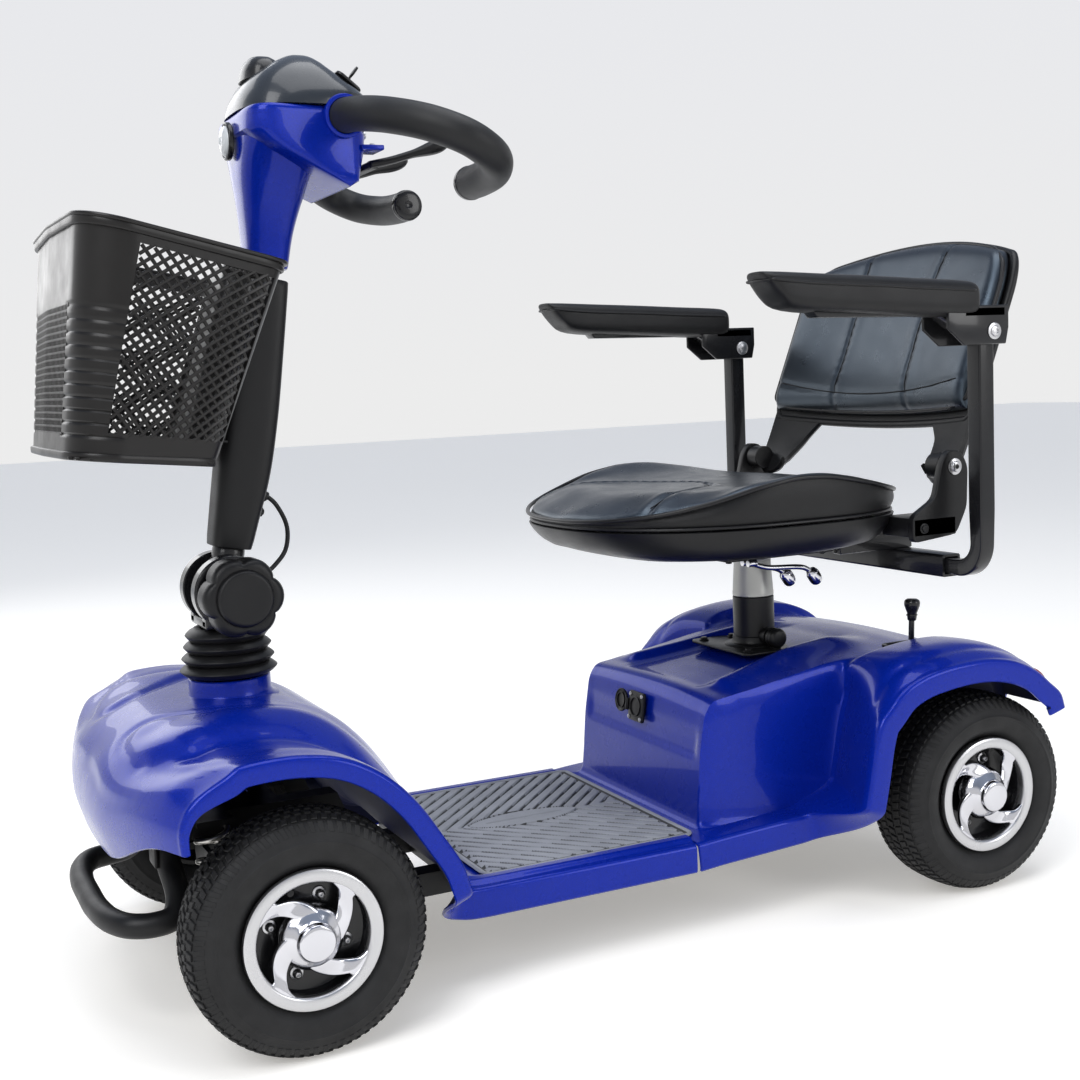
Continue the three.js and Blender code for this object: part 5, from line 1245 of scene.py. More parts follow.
def tring(h, hx, hb, off, n, count=56):
    r = ring(0, 0, 0, hx, hb, n, count)
    return np.array([ont(h, p[1] + off, p[0]) for p in r])


lug = merge(lathe([[0, -17.4], [22.8, -17.4], [24, -16.4], [24, 16.4], [22.8, 17.4], [0, 17.4]], FOLD, (1, 0, 0), 56))
neckr = loft([tring(h, a, b, 0, n) for h, a, b, n in ((16, 17.2, 15, 3.2), (24, 17.2, 15.5, 3.0), (34, 17.0, 16.4, 2.4), (42, 16.6, 16.6, 2.1), (47, 15.2, 15.2, 2))])
mk("vis_tiller_tube", merge(rod(ont(20), ont(438), 15, 40, edge=.6), lug, neckr), "gloss", "tiller", ("tiller_tube",), "black_steel", smooth=35)


def spread_rows(T, n):
    """Smoothly interpolated rows of a table, by its first column."""
    T = np.array(T, float)
    P = catmull(np.c_[T[:, 0], T[:, 1:3]], n * 4)
    h = np.linspace(T[0, 0], T[-1, 0], n)
    out = [h]
    for k in range(1, T.shape[1]):
        # monotone-ish cubic by columns
        x, y = T[:, 0], T[:, k]
        m = np.gradient(y, x)
        idx = np.clip(np.searchsorted(x, h, side="right") - 1, 0, len(x) - 2)
        hh = x[idx + 1] - x[idx]
        t = (h - x[idx]) / hh
        out.append((2 * t ** 3 - 3 * t ** 2 + 1) * y[idx] + (t ** 3 - 2 * t ** 2 + t) * hh * m[idx] + (-2 * t ** 3 + 3 * t ** 2) * y[idx + 1] + (t ** 3 - t ** 2) * hh * m[idx + 1])
    return np.stack(out, 1)


H = [[44, 23, 21, 0], [70, 24, 23, 1], [120, 25, 27, 3], [180, 25, 28, 3], [250, 25, 26, 2], [322, 25, 24, 0]]
HR = spread_rows(H, 30)
rows_ = [tring(44.2, 18, 16, 0, 4), tring(44.0, 21.4, 19.4, 0, 4.2), tring(44.6, 22.6, 20.6, 0, 4.4)] + [tring(h, a, b, o_, 4.6) for h, a, b, o_ in HR[1:-1]] + [tring(320.6, 24.8, 23.8, 0, 4.6), tring(321.8, 24, 23, 0, 4.4), tring(322, 22.4, 21.4, 0, 4.2), tring(321.8, 18, 16, 0, 3)]
# shallow panel line down both flanks where the two mouldings meet
lower = loft(rows_)
V_ = lower[0]
rel = V_ - FOLD
bb_ = rel @ TBK
hh_ = rel @ TUP
flank = np.exp(-((bb_ - 4) / 1.3) ** 2) * (np.abs(V_[:, 0]) > 15) * (hh_ > 50) * (hh_ < 316)
V_[:, 0] -= np.sign(V_[:, 0]) * 0.9 * flank


def tbox(h0, h1, b0, b1, x0, x1, r=1.2):
    V, F = box(x0, x1, b0, b1, h0, h1)
    V = np.array([ont(p[2], p[1], p[0]) for p in V])
    return bevelled((V, F), r, 3)


hooks = merge(tbox(150, 180, -54, -20, -20, 20, 2.2), tbox(262, 296, -43, -20, -20, 20, 2.2), *[tbox(150 + 30 * k, 152.4 + 30 * k, -50, -20, -23, 23, .8) for k in (0, 1)])
screws = merge(*[cylinder_bolt(ont(h, 28.6 if h < 200 else 26.0, 0), TBK, 3.4, 2.2) for h in (84, 286)])
mk("vis_tiller_lower_cover", merge(lower, hooks, screws), "plastic", "tiller", ("tiller_lower_cover",), "black_plastic", smooth=38)

BAR = np.array([(62, -265, 875), (104, -262, 871), (156, -247, 861), (196, -219, 847), (212, -189, 832), (202, -163, 819), (168, -146, 811), (126, -141, 808), (86, -140, 808)], float)
T = [[728, -335, 27, 21, 3.2], [765, -331, 31, 25, 3.0], [800, -326, 39, 32, 2.9], [828, -322, 52, 38, 2.9], [850, -318, 68, 42, 3.2], [866, -316, 76, 44, 3.6]]
TR = spread_rows(T, 40)


def xring(z, cy, a, b, n, count=80):
    return ring(0, cy, z, a, b, n, count)


neck = loft([xring(728.4, -335, 20, 15, 3), xring(728, -335, 25.6, 19.6, 3.1), xring(728.6, -335, 26.7, 20.7, 3.2)] + [xring(*r_) for r_ in TR[1:]])
# head block: side outline by height, plan width by depth
ZS = [806, 808, 812, 820, 830, 842, 850, 858, 862, 870, 876, 880, 882.6, 883.7, 884]


def head_ext(z):
    yf = np.interp(z, [806, 845, 862, 884], [-262, -346, -362, -360])
    yb = np.interp(z, [806, 812, 842, 858, 876, 884], [-258, -248, -238, -236, -246, -262])
    return yf, yb


def head_ring(z, inset=0.0, count=96):
    yf, yb = head_ext(z)
    t = (np.arange(count) + .5) / count * 2 * pi
    c, s_ = np.cos(t), np.sin(t)
    n = 7.0
    cx, cy_ = np.sign(c) * np.abs(c) ** (2 / n), np.sign(s_) * np.abs(s_) ** (2 / n)
    y = (yf + yb) / 2 + cy_ * ((yb - yf) / 2 - inset)
    wx = np.interp(y, [-364, -356, -340, -262, -230], [64, 76, 80, 70.5, 66])
    return np.stack([cx * (wx - inset), y, np.full(count, float(z))], 1)


hr = []
for z in ZS:
    ins = 0.0
    if z < 810:
        ins = (810 - z) * 0.6
    if z > 880:
        ins = 4.2 - math.sqrt(max(0, 16 - (z - 880) ** 2)) if z < 884 else 4.2
    hr.append(head_ring(z, ins))
headb = loft(hr)
# throttle slot surround and fixing tabs at the rear
tabs = merge(*[bevelled(box(34 * 1.0 if sx > 0 else -68, 68 if sx > 0 else -34, -246, -222, 842.9, 848), 1.2, 3) for sx in (1, -1)])
bosses = []
for sx in (1, -1):
    p0 = arr(sx * 62, BAR[0][1], BAR[0][2])
    d0 = unit(arr(sx, 0.04, -0.08))
    bosses.append(lathe([[17.2, -12], [21, -12], [21.8, 9], [21.2, 11.4], [19.6, 12.4], [18.0, 12.4], [17.2, 11.4], [17.2, -12]], p0 + d0 * 4, d0, 48))
hscr = merge(*[cylinder_bolt((sx * 66, -338 + 2, 870), (sx, -0.15, 0), 0.1, 0.1) for sx in ()] or [rod((0, -300, 850), (0, -300, 851), 1, 8)], *[cylinder_bolt((sx * 44, -236.4, 860), (0, 1, 0), 3.2, 2.0) for sx in (1, -1)])
mk("vis_tiller_upper_cover", merge(neck, headb, tabs, *bosses), "blue", "tiller", ("tiller_upper_cover",), "body_blue", smooth=35)
mk("vis_head_screws", hscr, "satin", "tiller", (), "silver_steel", smooth=35)
mk("vis_throttle_bracket", merge(prism([(22, -246), (50, -246), (50, -222), (46, -216), (26, -216), (22, -222)], "z", 848.1, 850.1, .6), cylinder_bolt((30, -226, 850), (0, 0, 1), 3, 2), cylinder_bolt((42, -226, 850), (0, 0, 1), 3, 2)), "satin", "tiller", (), "silver_steel", smooth=35)

# ------------------------------------------------------------------ console
TC = [[884.8, -360, -240, 77], [890, -359.5, -231, 76.6], [898, -357, -226, 74], [904, -354, -232, 71], [912, -349, -244, 66], [919, -343, -252, 61], [926, -334, -261, 54], [932, -325, -267.5, 46.5], [937, -315, -274, 38], [940.5, -308, -278, 29], [942.4, -303, -281, 22], [943, -299, -284, 14]]
cr = []
for z, y0, y1, a in TC:
    cr.append(ring(0, (y0 + y1) / 2, z, a, (y1 - y0) / 2, 3, 96))
cons = loft([ring(0, -300, 884.6, 73, 56, 3, 96)] + cr)
fn = unit(arr(0, 14, 17.3))
fu = arr(1, 0, 0)
fv = np.cross(fn, fu)


def face(x, v=0.0, d=0.0):
    return arr(x, -247, 914.4) + fv * v + fn * d


def face_prism(poly, d0, d1, r=.6):
    V, F = prism(poly, "z", 0, 1)
    V = np.array([face(x, v, d0 + (d1 - d0) * z) for x, v, z in V])
    return bevelled((V, F), r, 3)


panel = face_prism(rrect(46, 15.5, 7, 6), -1.5, 1.5, .8)
bezel = lathe([[11.6, -2], [14.6, -2], [14.6, 2.2], [14.0, 2.9], [12.4, 2.9], [11.6, 2.2], [11.6, -2]], face(0), fn, 56)
kb = lathe([[5.4, -2], [8.2, -2], [8.2, 2.4], [7.6, 3.0], [5.9, 3.0], [5.4, 2.4], [5.4, -2]], face(30), fn, 40)
hb = lathe([[9.5, -2], [11.6, -2], [11.6, 2.0], [11.0, 2.6], [10.0, 2.6], [9.5, 2.0], [9.5, -2]], face(-30), fn, 44)
marks = merge(*[bevelled((np.array([face(17.2 * math.sin(a + da) * q, 17.2 * math.cos(a + da) * q * 0.9, d) for q in (.93, 1.06) for da in (-.03, .03) for d in (1.2, 1.75)]), [(0, 1, 3, 2), (4, 6, 7, 5), (0, 4, 5, 1), (2, 3, 7, 6), (0, 2, 6, 4), (1, 5, 7, 3)]), .1, 1) for a in np.linspace(-1.15, 1.15, 6)])
leds = merge(*[lathe([[0, 1.2], [1.5, 1.2], [1.5, 1.9], [1.0, 2.3], [0, 2.4]], face(x, 11.4), fn, 16) for x in (-20, -15.4, 15.4, 20)])
hump = loft([ring(0, -327, z, a, b, 2.4, 64) for z, a, b in ((918, 30, 21), (926, 29.5, 20), (932, 27.5, 18), (937, 23, 15), (940.4, 16, 11), (942.2, 8, 6))])
parts = [(cons, 0), (panel, 1), (bezel, 0), (kb, 2), (hb, 0), (marks, 3), (leds, 4), (hump, 1)]
fm = []
for q_, k_ in parts:
    fm += [k_] * len(q_[1])
mk("vis_console", merge(*[q_ for q_, k_ in parts]), None, "tiller", ("console",), "grey_console", smooth=30, mats=["console", "console_dark", "satin", "white_mark", "yellow"], face_mats=fm)
dial = [lathe([[0, 3.1], [13.4, 3.1], [13.6, 3.6], [13.0, 4.6], [11.2, 5.2], [10.6, 5.4], [10.2, 7.0], [9.4, 7.8], [0, 7.9]], face(0), fn, 56)]
for k in range(18):
    a = 2 * pi * k / 18
    dial.append(rod(face(11.0 * math.cos(a), 11.0 * math.sin(a), 4.4), face(10.5 * math.cos(a), 10.5 * math.sin(a), 7.2), 1.0, 10, edge=.3))
dial.append(face_prism([(-1.1, 2), (1.1, 2), (0.6, 9.2), (-0.6, 9.2)], 7.6, 8.7, .3))
mk("vis_speed_dial", merge(*dial), "plastic", "dial", ("speed_dial",), "black_plastic", smooth=35)
ksh = rod(face(30, 0, -4), face(30, 0, 4.6), 5.0, 28, edge=.5)
kdir = fn
bow_ = []
kb0 = face(30, 0, 4)
bp_ = [(-1.6, 0), (1.6, 0), (1.9, 5), (4.4, 7.2), (5.0, 10), (4.6, 14), (3.0, 17.2), (0, 18.4), (-3.0, 17.2), (-4.6, 14), (-5.0, 10), (-4.4, 7.2), (-1.9, 5)]
V, F = prism(bp_, "z", -1.2, 1.2)
kbw = bevelled((np.array([kb0 + fu * x + fn * y_ + fv * z for x, y_, z in V]), F), .5, 3)
mk("vis_ignition_key", merge(ksh, kbw), None, "key", ("ignition_key",), "silver_steel", smooth=35, mats=["satin", "plastic"], face_mats=[0] * len(ksh[1]) + [1] * len(kbw[1]))
mk("vis_horn_button", lathe([[0, -3], [9, -3], [9, 2.0], [8.6, 2.8], [7.6, 3.6], [5, 4.1], [0, 4.4]], face(-30), fn, 40), "console_dark", "horn", ("horn_button",), "black_plastic", smooth=35)

# ------------------------------------------------------------------ handlebars
for sx, nm in ((1, "left"), (-1, "right")):
    P = BAR.copy()
    P[:, 0] *= sx
    P[0, 0] = sx * 66
    path = catmull(P, 150)
    grip = sweep(path[:-4], 17, 40, cap="none")
    end = path[-4]
    d = unit(path[-1] - path[-5])
    cap_e = lathe([[0, -2], [16.8, -2], [17.0, -1.2], [17.0, 4.2], [16.4, 5.2], [14.6, 6.0], [10, 6.6], [4.6, 6.9], [3.8, 6.2], [0, 6.0]], end, d, 48)
    ringc = lathe([[16.6, -1.4], [17.4, -1.2], [17.5, 0], [17.4, 1.2], [16.6, 1.4], [16.6, -1.4]], end + d * -.4, d, 48)
    tag = [0] * len(grip[1]) + [1] * (len(cap_e[1]) + len(ringc[1]))
    mk("vis_handlebar_" + nm, merge(grip, cap_e, ringc), None, "tiller", ("handlebar_" + nm,), "foam", smooth=40, mats=["foam", "gloss"], face_mats=tag)

# ------------------------------------------------------------------ throttle paddle
def paddle_arm(sx):
    R = []
    A = catmull([(44, -231, 831), (52, -210, 835), (58, -186, 842), (61, -166, 848), (60, -150, 852.5)], 26)
    for i, p in enumerate(A):
        t = i / 25
        a = lerp(9.0, 11.5, smooth01((t - .5) / .35)) * (1 if t < .86 else math.sqrt(max(0.05, 1 - ((t - .86) / .15) ** 2)))
        b = lerp(4.2, 7.6, smooth01((t - .5) / .35)) * (1 if t < .86 else math.sqrt(max(0.08, 1 - ((t - .86) / .15) ** 2)))
        ang = np.arange(32) / 32 * 2 * pi
        c, s_ = np.cos(ang), np.sin(ang)
        R.append(np.stack([sx * (p[0] + a * np.sign(c) * np.abs(c) ** .75), np.full(32, p[1]), p[2] + b * np.sign(s_) * np.abs(s_) ** .75], 1))
    return loft(R)


pad_ = merge(paddle_arm(1), paddle_arm(-1), bevelled(box(-50, 50, -232, -222.4, 827, 835), 2.0, 3), bevelled(box(-9, 9, -262, -226, 827, 835), 1.6, 3), lathe([[4, 827], [9, 827], [9, 835], [4, 835], [4, 827]], (0, -272, 0), (0, 0, 1), 32), bevelled(box(-9, 9, -268, -256, 827.2, 834.8), 1.0, 2))
mk("vis_throttle_paddle", pad_, "plastic", "throttle", ("throttle_paddle",), "black_plastic", smooth=40)

# ------------------------------------------------------------------ headlight
hb_ = lathe([[0, -1.6], [18.2, -1.6], [19, -0.8], [19, 2.6], [18.4, 3.4], [17.2, 3.8], [16.4, 3.2], [15.9, 2.0], [0, 1.0]], (0, -364.4, 858), (0, -1, 0), 56)
ln = [lathe([[0, 1.2], [15.7, 1.4], [15.6, 3.4], [14.2, 5.2], [10.5, 7.0], [5.5, 8.2], [0, 8.6]], (0, -364.4, 858), (0, -1, 0), 56)]
for k in range(-5, 6):
    x = k * 2.6
    zz = math.sqrt(max(0, 14.6 ** 2 - x * x))
    yy = [-364.4 - (8.7 - 0.033 * (x * x + q * q)) for q in np.linspace(-zz, zz, 12)]
    ln.append(sweep(np.array([(x, yy[j] + .2, 858 + q) for j, q in enumerate(np.linspace(-zz, zz, 12))]), 0.65, 8))
ln = merge(*ln)
mk("vis_headlight", merge(hb_, ln), None, "tiller", ("headlight",), "clear_lens", smooth=40, mats=["gloss", "lens"], face_mats=[0] * len(hb_[1]) + [1] * len(ln[1]))

# ------------------------------------------------------------------ control cable loop from the lower cover to the column
cp = [ont(106, 24), ont(102, 28.6), ont(99, 36), (0, -338, 486), (5, -330, 464), (13, -335, 441), (21, -350, 426), (26, -363.2, 417.9), (29, -372, 414)]
cb = sweep(catmull(cp, 120), 2.4, 16)
gr = merge(lathe([[2.4, -1], [5.4, -1], [5.6, 0], [5.4, 3.4], [4.6, 4.2], [2.4, 5.6], [2.4, -1]], ont(101, 29.4), unit(ont(99, 36) - ont(102, 28.6)), 24))
o = mk("vis_tiller_cable", cb, "bellows", None, ("tiller_cable",), "bellows_rubber", smooth=50)
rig.blend(o, "column", "tiller", start=(0.024, -0.360 + MID_Y * .001, 0.420), end=(0, -0.345 + MID_Y * .001, 0.498))
cpath = catmull(cp, 120) * .001 + arr(0, MID_Y * .001, 0)
clen = float(np.linalg.norm(np.diff(cpath, axis=0), axis=1).sum())
print("tiller cable length", clen)
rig.cord(o, exit=tuple(cpath[0]), length=round(clen, 4), diameter=0.0048, far_end="object", stiffness="medium", lay="hanging", path=[tuple(q) for q in cpath])
mk("vis_cable_grommet", gr, "plastic", "tiller", (), "black_plastic", smooth=40)

# ------------------------------------------------------------------ basket: moulded lattice tub
def b_plan(y0, y1, hf, hr_, notch, z0, z1):
    rf = 44.0
    arc = [(hf - rf + rf * math.sin(q), y0 + rf - rf * math.cos(q)) for q in np.linspace(0, pi / 2, 9)]
    pts = [(0, y0 - 4)] + arc + [(hr_, y1 - 20), (hr_ - 6, y1 - 5), (hr_ - 20, y1), (40, y1), (34, y1 - notch)]
    pts = pts + [(-x, y) for x, y in pts[1:][::-1]]
    return np.array([(x, y, lerp(z0, z1, (y - y0) / (y1 - y0))) for x, y in pts])


def b_sec(t, d=0.0):
    return b_plan(lerp(-565, -541, t) + d, lerp(-428, -350, t) - d, lerp(152, 166, t) - d, lerp(137, 142, t) - d, lerp(10, 30, t), lerp(545, 768, t), lerp(531, 722, t))


NB = 340


def b_outline(t, d=0.0, n=NB):
    """Rounded closed outline at height share t."""
    Q = b_sec(t, d)
    m = len(Q)
    out = []
    for i in range(m):
        a, b, c = Q[i - 1], Q[i], Q[(i + 1) % m]
        la, lc = np.linalg.norm(a - b), np.linalg.norm(c - b)
        k = min(9, la * .45, lc * .45)
        p, q = b + (a - b) / la * k, b + (c - b) / lc * k
        for j in range(5):
            u = j / 4
            out.append((1 - u) ** 2 * p + 2 * u * (1 - u) * b + u * u * q)
    out = np.array(out + [out[0]])
    L = np.r_[0, np.cumsum(np.linalg.norm(np.diff(out, axis=0), axis=1))]
    s = np.linspace(0, L[-1], n + 1)[:-1]
    return np.stack([np.interp(s, L, out[:, k]) for k in range(3)], 1), L[-1]


LV = np.linspace(0.03, 0.985, 24)
BS = np.array([b_outline(t, 1.6)[0] for t in LV])           # level, around, xyz
BC = np.array([b_outline(t, 1.6)[0].mean(0) for t in LV])
PER = b_outline(.5)[1]
HGT = 222.0


def b_at(u, t):
    """Point of the wall: u in [0,1) around, t in [0,1] up the lattice."""
    a = (u % 1.0) * NB
    i = int(a) % NB
    f = a - int(a)
    b = t * (len(LV) - 1)
    j = min(len(LV) - 2, int(b))
    g = b - j
    p = BS[j, i] * (1 - f) + BS[j, (i + 1) % NB] * f
    q = BS[j + 1, i] * (1 - f) + BS[j + 1, (i + 1) % NB] * f
    return p * (1 - g) + q * g


def strand(pts, w, d):
    """Flat moulded strip along points on the wall, w wide and d deep."""
    P = np.array(pts)
    T_ = np.gradient(P, axis=0)
    T_ /= np.linalg.norm(T_, axis=1, keepdims=True)
    C = P - np.array([0, P[:, 1].mean() * 0 - 455, 0])
    outv = np.stack([P[:, 0], P[:, 1] + 455, np.zeros(len(P))], 1)
    outv /= np.linalg.norm(outv, axis=1, keepdims=True) + 1e-9
    # outward normal of the wall: front and rear face y, sides face x
    fr = np.abs(P[:, 1] + 455) / 100 > np.abs(P[:, 0]) / 150
    nrm = np.where(fr[:, None], np.stack([np.zeros(len(P)), np.sign(P[:, 1] + 455), np.zeros(len(P))], 1), np.stack([np.sign(P[:, 0]), np.zeros(len(P)), np.zeros(len(P))], 1))
    side = np.cross(nrm, T_)
    side /= np.linalg.norm(side, axis=1, keepdims=True) + 1e-9
    R = []
    for i in range(len(P)):
        a, b = side[i] * w / 2, nrm[i] * d / 2
        R.append(np.array([P[i] + a + b * .2, P[i] + a * .6 + b, P[i] - a * .6 + b, P[i] - a + b * .2, P[i] - a - b, P[i] + a - b]))
    return loft(R)


# the tub is one moulding: solid corners and bands, diamond openings in the sides, a fine grid in front
NL_ = 112
tl_ = np.linspace(0, 1, NL_)
mid_row = BS[12]
zone = []          # 0 solid, 1 side lattice, 2 front grid
for i in range(NB):
    x, y, z = mid_row[i]
    if abs(x) > 120 and -513 < y < -394:
        zone.append(1)
    elif y < -540 and abs(x) < 104:
        zone.append(2)
    elif y > -415 and 52 < abs(x) < 112:
        zone.append(3)
    else:
        zone.append(0)
zone = np.array(zone)


def open_cell(i, t):
    z_ = zone[i]
    if z_ == 1:
        return .13 < t < .945
    if z_ == 2:
        return .11 < t < .66
    if z_ == 3:
        return .40 < t < .86
    return False


OUT = np.zeros((NL_, NB, 3))
for j, t_ in enumerate(tl_):
    b = t_ * (len(LV) - 1)
    jj = min(len(LV) - 2, int(b))
    g = b - jj
    OUT[j] = BS[jj] * (1 - g) + BS[jj + 1] * g
tgt = np.roll(OUT, -1, 1) - np.roll(OUT, 1, 1)
upt = np.gradient(OUT, axis=0)
NRM = np.cross(tgt, upt)
NRM /= np.linalg.norm(NRM, axis=2, keepdims=True) + 1e-12
cen = OUT.mean(1, keepdims=True)
if np.mean(np.sum(NRM * (OUT - cen), 2)) < 0:
    NRM = -NRM
corner = np.array([1.0 if (abs(p[0]) > 100 and p[1] < -493) else 0.0 for p in mid_row])
corner = np.convolve(np.r_[corner[-3:], corner, corner[:3]], np.ones(7) / 7, "valid")
reliefb = np.zeros((NL_, NB))
for j, t_ in enumerate(tl_):
    if .08 < t_ < .68:
        ph = ((t_ - .08) / .6 * 11) % 1.0
        reliefb[j] = -1.5 * math.exp(-((ph - .5) / .10) ** 2) * smooth01(np.clip((corner - .2) / .5, 0, 1))
# raised frame round each opening
TH = 3.2
PO = OUT + NRM * (1.0 + reliefb)[..., None]
PI = OUT - NRM * (TH - 1.0)
Vb = list(PO.reshape(-1, 3)) + list(PI.reshape(-1, 3))
Fb = []
ido = lambda j, i: j * NB + (i % NB)
idi = lambda j, i: NL_ * NB + j * NB + (i % NB)


def solid_cell(j, i):
    if j < 0 or j >= NL_ - 1:
        return False
    return not open_cell(i % NB, (tl_[j] + tl_[j + 1]) / 2)


SC = np.array([[solid_cell(j, i) for i in range(NB)] for j in range(NL_ - 1)])
for j in range(NL_ - 1):
    for i in range(NB):
        if not SC[j, i]:
            continue
        Fb.append((ido(j, i), ido(j, i + 1), ido(j + 1, i + 1), ido(j + 1, i)))
        Fb.append((idi(j, i), idi(j + 1, i), idi(j + 1, i + 1), idi(j, i + 1)))
        if j == 0 or not SC[j - 1, i]:
            Fb.append((ido(j, i + 1), ido(j, i), idi(j, i), idi(j, i + 1)))
        if j == NL_ - 2 or not SC[j + 1, i]:
            Fb.append((ido(j + 1, i), ido(j + 1, i + 1), idi(j + 1, i + 1), idi(j + 1, i)))
        if not SC[j, (i - 1) % NB]:
            Fb.append((ido(j, i), ido(j + 1, i), idi(j + 1, i), idi(j, i)))
        if not SC[j, (i + 1) % NB]:
            Fb.append((ido(j + 1, i + 1), ido(j, i + 1), idi(j, i + 1), idi(j + 1, i + 1)))
used = sorted({k for q in Fb for k in q})
remap_ = {k: n for n, k in enumerate(used)}
Vb = np.array(Vb)[used]
Fb = [tuple(remap_[k] for k in q) for q in Fb]
lat = [(Vb, Fb)]
NS = 78
slope = HGT * 0.955 / PER


def runs(fn_u, wanted, tr, n):
    """Runs of wall points along u(t) while they lie over openings of the wanted kind, with a little overlap."""
    out, run = [], []
    for t in np.linspace(tr[0], tr[1], n):
        u = fn_u(t)
        if zone[int((u % 1.0) * NB) % NB] == wanted:
            run.append(b_at(u, t))
        else:
            if len(run) > 2:
                out.append(run)
            run = []
    if len(run) > 2:
        out.append(run)
    return out


for fam in (1, -1):
    for k in range(NS):
        u0 = k / NS
        for wanted, tr in ((1, (.12, .955)), (3, (.39, .87))):
            for r_ in runs(lambda t: u0 + fam * slope * t, wanted, tr, 60):
                lat.append(strand(np.array(r_)[::2] if len(r_) > 8 else r_, 3.4, 2.4 if fam > 0 else 2.0))
fi = np.where(zone == 2)[0]
st = [i for i in fi if zone[i - 1] != 2][0]
cnt = len(fi)
for k in range(0, 31):
    u = (st + k / 30 * cnt) / NB
    lat.append(strand([b_at(u, t) for t in np.linspace(.10, .67, 8)], 2.8, 1.9))
for k in range(0, 20):
    t = .11 + .55 * k / 19
    lat.append(strand([b_at((st + q * cnt) / NB, t) for q in np.linspace(0, 1, 22)], 2.6, 1.7))


def hoop(t, dout, w, h, r=1.2):
    """Rounded rectangular band all round at height share t."""
    o1, _ = b_outline(t, -dout)
    n_ = NB
    nxt, prv = np.roll(o1, -1, 0), np.roll(o1, 1, 0)
    tg = nxt - prv
    tg /= np.linalg.norm(tg, axis=1, keepdims=True)
    upv = arr(0, 0, 1)
    nn = np.cross(tg, upv)
    nn /= np.linalg.norm(nn, axis=1, keepdims=True)
    cen = o1.mean(0)
    if np.mean(np.sum(nn * (o1 - cen), 1)) < 0:
        nn = -nn
    sec_ = [(-w + r, 0), (-r, 0), (-r * .3, r * .3), (0, r), (0, h - r), (-r * .3, h - r * .3), (-r, h), (-w + r, h), (-w + r * .3, h - r * .3), (-w, h - r), (-w, r), (-w + r * .3, r * .3)]
    rows = [o1 + nn * a + upv * b for a, b in sec_]
    V = np.concatenate(rows)
    F = []
    m = len(sec_)
    for a in range(m):
        for i in range(n_):
            F.append((a * n_ + i, a * n_ + (i + 1) % n_, ((a + 1) % m) * n_ + (i + 1) % n_, ((a + 1) % m) * n_ + i))
    return V, F


bands = [hoop(.968, 2.4, 5.4, 9, 1.8), hoop(1.0, 3.8, 8.0, 4.2, 1.8), hoop(.03, 1.4, 5.0, 8, 2.0)]
# floor: grid inside the bottom hoop
fl0 = b_sec(.045, 3)
y0f, y1f = fl0[:, 1].min(), fl0[:, 1].max()
flr = []


def floor_z(y):
    return float(np.interp(y, [-565, -428], [545, 531])) + 9.0


for x in np.linspace(-132, 132, 23):
    flr.append(bevelled((np.array([(x + a, y, floor_z(y) + c) for a in (-1.7, 1.7) for y in (-562, -431 - (13 if abs(x) < 38 else 0)) for c in (-1.6, 1.4)]), [(0, 1, 3, 2), (4, 6, 7, 5), (0, 4, 5, 1), (2, 3, 7, 6), (0, 2, 6, 4), (1, 5, 7, 3)]), .4, 1))
for y in np.linspace(-556, -436, 11):
    xw = np.interp(y, [-562, -431], [150, 136])
    flr.append(bevelled(box(-xw, xw, y - 1.7, y + 1.7, floor_z(y) - 1.4, floor_z(y) + 1.2), .4, 1))
mk("vis_basket", merge(*lat, *bands, *flr), "basket", "front_basket", ("basket",), "black_plastic", smooth=32)

# ------------------------------------------------------------------ seat base, levers
sb = merge(prism([(-70, 176), (-64, 170), (64, 170), (70, 176), (70, 326), (64, 332), (-64, 332), (-70, 326)], "z", 384.5, 388.4, 1.0), lathe([[0, 388], [33.4, 388], [34, 388.6], [34, 392.2], [33.2, 393], [0, 393]], (0, PY, 0), (0, 0, 1), 56))
for sx in (1, -1):
    cs = [(388.2, -10), (388.2, 10), (398, 10), (398, 6), (392, 6), (392, -6), (398, -6), (398, -10)]
    sb = merge(sb, prism([(z_, sx * 60 + x_) for z_, x_ in cs], "y", 150, 352, .6))
sb = merge(sb, *[cylinder_bolt((x, y, 384.6), (0, 0, -1), 3.4, 2.6, "hex") for x in (-52, 52) for y in (184, 318)])
mk("vis_seat_base", sb, "steel_blk", "swivel_base", ("seat_base",), "black_steel", smooth=35)
for nm, bd, x, y in (("seat_swivel_lever", "swivel_lever", 46, 262), ("seat_slide_lever", "slide_lever", 58, 292)):
    L_ = merge(sweep(catmull([(x, 214, 378), (x, 232, 372.4), (x + 2, y - 8, 367.6), (x + 2, y + 4, 361)], 40), 3.2, 20), rod((x, 206.4, 379), (x, 218, 379), 4.2, 24, edge=.5))
    kb_ = lathe([[0, 0], [5.4, 0], [6, .5], [6.4, 1.6], [7.6, 3.2], [8, 5], [8, 12], [7.7, 15.4], [6.8, 18], [5.2, 19.6], [3, 20], [0, 20]], (x + 2, y + 2, 364), unit(arr(0, .55, -.83)), 36)
    mk("vis_" + nm, merge(L_, kb_), None, bd, (nm,), "chrome", smooth=40, mats=["chrome", "gloss"], face_mats=[0] * len(L_[1]) + [0] * len(kb_[1]))

# ------------------------------------------------------------------ seat pan
def seat_plan(z, a, b, n, count):
    """Seat outline: rounder in front than behind."""
    r = ring(0, 178, z, a, b, n, count)
    q = ring(0, 178, z, a, b - 7, 2.3, count)
    fr = (r[:, 1] < 178)[:, None]
    return np.where(fr, q, r)


def pan_ring(z, a, b, k, n=3.0, count=96):
    r = seat_plan(z, a, b, n, count)
    f = smooth01((60 - r[:, 1]) / 90)
    r[:, 2] += 12 * f * (3 - k) / 3
    return r


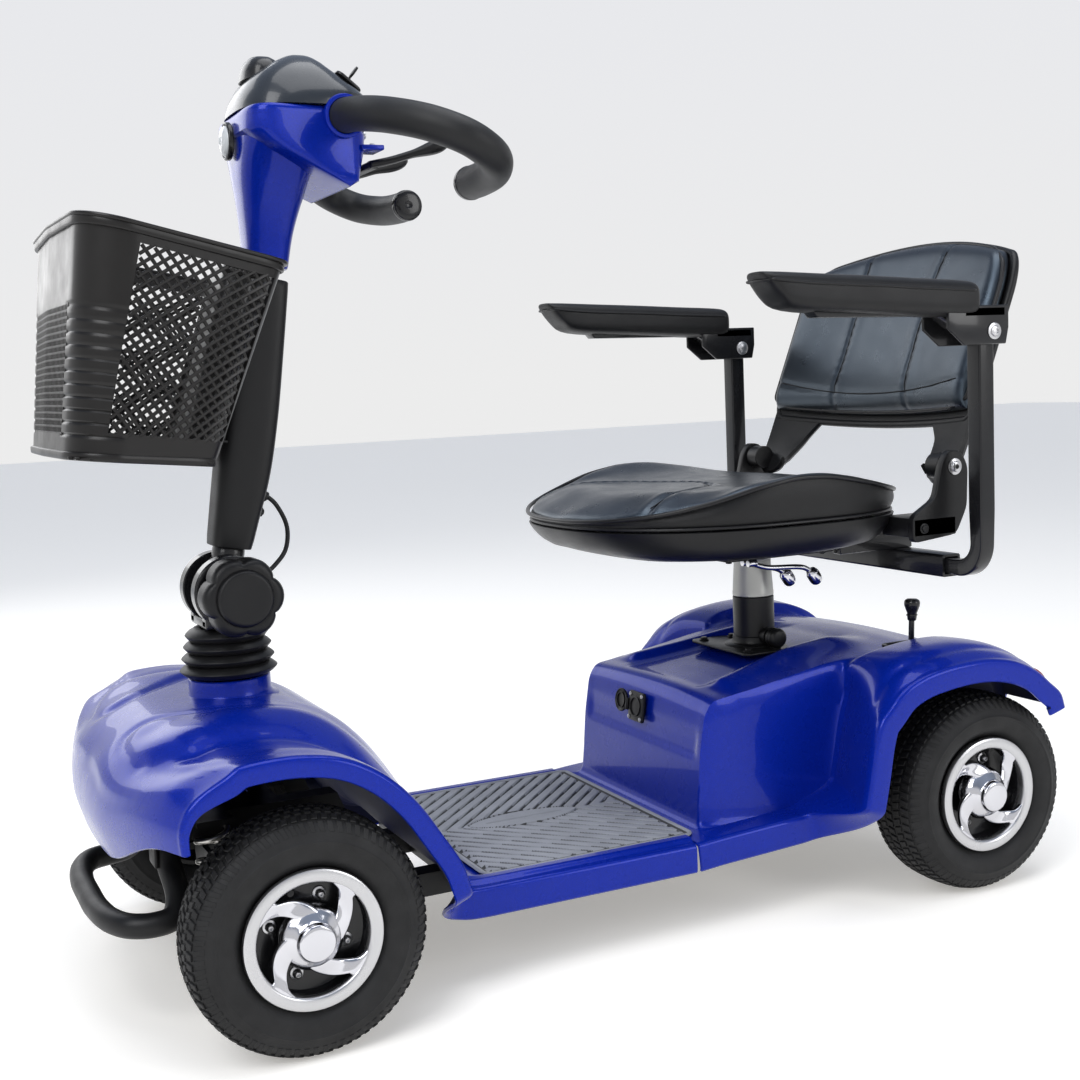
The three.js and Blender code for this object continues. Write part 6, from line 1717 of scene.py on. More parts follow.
pr = [pan_ring(399.8, 120, 110, 0), pan_ring(399.5, 158, 148, 0), pan_ring(399.9, 163, 154, .1), pan_ring(401.5, 170, 162, .3), pan_ring(405, 180, 178, 1), pan_ring(411, 187.6, 187.6, 1.5), pan_ring(417, 192.4, 194, 1.85), pan_ring(424, 196, 199.4, 2.3), pan_ring(430, 198, 202.8, 2.7), pan_ring(433, 198.6, 204.2, 2.85), pan_ring(435.2, 199, 205, 3), pan_ring(436, 198, 204, 3), pan_ring(436, 194, 200, 3), pan_ring(434, 190, 196, 3), pan_ring(433, 120, 120, 3)]
pan = loft(pr)
ribs = []
for k in range(-3, 4):
    ribs.append(bevelled(box(k * 26 - 1.5, k * 26 + 1.5, 60, 290, 397.6, 401), .6, 1))
ear = [(330, 404), (392, 410), (408, 440), (410, 487), (400, 504), (382, 506), (372, 492), (362, 452), (330, 434)]
earr = round_profile(np.array(ear + [ear[0]], float), 9, 5)
ears = []
for sx in (1, -1):
    x0, x1 = (196.2, 205.8) if sx > 0 else (-205.8, -196.2)
    e_ = np.array(ear, float)
    rp_ = []
    m = len(e_)
    for i in range(m):
        a, b, c = e_[i - 1], e_[i], e_[(i + 1) % m]
        la, lc = np.linalg.norm(a - b), np.linalg.norm(c - b)
        k = min(8, la * .4, lc * .4)
        p, q = b + (a - b) / la * k, b + (c - b) / lc * k
        for j in range(4):
            u = j / 3
            rp_.append(tuple((1 - u) ** 2 * p + 2 * u * (1 - u) * b + u * u * q))
    ears.append(prism(rp_, "x", x0, x1, 1.4, 3, 40))
    ears.append(bevelled(box(150 if sx > 0 else -205.8, 205.8 if sx > 0 else -150, 330.2, 392, 410, 432), 2.0, 2))
    ears.append(cylinder_bolt((sx * 205.8, 345, 420), (sx, 0, 0), 4, 2.6, "hex"))
# square cross tube with its open ends
ct = []
for sx in (1,):
    o_ = [(360, -13), (360, 13), (386, 13), (386, -13)]
    outer_r = [(x, 393 + dy, z) for x in (-196, 196) for dy, z in ()]
ctube_o = rrect(13, 13, 3, 4)
ctube_i = rrect(10, 10, 1.6, 4)
n_ = len(ctube_o)
rings_ = []
for x, prof_ in ((-195, [(a * .985, b * .985) for a, b in ctube_o]), (-194.6, ctube_o), (194.6, ctube_o), (195, [(a * .985, b * .985) for a, b in ctube_o]), (195, ctube_i), (-195, ctube_i)):
    rings_.append(np.array([(x, 393 + a, 373 + b) for a, b in prof_]))
cross = loft(rings_, close=True)
brk = merge(*[bevelled(box(sx * 104 - 8, sx * 104 + 8, 300, 405.4, 386.2, 409), 1.6, 2) for sx in (1, -1)], *[cylinder_bolt((sx * 104, 393 + 13, 397), (0, 1, 0), 4.5, 3, "hex") for sx in (1, -1)])
panel_ = [(pan, 0), (merge(*ribs), 0), (merge(*ears), 0), (cross, 1), (brk, 1)]
fm = []
for q_, k_ in panel_:
    fm += [k_] * len(q_[1])
mk("vis_seat_pan", merge(*[q_ for q_, k_ in panel_]), None, "seat", ("seat_pan",), "black_plastic", smooth=38, mats=["plastic", "gloss"], face_mats=fm)
# clamp knobs that lock the armrest width, on the ends of the cross tube
mk("vis_hinge_bolts", merge(*[cylinder_bolt((sx * 206, 390, 487), (sx, 0, 0), 6.2, 3.2) for sx in (1, -1)]), "satin", "seat", (), "silver_steel", smooth=35)

# ------------------------------------------------------------------ seat cushion
EDGE_Y = [-40, -28, 0, 40, 80, 130, 182, 225, 270, 315, 359, 384, 400]
EDGE_Z = [444, 445, 449, 456.5, 466, 480, 488.5, 487, 479, 469, 460, 456, 455]
_ey = np.linspace(-40, 400, 221)
_ez = np.interp(_ey, EDGE_Y, EDGE_Z)
for _ in range(3):
    _ez = np.convolve(np.r_[[_ez[0]] * 4, _ez, [_ez[-1]] * 4], np.ones(9) / 9, "valid")


def edge_z(y):
    """Height of the piped edge: low in front, up beside the thighs, down towards the back."""
    return np.interp(y, _ey, _ez)


def top_z(x, y):
    """The height that the top keeps away from its edges."""
    return 469.5 - 13 * smooth01((72 - y) / 108) - 3.0 * smooth01((y - 250) / 120) + 9 * np.clip(np.abs(x) / 198, 0, 1) ** 2.6 * np.exp(-((y - 190) / 95) ** 2)


def seat_edge(count=176, a=197.6, b=205.8, n=3.0):
    r = seat_plan(0, a, b, n, count)
    r[:, 2] = edge_z(r[:, 1])
    return r


def seat_rows():
    e = seat_edge()
    d = e - arr(0, 178, 0)
    d[:, 2] = 0
    rr = np.linalg.norm(d, axis=1, keepdims=True)
    dn = d / rr
    rows = []
    for inset, z in ((60, 437.3), (14, 437.3), (9, 437.4), (5.5, 438.6)):
        q = e - dn * inset
        q[:, 2] = z
        rows.append(q)
    for k in np.linspace(.08, 1, 12):
        q = e - dn * (5.0 * (1 - k) ** 2.2 - 1.6 * math.sin(pi * k) + 1.4 * k ** 3)
        q[:, 2] = 440 + (e[:, 2] - 440) * k
        rows.append(q)
    for w_ in np.r_[np.array([.006, .014, .024, .036, .05, .068, .09]), np.linspace(.115, .97, 30)]:
        q = arr(0, 178, 0) + d * (1 - w_)
        q[:, 2] = 0
        zc_ = top_z(q[:, 0], q[:, 1])
        g = 1 - np.clip(1 - w_ / .34, 0, 1) ** 2.3
        bump = 6.0 * (1 - math.exp(-w_ / .018)) * math.exp(-w_ / .22)
        q[:, 2] = e[:, 2] + (zc_ - e[:, 2]) * g + bump
        rows.append(q)
    return rows


def cloth_settle(part, name, body, hides, mat, slot, pressure=4.0, frames=20, pin=None, cap=4.0, passes=10):
    """A stuffed piece: a short cloth run under inner pressure, its move smoothed and capped, the result applied."""
    o = mk(name, part, mat, None, hides, slot, smooth=180)
    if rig.quick():
        return o
    sc_ = bpy.context.scene
    me = o.data
    n = len(me.vertices)
    co = np.zeros(n * 3)
    me.vertices.foreach_get("co", co)
    rest = co.reshape(-1, 3).copy()
    held = pin(rest * 1000 - np.array([0, MID_Y, 0]))
    g = o.vertex_groups.new(name="pin")
    g.add([int(i) for i in np.where(held)[0]], 1.0, "REPLACE")
    cl = o.modifiers.new("cloth", "CLOTH")
    s = cl.settings
    s.quality = 6
    s.mass = 0.3
    s.tension_stiffness = s.compression_stiffness = 22
    s.shear_stiffness = 12
    s.bending_stiffness = 1.2
    s.use_pressure = True
    s.uniform_pressure_force = pressure
    s.vertex_group_mass = "pin"
    s.effector_weights.gravity = 0
    cl.collision_settings.use_collision = False
    cl.point_cache.frame_start = 1
    cl.point_cache.frame_end = frames
    sc_.frame_start, sc_.frame_end = 1, frames
    for f in range(1, frames + 1):
        sc_.frame_set(f)
    dg = bpy.context.evaluated_depsgraph_get()
    ev = o.evaluated_get(dg).to_mesh()
    nw = np.zeros(n * 3)
    ev.vertices.foreach_get("co", nw)
    o.evaluated_get(dg).to_mesh_clear()
    mv = nw.reshape(-1, 3) - rest
    o.modifiers.clear()
    ed = np.zeros(len(me.edges) * 2, dtype=int)
    me.edges.foreach_get("vertices", ed)
    ed = ed.reshape(-1, 2)
    deg = np.bincount(ed.ravel(), minlength=n)[:, None] + 1e-9
    mv = np.nan_to_num(mv)
    ln = np.linalg.norm(mv, axis=1, keepdims=True) + 1e-12
    mv *= np.minimum(1, cap * .001 / ln)
    for _ in range(passes):
        acc = np.zeros_like(mv)
        np.add.at(acc, ed[:, 0], mv[ed[:, 1]])
        np.add.at(acc, ed[:, 1], mv[ed[:, 0]])
        mv = .4 * mv + .6 * acc / deg
        mv[held] = 0
    print("settled", name, "largest move mm", float(np.abs(mv).max() * 1000))
    me.vertices.foreach_set("co", (rest + mv).ravel())
    me.update()
    sc_.frame_set(1)
    return o


import time
T0 = time.time()
SR = seat_rows()
SE = seat_edge()


def held_seat(q):
    ez_ = edge_z(q[:, 1])
    rim_ = (np.abs(q[:, 0]) / 197.6) ** 3 + (np.abs(q[:, 1] - 178) / 205.8) ** 3
    return (q[:, 2] < 441) | ((rim_ > .955) & (np.abs(q[:, 2] - ez_) < 1.2))


co_ = cloth_settle(loft(SR), "vis_seat_cushion", "seat", ("seat_cushion",), "leather", "leather", pin=held_seat, pressure=4.0)
# shape the settled skin: a piped edge seam and the two sewn lines that run back from the front corners
me = co_.data
n_ = len(me.vertices)
c = np.zeros(n_ * 3)
me.vertices.foreach_get("co", c)
c = c.reshape(-1, 3)
print("cushion bounds", c.min(0), c.max(0), time.time() - T0)
c[:, :] *= 1000
c[:, 1] -= MID_Y

def seam_y(x):
    """The sewn line on the cushion's top: from the front corners back to the middle."""
    return 182 - 0.0084 * x ** 2


def skin(o, fn_):
    me = o.data
    c = np.zeros(len(me.vertices) * 3)
    me.vertices.foreach_get("co", c)
    c = c.reshape(-1, 3) * 1000
    c[:, 1] -= MID_Y
    c = fn_(c)
    c[:, 1] += MID_Y
    me.vertices.foreach_set("co", (c * .001).ravel())
    me.update()
    return c


def refine(o, k):
    """Applies k levels of subdivision, so that seams can be pressed into the skin."""
    md = o.modifiers.new("sub", "SUBSURF")
    md.levels = md.render_levels = k
    dg = bpy.context.evaluated_depsgraph_get()
    me = bpy.data.meshes.new_from_object(o.evaluated_get(dg))
    o.modifiers.clear()
    o.data = me


refine(co_, 1)


def press_seat(c):
    ds = np.abs(c[:, 1] - seam_y(c[:, 0])) / np.sqrt(1 + (0.0168 * c[:, 0]) ** 2)
    edge_d = (np.abs(c[:, 0]) / 197.6) ** 3 + (np.abs(c[:, 1] - 178) / 205.8) ** 3
    topm = smooth01((.93 - edge_d) / .12) * smooth01((c[:, 2] - 444) / 5)
    c[:, 2] -= topm * (2.6 * np.exp(-(ds / 3.2) ** 2) - 1.0 * np.exp(-((ds - 9) / 6) ** 2))
    # puckers along the seam
    c[:, 2] += topm * 0.5 * np.sin(c[:, 0] * 0.42 + c[:, 1] * 0.31) * np.exp(-((ds - 4) / 5) ** 2)
    # slow creases in the hide
    c[:, 2] += topm * 0.45 * np.sin(c[:, 0] * 0.045 + 1.3 * np.sin(c[:, 1] * 0.03)) * np.cos(c[:, 1] * 0.05 + 0.7)
    return c


cs_ = skin(co_, press_seat)
# flank faces below the piped edge take the darker vinyl without the leather's blue-tinted sheen: partly the flank's own
# black, partly painted shade on the cushion's sides
co_.data.materials.append(M["pad"])
for p_ in co_.data.polygons:
    p_.use_smooth = True
    q_ = np.array(p_.center) * 1000
    q_[1] -= MID_Y
    if q_[2] < edge_z(q_[1]) - .3 and (abs(q_[0]) / 197.6) ** 2.3 + (abs(q_[1] - 178) / 199) ** 2.3 > .86:
        p_.material_index = 1
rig.ride(co_, "seat")
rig.padded(co_, fill=.75)
from mathutils.kdtree import KDTree


def tree_of(c):
    kd = KDTree(len(c))
    for i, p in enumerate(c):
        kd.insert(p, i)
    kd.balance()
    return kd


cs_[:, 1] -= MID_Y
kdc = tree_of(cs_)


pp1 = sweep(seat_edge(300, 198.2, 206.4), 2.5, 14, closed=True)
low_ = seat_edge(260, 194.6, 202.8)
low_[:, 2] = 439.2
pp2 = sweep(low_, 1.9, 12, closed=True)
mk("vis_seat_piping", merge(pp1, pp2), "piping", "seat", (), "leather", smooth=60)
st_ = []
xs = np.linspace(-148, 148, 92)
line = []
for x in xs:
    q, _, _ = kdc.find((x, seam_y(x), float(top_z(np.array(x), np.array(seam_y(x))))))
    line.append((x, seam_y(x), q[2]))
line = np.array(line)
line[:, 2] = np.convolve(np.r_[[line[0, 2]] * 3, line[:, 2], [line[-1, 2]] * 3], np.ones(7) / 7, "valid")
ok = (np.abs(line[:, 0]) / 197.6) ** 2.3 + (np.abs(line[:, 1] - 178) / 199) ** 2.3 < .93
seam_l = sweep(catmull(line[ok], 160) + arr(0, 0, .35), 0.8, 8)
dn = catmull(line[ok], 110)
sts = []
for i in range(0, len(dn) - 1):
    for off in (4.2,):
        t_ = unit(dn[min(i + 1, len(dn) - 1)] - dn[max(0, i - 1)])
        nrm = unit(np.cross(t_, (0, 0, 1)))
        q = dn[i] + nrm * off
        zz = kdc.find(tuple(q))[0][2]
        if i % 2 == 0:
            sts.append(sweep(np.array([q + t_ * k + arr(0, 0, zz - q[2] + .15 - abs(k) * .12) for k in (-1.5, -.75, 0, .75, 1.5)]), .45, 6))
mk("vis_seat_seam", merge(seam_l, *sts), "thread", "seat", (), "leather", smooth=60)

# ------------------------------------------------------------------ backrest
BL = rad(22)
BO, BU, BB = arr(0, 390, 487), arr(0, math.sin(BL), math.cos(BL)), arr(0, math.cos(BL), -math.sin(BL))


def bat(x, h, d):
    return BO + BU * h + BB * d + arr(x, 0, 0)


def bow(x):
    return 26 * (1 - (abs(x) / 200) ** 2)


def bhalf(h, full=194):
    """Half width of the rounded panel at height h."""
    top, bot = 270.0, 62.0
    w = full
    if h > 214:
        w = full - 30 * (1 - math.sqrt(max(0, 1 - ((h - 214) / (top - 214)) ** 2)))
    if h < 86:
        w = full - 12 * (1 - math.sqrt(max(0, 1 - ((86 - h) / 24) ** 2)))
    return w


HB = np.r_[62, 63, 66, 72, 80, np.linspace(90, 214, 16), 224, 234, 243, 251, 258, 263, 266]
UB = np.linspace(-1, 1, 61)
Pb = np.array([[bat(u * bhalf(h), h + 32 * (1 - u * u) * smooth01((h - 170) / 92), 10 + bow(u * bhalf(h))) for u in UB] for h in HB])
shellb = shell(Pb, -8.0)
rim_p = np.concatenate([Pb[0], Pb[1:, -1], Pb[-1, ::-1][1:], Pb[-2:0:-1, 0]])
rimb = sweep(np.array([p + BB * 3.6 for p in catmull(np.r_[rim_p, rim_p[:1]], 320)[:-1]]), 5.0, 14, closed=True)
legs = []
for sx in (1, -1):
    g_ = []
    for h in np.linspace(-16, 72, 22):
        xin = np.interp(h, [-16, 10, 40, 66, 72], [150, 140, 128, 108, 104])
        row = []
        for t_ in np.linspace(0, 1, 18):
            xx = lerp(xin, 193, t_) * sx
            edge_ = 1.0
            row.append(bat(xx, h + (8 * (abs(t_ - .5) * 2) ** 3 if h < 0 else 0), 10 + bow(xx) * smooth01((h + 16) / 60)))
        g_.append(row)
    legs.append(shell(np.array(g_), -8.0 * sx))
    legs.append(lathe([[0, 0], [14.2, 0], [15, .8], [15, 20.2], [14.2, 21], [11, 21], [10.4, 20.4], [0, 20.4]], (sx * 172, 390, 487), (sx, 0, 0), 48))
    legs.append(rod((sx * 190, 390, 487), (sx * 209.6, 390, 487), 5, 24, edge=.6))
    # stiffening rib down the leg
    legs.append(sweep(catmull([bat(sx * 160, 0, 14 + 8), bat(sx * 152, 30, 24 + 8), bat(sx * 148, 62, 30 + 8)], 16), 3.2, 10))
bb4 = []
for sx in (1, -1):
    for x_, h in ((92, 108), (92, 208), (26, 108), (26, 208)):
        bb4.append(cylinder_bolt(bat(sx * x_, h, 10 + bow(x_) + 8.0), BB, 4.2, 2.4))
mk("vis_backrest_shell", merge(shellb, rimb, *legs), "plastic", "backrest", ("backrest_shell",), "black_plastic", smooth=40)
mk("vis_backrest_bolts", merge(*bb4), "satin", "backrest", (), "silver_steel", smooth=35)

HC = np.r_[72, 74, 78, 84, 92, np.linspace(102, 210, 18), 220, 230, 240, 249, 256, 262, 266, 268]
UC = np.r_[-1, -.995, -.98, -.955, np.linspace(-.92, .92, 53), .955, .98, .995, 1]


def cdepth(u, h):
    e = min(1, (1 - abs(u)) / .085)
    v = min(1, min(h - 72, 268 - h) / 20)
    roll = math.sqrt(max(0, 1 - (1 - max(0, e)) ** 2)) * math.sqrt(max(0, 1 - (1 - max(0, v)) ** 2))
    return 4 + (16 + 6 * (1 - u * u)) * roll


front_g, back_g = [], []
for h in HC:
    rf, rb = [], []
    for u in UC:
        hx = bhalf(h, 190) - 1
        xx = u * hx
        hh = h + 30 * (1 - u * u) * smooth01((h - 170) / 92)
        rf.append(bat(xx, hh, 8.2 + bow(xx) - cdepth(u, h)))
        rb.append(bat(xx, hh, 8.2 + bow(xx)))
    front_g.append(rf)
    back_g.append(rb)
R2, C2 = len(HC), len(UC)
V2 = np.concatenate([np.array(front_g).reshape(-1, 3), np.array(back_g).reshape(-1, 3)])
F2 = []
idq = lambda s, i, j: s * R2 * C2 + i * C2 + j
for i in range(R2 - 1):
    for j in range(C2 - 1):
        F2.append((idq(0, i, j), idq(0, i, j + 1), idq(0, i + 1, j + 1), idq(0, i + 1, j)))
        F2.append((idq(1, i, j), idq(1, i + 1, j), idq(1, i + 1, j + 1), idq(1, i, j + 1)))
for j in range(C2 - 1):
    F2.append((idq(0, 0, j + 1), idq(0, 0, j), idq(1, 0, j), idq(1, 0, j + 1)))
    F2.append((idq(0, R2 - 1, j), idq(0, R2 - 1, j + 1), idq(1, R2 - 1, j + 1), idq(1, R2 - 1, j)))
for i in range(R2 - 1):
    F2.append((idq(0, i, 0), idq(0, i + 1, 0), idq(1, i + 1, 0), idq(1, i, 0)))
    F2.append((idq(0, i + 1, C2 - 1), idq(0, i, C2 - 1), idq(1, i, C2 - 1), idq(1, i + 1, C2 - 1)))


def depth_of(q):
    """Distance in front of the cushion's back face."""
    rel = q - BO
    return (8.2 + 26 * (1 - (np.abs(q[:, 0]) / 200) ** 2)) - rel @ BB


bo_ = cloth_settle((V2, F2), "vis_backrest_cushion", "backrest", ("backrest_cushion",), "leather", "leather", pin=lambda q: depth_of(q) < 9.0, pressure=3.0, cap=3.0)
refine(bo_, 1)
SX_ = 66.0


def seam_bx(h):
    return SX_ + 7 * ((h - 170) / 100) ** 2


def press_back(c):
    rel = c - BO
    h = rel @ BU
    dpt = depth_of(c)
    fr = smooth01((dpt - 8) / 6)
    ds = np.abs(np.abs(c[:, 0]) - seam_bx(h))
    dh = np.abs(h - (92 + 0.0004 * c[:, 0] ** 2))
    mv_ = -(1.9 * np.exp(-(ds / 2.4) ** 2) - 0.5 * np.exp(-((ds - 9) / 7) ** 2)) - 1.5 * np.exp(-(dh / 2.4) ** 2) + 0.5 * np.sin(h * .5) * np.exp(-((ds - 4) / 4) ** 2)
    mv_ += 0.5 * np.sin(c[:, 0] * .05 + 1.1 * np.sin(h * .04)) * np.cos(h * .06)
    c -= np.outer(mv_ * fr, BB)
    return c


cb_ = skin(bo_, press_back)
for p_ in bo_.data.polygons:
    p_.use_smooth = True
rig.ride(bo_, "backrest")
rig.padded(bo_, fill=.75)
cb_[:, 1] -= MID_Y
kdb = tree_of(cb_)
per = []
for u in np.linspace(-.86, .86, 60):
    hx = bhalf(74, 190)
    per.append(bat(u * hx, 74, 8.2 + bow(u * hx) - 8))
left_ = []
for h in np.linspace(84, 250, 60):
    left_.append(bat(bhalf(h, 190) + .6, h, 8.2 + bow(190) - 9))
topp = []
for u in np.linspace(.88, -.88, 70):
    hx = bhalf(266, 190)
    topp.append(bat(u * hx, 266 + 30 * (1 - u * u), 8.2 + bow(u * hx) - 10))
right_ = []
for h in np.linspace(250, 84, 60):
    right_.append(bat(-bhalf(h, 190) - .6, h, 8.2 + bow(190) - 9))
loopb = catmull(per + left_ + topp + right_ + per[:1], 420)[:-1]
for _ in range(6):
    loopb = (np.roll(loopb, 1, 0) + 2 * loopb + np.roll(loopb, -1, 0)) / 4
pipe_b = sweep(loopb, 2.5, 14, closed=True)


def on_back(x, h):
    """Point on the cushion's front skin."""
    best = None
    p = bat(x, h, 8.2 + bow(x) - 26)
    q, _, _ = kdb.find(tuple(p))
    d_ = (np.array(q) - BO) @ BB
    return bat(x, h, d_)


seams_b = []
for sx in (1, -1):
    ln_ = np.array([on_back(sx * seam_bx(h), h) for h in np.linspace(95, 274, 64)])
    for _ in range(3):
        ln_[1:-1] = (ln_[:-2] + 2 * ln_[1:-1] + ln_[2:]) / 4
    seams_b.append(sweep(ln_ - BB * .3, .8, 8))
ln_ = np.array([on_back(x, 92 + 0.0004 * x ** 2) for x in np.linspace(-172, 172, 90)])
for _ in range(3):
    ln_[1:-1] = (ln_[:-2] + 2 * ln_[1:-1] + ln_[2:]) / 4
seams_b.append(sweep(ln_ - BB * .3, .8, 8))
mk("vis_backrest_piping", pipe_b, "piping", "backrest", (), "leather", smooth=60)
mk("vis_backrest_seams", merge(*seams_b), "thread", "backrest", (), "leather", smooth=60)

# ------------------------------------------------------------------ arm tubes and armrests
for sx, nm in ((1, "left"), (-1, "right")):
    arc_ = [(216 + 30 * math.sin(a), 403 - 30 * math.cos(a)) for a in np.linspace(0, pi / 2, 12)]
    pl = [(40, 373), (90, 373), (150, 373), (205, 373)] + arc_ + [(246, 440), (246, 500), (246, 560), (246, 627)]
    pts = np.array([(sx * x, 393, z) for x, z in pl])
    sq = np.array(rrect(1.0, 1.0, .22, 4))
    w_ = np.array([[8.8 * a, 8.8 * b] for a, b in sq]) / 8.8
    tb = sweep(pts, [8.7] * 4 + [9.6] * 12 + [10.4] * 4, cap="none", section=np.array([[a, b] for a, b in w_]))
    tb2 = merge(tb, bevelled(box(sx * 246 - 8, sx * 246 + 8, 385, 401, 620, 646), 2, 2), rod((sx * 232, 393, 636), (sx * 260, 393, 636), 9, 32, edge=.8), rod((sx * 225.4, 393, 636), (sx * 266.6, 393, 636), 4, 20, edge=.4))
    V_ = tb2[0]
    mk("vis_arm_tube_" + nm, tb2, "gloss", "arm_" + nm, ("arm_tube_" + nm,), "black_steel", smooth=40)

    # bracket folded round the upright, flat arm under the pad
    sidep = [(330, 640), (352, 622), (410, 622), (414, 640), (414, 664), (330, 664)]
    s1 = prism(sidep, "x", 224, 228, 1.2)
    s2 = prism(sidep, "x", 264, 268, 1.2)
    topb = bevelled(box(224, 268, 352, 410, 651, 663), 2.0, 3)
    armb = prism([(170, 656), (330, 654), (352, 640), (352, 664), (170, 672), (160, 668)], "x", 236, 256, 1.4)
    bolts2 = merge(cylinder_bolt((268, 393, 636), (1, 0, 0), 6.0, 3.0), cylinder_bolt((224, 393, 636), (-1, 0, 0), 6.0, 3.0, "hex"))
    body_m = merge(s1, s2, topb, armb)
    pr_ = []
    rowsP = [[92, 690, 12, 7], [92.6, 690, 17, 10.5], [94.5, 689.4, 20, 13.5], [98, 688, 22.4, 15.6], [104, 686, 24.4, 17.4], [122, 683.6, 26, 19.6], [150, 681, 27.2, 20.8], [190, 679, 27.4, 21], [240, 677, 27.4, 21], [290, 674, 27.4, 21], [340, 672, 27.4, 21], [360, 671.2, 27.2, 20.6], [368, 671, 26.2, 19.6], [372, 671, 24.4, 17.8], [373.8, 671, 21, 14.6], [374, 671, 15, 9]]
    for y, z, w, h in rowsP:
        rr = ring(0, 0, 0, w, h, 3.4, 64)
        # flat underside, crowned top
        slant = 30 * math.exp(-((y - 92) / 26) ** 2) * (0.5 - rr[:, 1] / 42)
        pr_.append(np.stack([246 + rr[:, 0], y + slant, z + np.where(rr[:, 1] > 0, rr[:, 1], rr[:, 1] * .92)], 1))
    padp = loft(pr_)
    bm_ = padp[0]
    # sewn edge high on the side of the pad
    seamp = []
    for y in np.linspace(104, 366, 60):
        z = np.interp(y, [r[0] for r in rowsP], [r[1] for r in rowsP])
        w = np.interp(y, [r[0] for r in rowsP], [r[2] for r in rowsP])
        seamp.append((246 + w * .985, y, z + 9))
    seamq = [(2 * 246 - x, y, z) for x, y, z in seamp]
    frontc = [(246 + 20 * math.cos(a), 108.5 - 5.5 * math.sin(a), 686 + 8) for a in np.linspace(.3, pi - .3, 14)]
    loopp = seamp[::-1] + frontc + seamq + [(246 + 18 * math.cos(a), 367 + 5.5 * math.sin(a), 680) for a in np.linspace(pi - .3, .3, 14)]
    lp = catmull(loopp + loopp[:1], 220)[:-1]
    for _ in range(4):
        lp = (np.roll(lp, 1, 0) + 2 * lp + np.roll(lp, -1, 0)) / 4
    sm_ = sweep(lp, 1.5, 10, closed=True)
    A_, B_, C3, D_ = body_m, padp, sm_, bolts2
    if sx < 0:
        A_, B_, C3, D_ = mirrored(A_), mirrored(B_), mirrored(C3), mirrored(D_)
    po = mk("vis_armrest_" + nm, B_, "pad", "rest_" + nm, ("armrest_" + nm,), "arm_pad", smooth=40, subdiv=1)
    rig.padded(po, fill=.9)
    mk("vis_armrest_bracket_" + nm, A_, "gloss", "rest_" + nm, (), "black_steel", smooth=35)
    mk("vis_armrest_seam_" + nm, C3, "pad", "rest_" + nm, (), "arm_pad", smooth=60)
    mk("vis_armrest_bolts_" + nm, D_, "satin", "rest_" + nm, (), "silver_steel", smooth=35)

# ------------------------------------------------------------------ floor, light, camera
M["floor"] = material("studio_floor", (0.86, 0.84, 0.80), 0.6, spec=0.1, blotch=(0.6, 0.01))


def studio():
    me = bpy.data.meshes.new("floor")
    s = 14.0
    me.from_pydata([(-s, -s, 0), (s, -s, 0), (s, s, 0), (-s, s, 0)], [], [(0, 1, 2, 3)])
    fb = [n for n in M["floor"].node_tree.nodes if n.type == "BSDF_PRINCIPLED"][0]
    fb.inputs["Emission Color"].default_value = (1.0, 0.975, 0.93, 1)
    fb.inputs["Emission Strength"].default_value = 0.32
    fl = bpy.data.objects.new("floor", me)
    me.materials.append(M["floor"])
    bpy.context.scene.collection.objects.link(fl)
    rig.stage(fl)


studio()


def area(name, loc, at, size, power, size_y=None, color=(1, 1, 1)):
    l = bpy.data.lights.new(name, "AREA")
    l.energy = power
    l.size = size
    if size_y:
        l.shape = "RECTANGLE"
        l.size_y = size_y
    l.color = color
    o = bpy.data.objects.new(name, l)
    o.location = loc
    o.rotation_euler = (Vector(at) - Vector(loc)).to_track_quat("-Z", "Y").to_euler()
    bpy.context.scene.collection.objects.link(o)
    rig.stage(o)
    return o


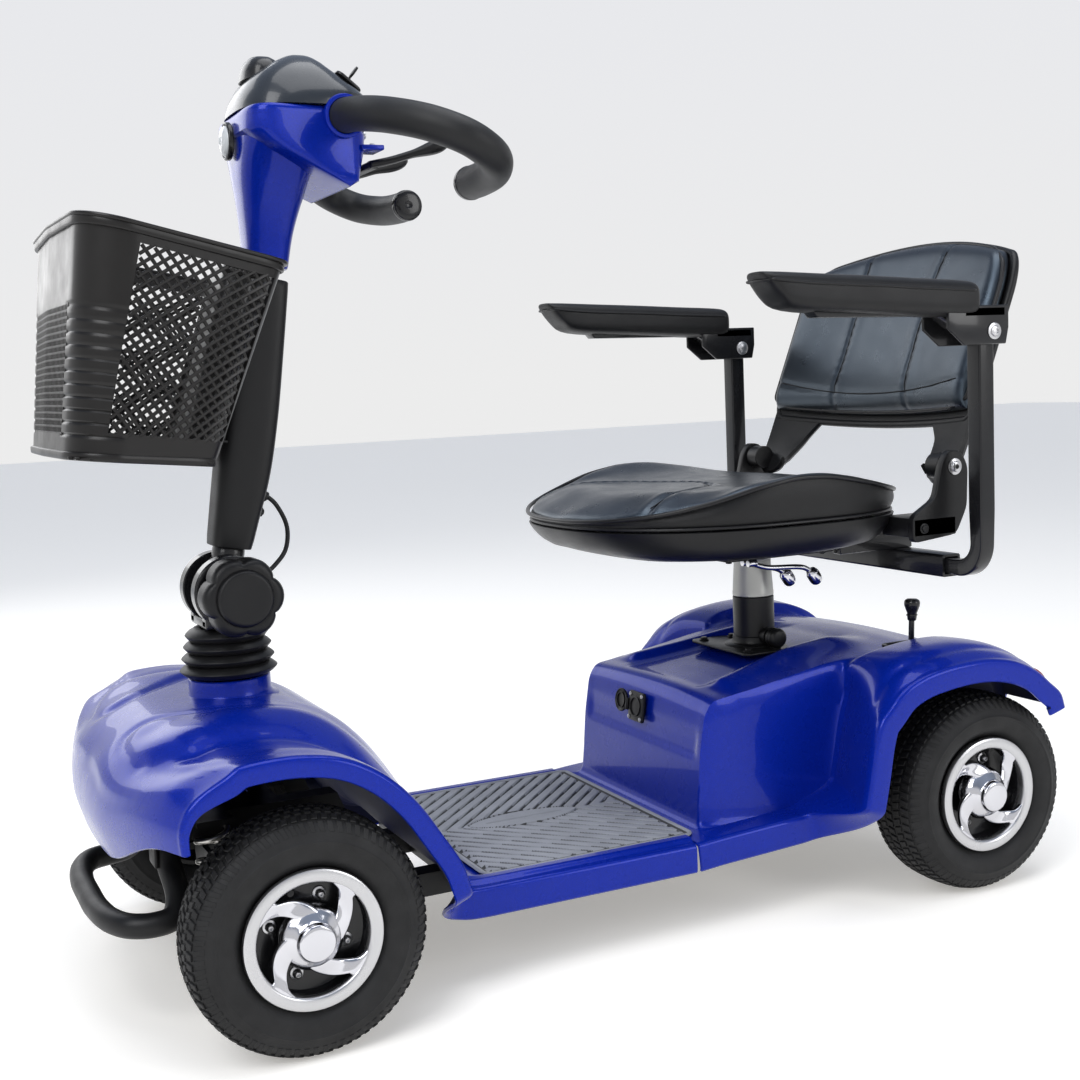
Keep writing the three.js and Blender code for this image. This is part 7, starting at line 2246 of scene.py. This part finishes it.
area("key", (1.6, -2.2, 2.6), (0, 0, .45), 1.6, 62, 2.2)
area("top", (0.3, 0.2, 3.0), (0, 0, .4), 2.4, 42, 2.0)
area("side", (2.6, 1.7, 1.5), (0, 0, .45), 1.2, 26, 1.8)
area("fill", (-2.4, -1.0, 1.8), (0, 0, .4), 1.8, 20, 2.0)
w = bpy.data.worlds.new("studio")
bpy.context.scene.world = w
w.use_nodes = True
bg = w.node_tree.nodes["Background"]
nt = w.node_tree
gen = nt.nodes.new("ShaderNodeTexCoord").outputs["Generated"]
sx_ = nt.nodes.new("ShaderNodeSeparateXYZ")
nt.links.new(gen, sx_.inputs[0])
rp = nt.nodes.new("ShaderNodeValToRGB")
nt.links.new(sx_.outputs["Z"], rp.inputs[0])
el_ = rp.color_ramp.elements
el_[0].position, el_[0].color = 0.0, (1.0, 1.0, 1.0, 1)
el_[1].position, el_[1].color = 1.0, (0.42, 0.50, 0.66, 1)
e_ = el_.new(0.30)
e_.color = (0.95, 0.96, 1.0, 1)
e_ = el_.new(0.45)
e_.color = (0.30, 0.34, 0.42, 1)
nt.links.new(rp.outputs[0], bg.inputs[0])
bg.inputs[1].default_value = 0.84
cam_d = bpy.data.cameras.new("cam")
cam_d.lens = 49.195
cam_d.sensor_width = 36
cam_d.clip_start = 0.05
cam = bpy.data.objects.new("cam", cam_d)
sc = bpy.context.scene
sc.collection.objects.link(cam)
az, el, roll = 1.12812933, 0.10835082, -0.04382429
back_ = Vector((math.sin(az) * math.cos(el), -math.cos(az) * math.cos(el), math.sin(el)))
right_v = Vector((math.cos(az), math.sin(az), 0))
up_v = back_.cross(right_v)
r2 = right_v * math.cos(roll) + up_v * math.sin(roll)
u2 = -right_v * math.sin(roll) + up_v * math.cos(roll)
m4 = Matrix((r2, u2, back_)).transposed().to_4x4()
m4.translation = Vector((1.5097743137, -0.7507017942 + MID_Y * .001, 0.6053068741))
cam.matrix_world = m4
sc.camera = cam
sc.view_settings.view_transform = "Standard"
sc.view_settings.look = "None"

# ------------------------------------------------------------------ sizes and the end
NLO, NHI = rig.bounds()
with open("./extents.json", "w") as fh:
    json.dump({"cad_lo": list(LO), "cad_hi": list(HI), "visual_lo": list(NLO), "visual_hi": list(NHI)}, fh)
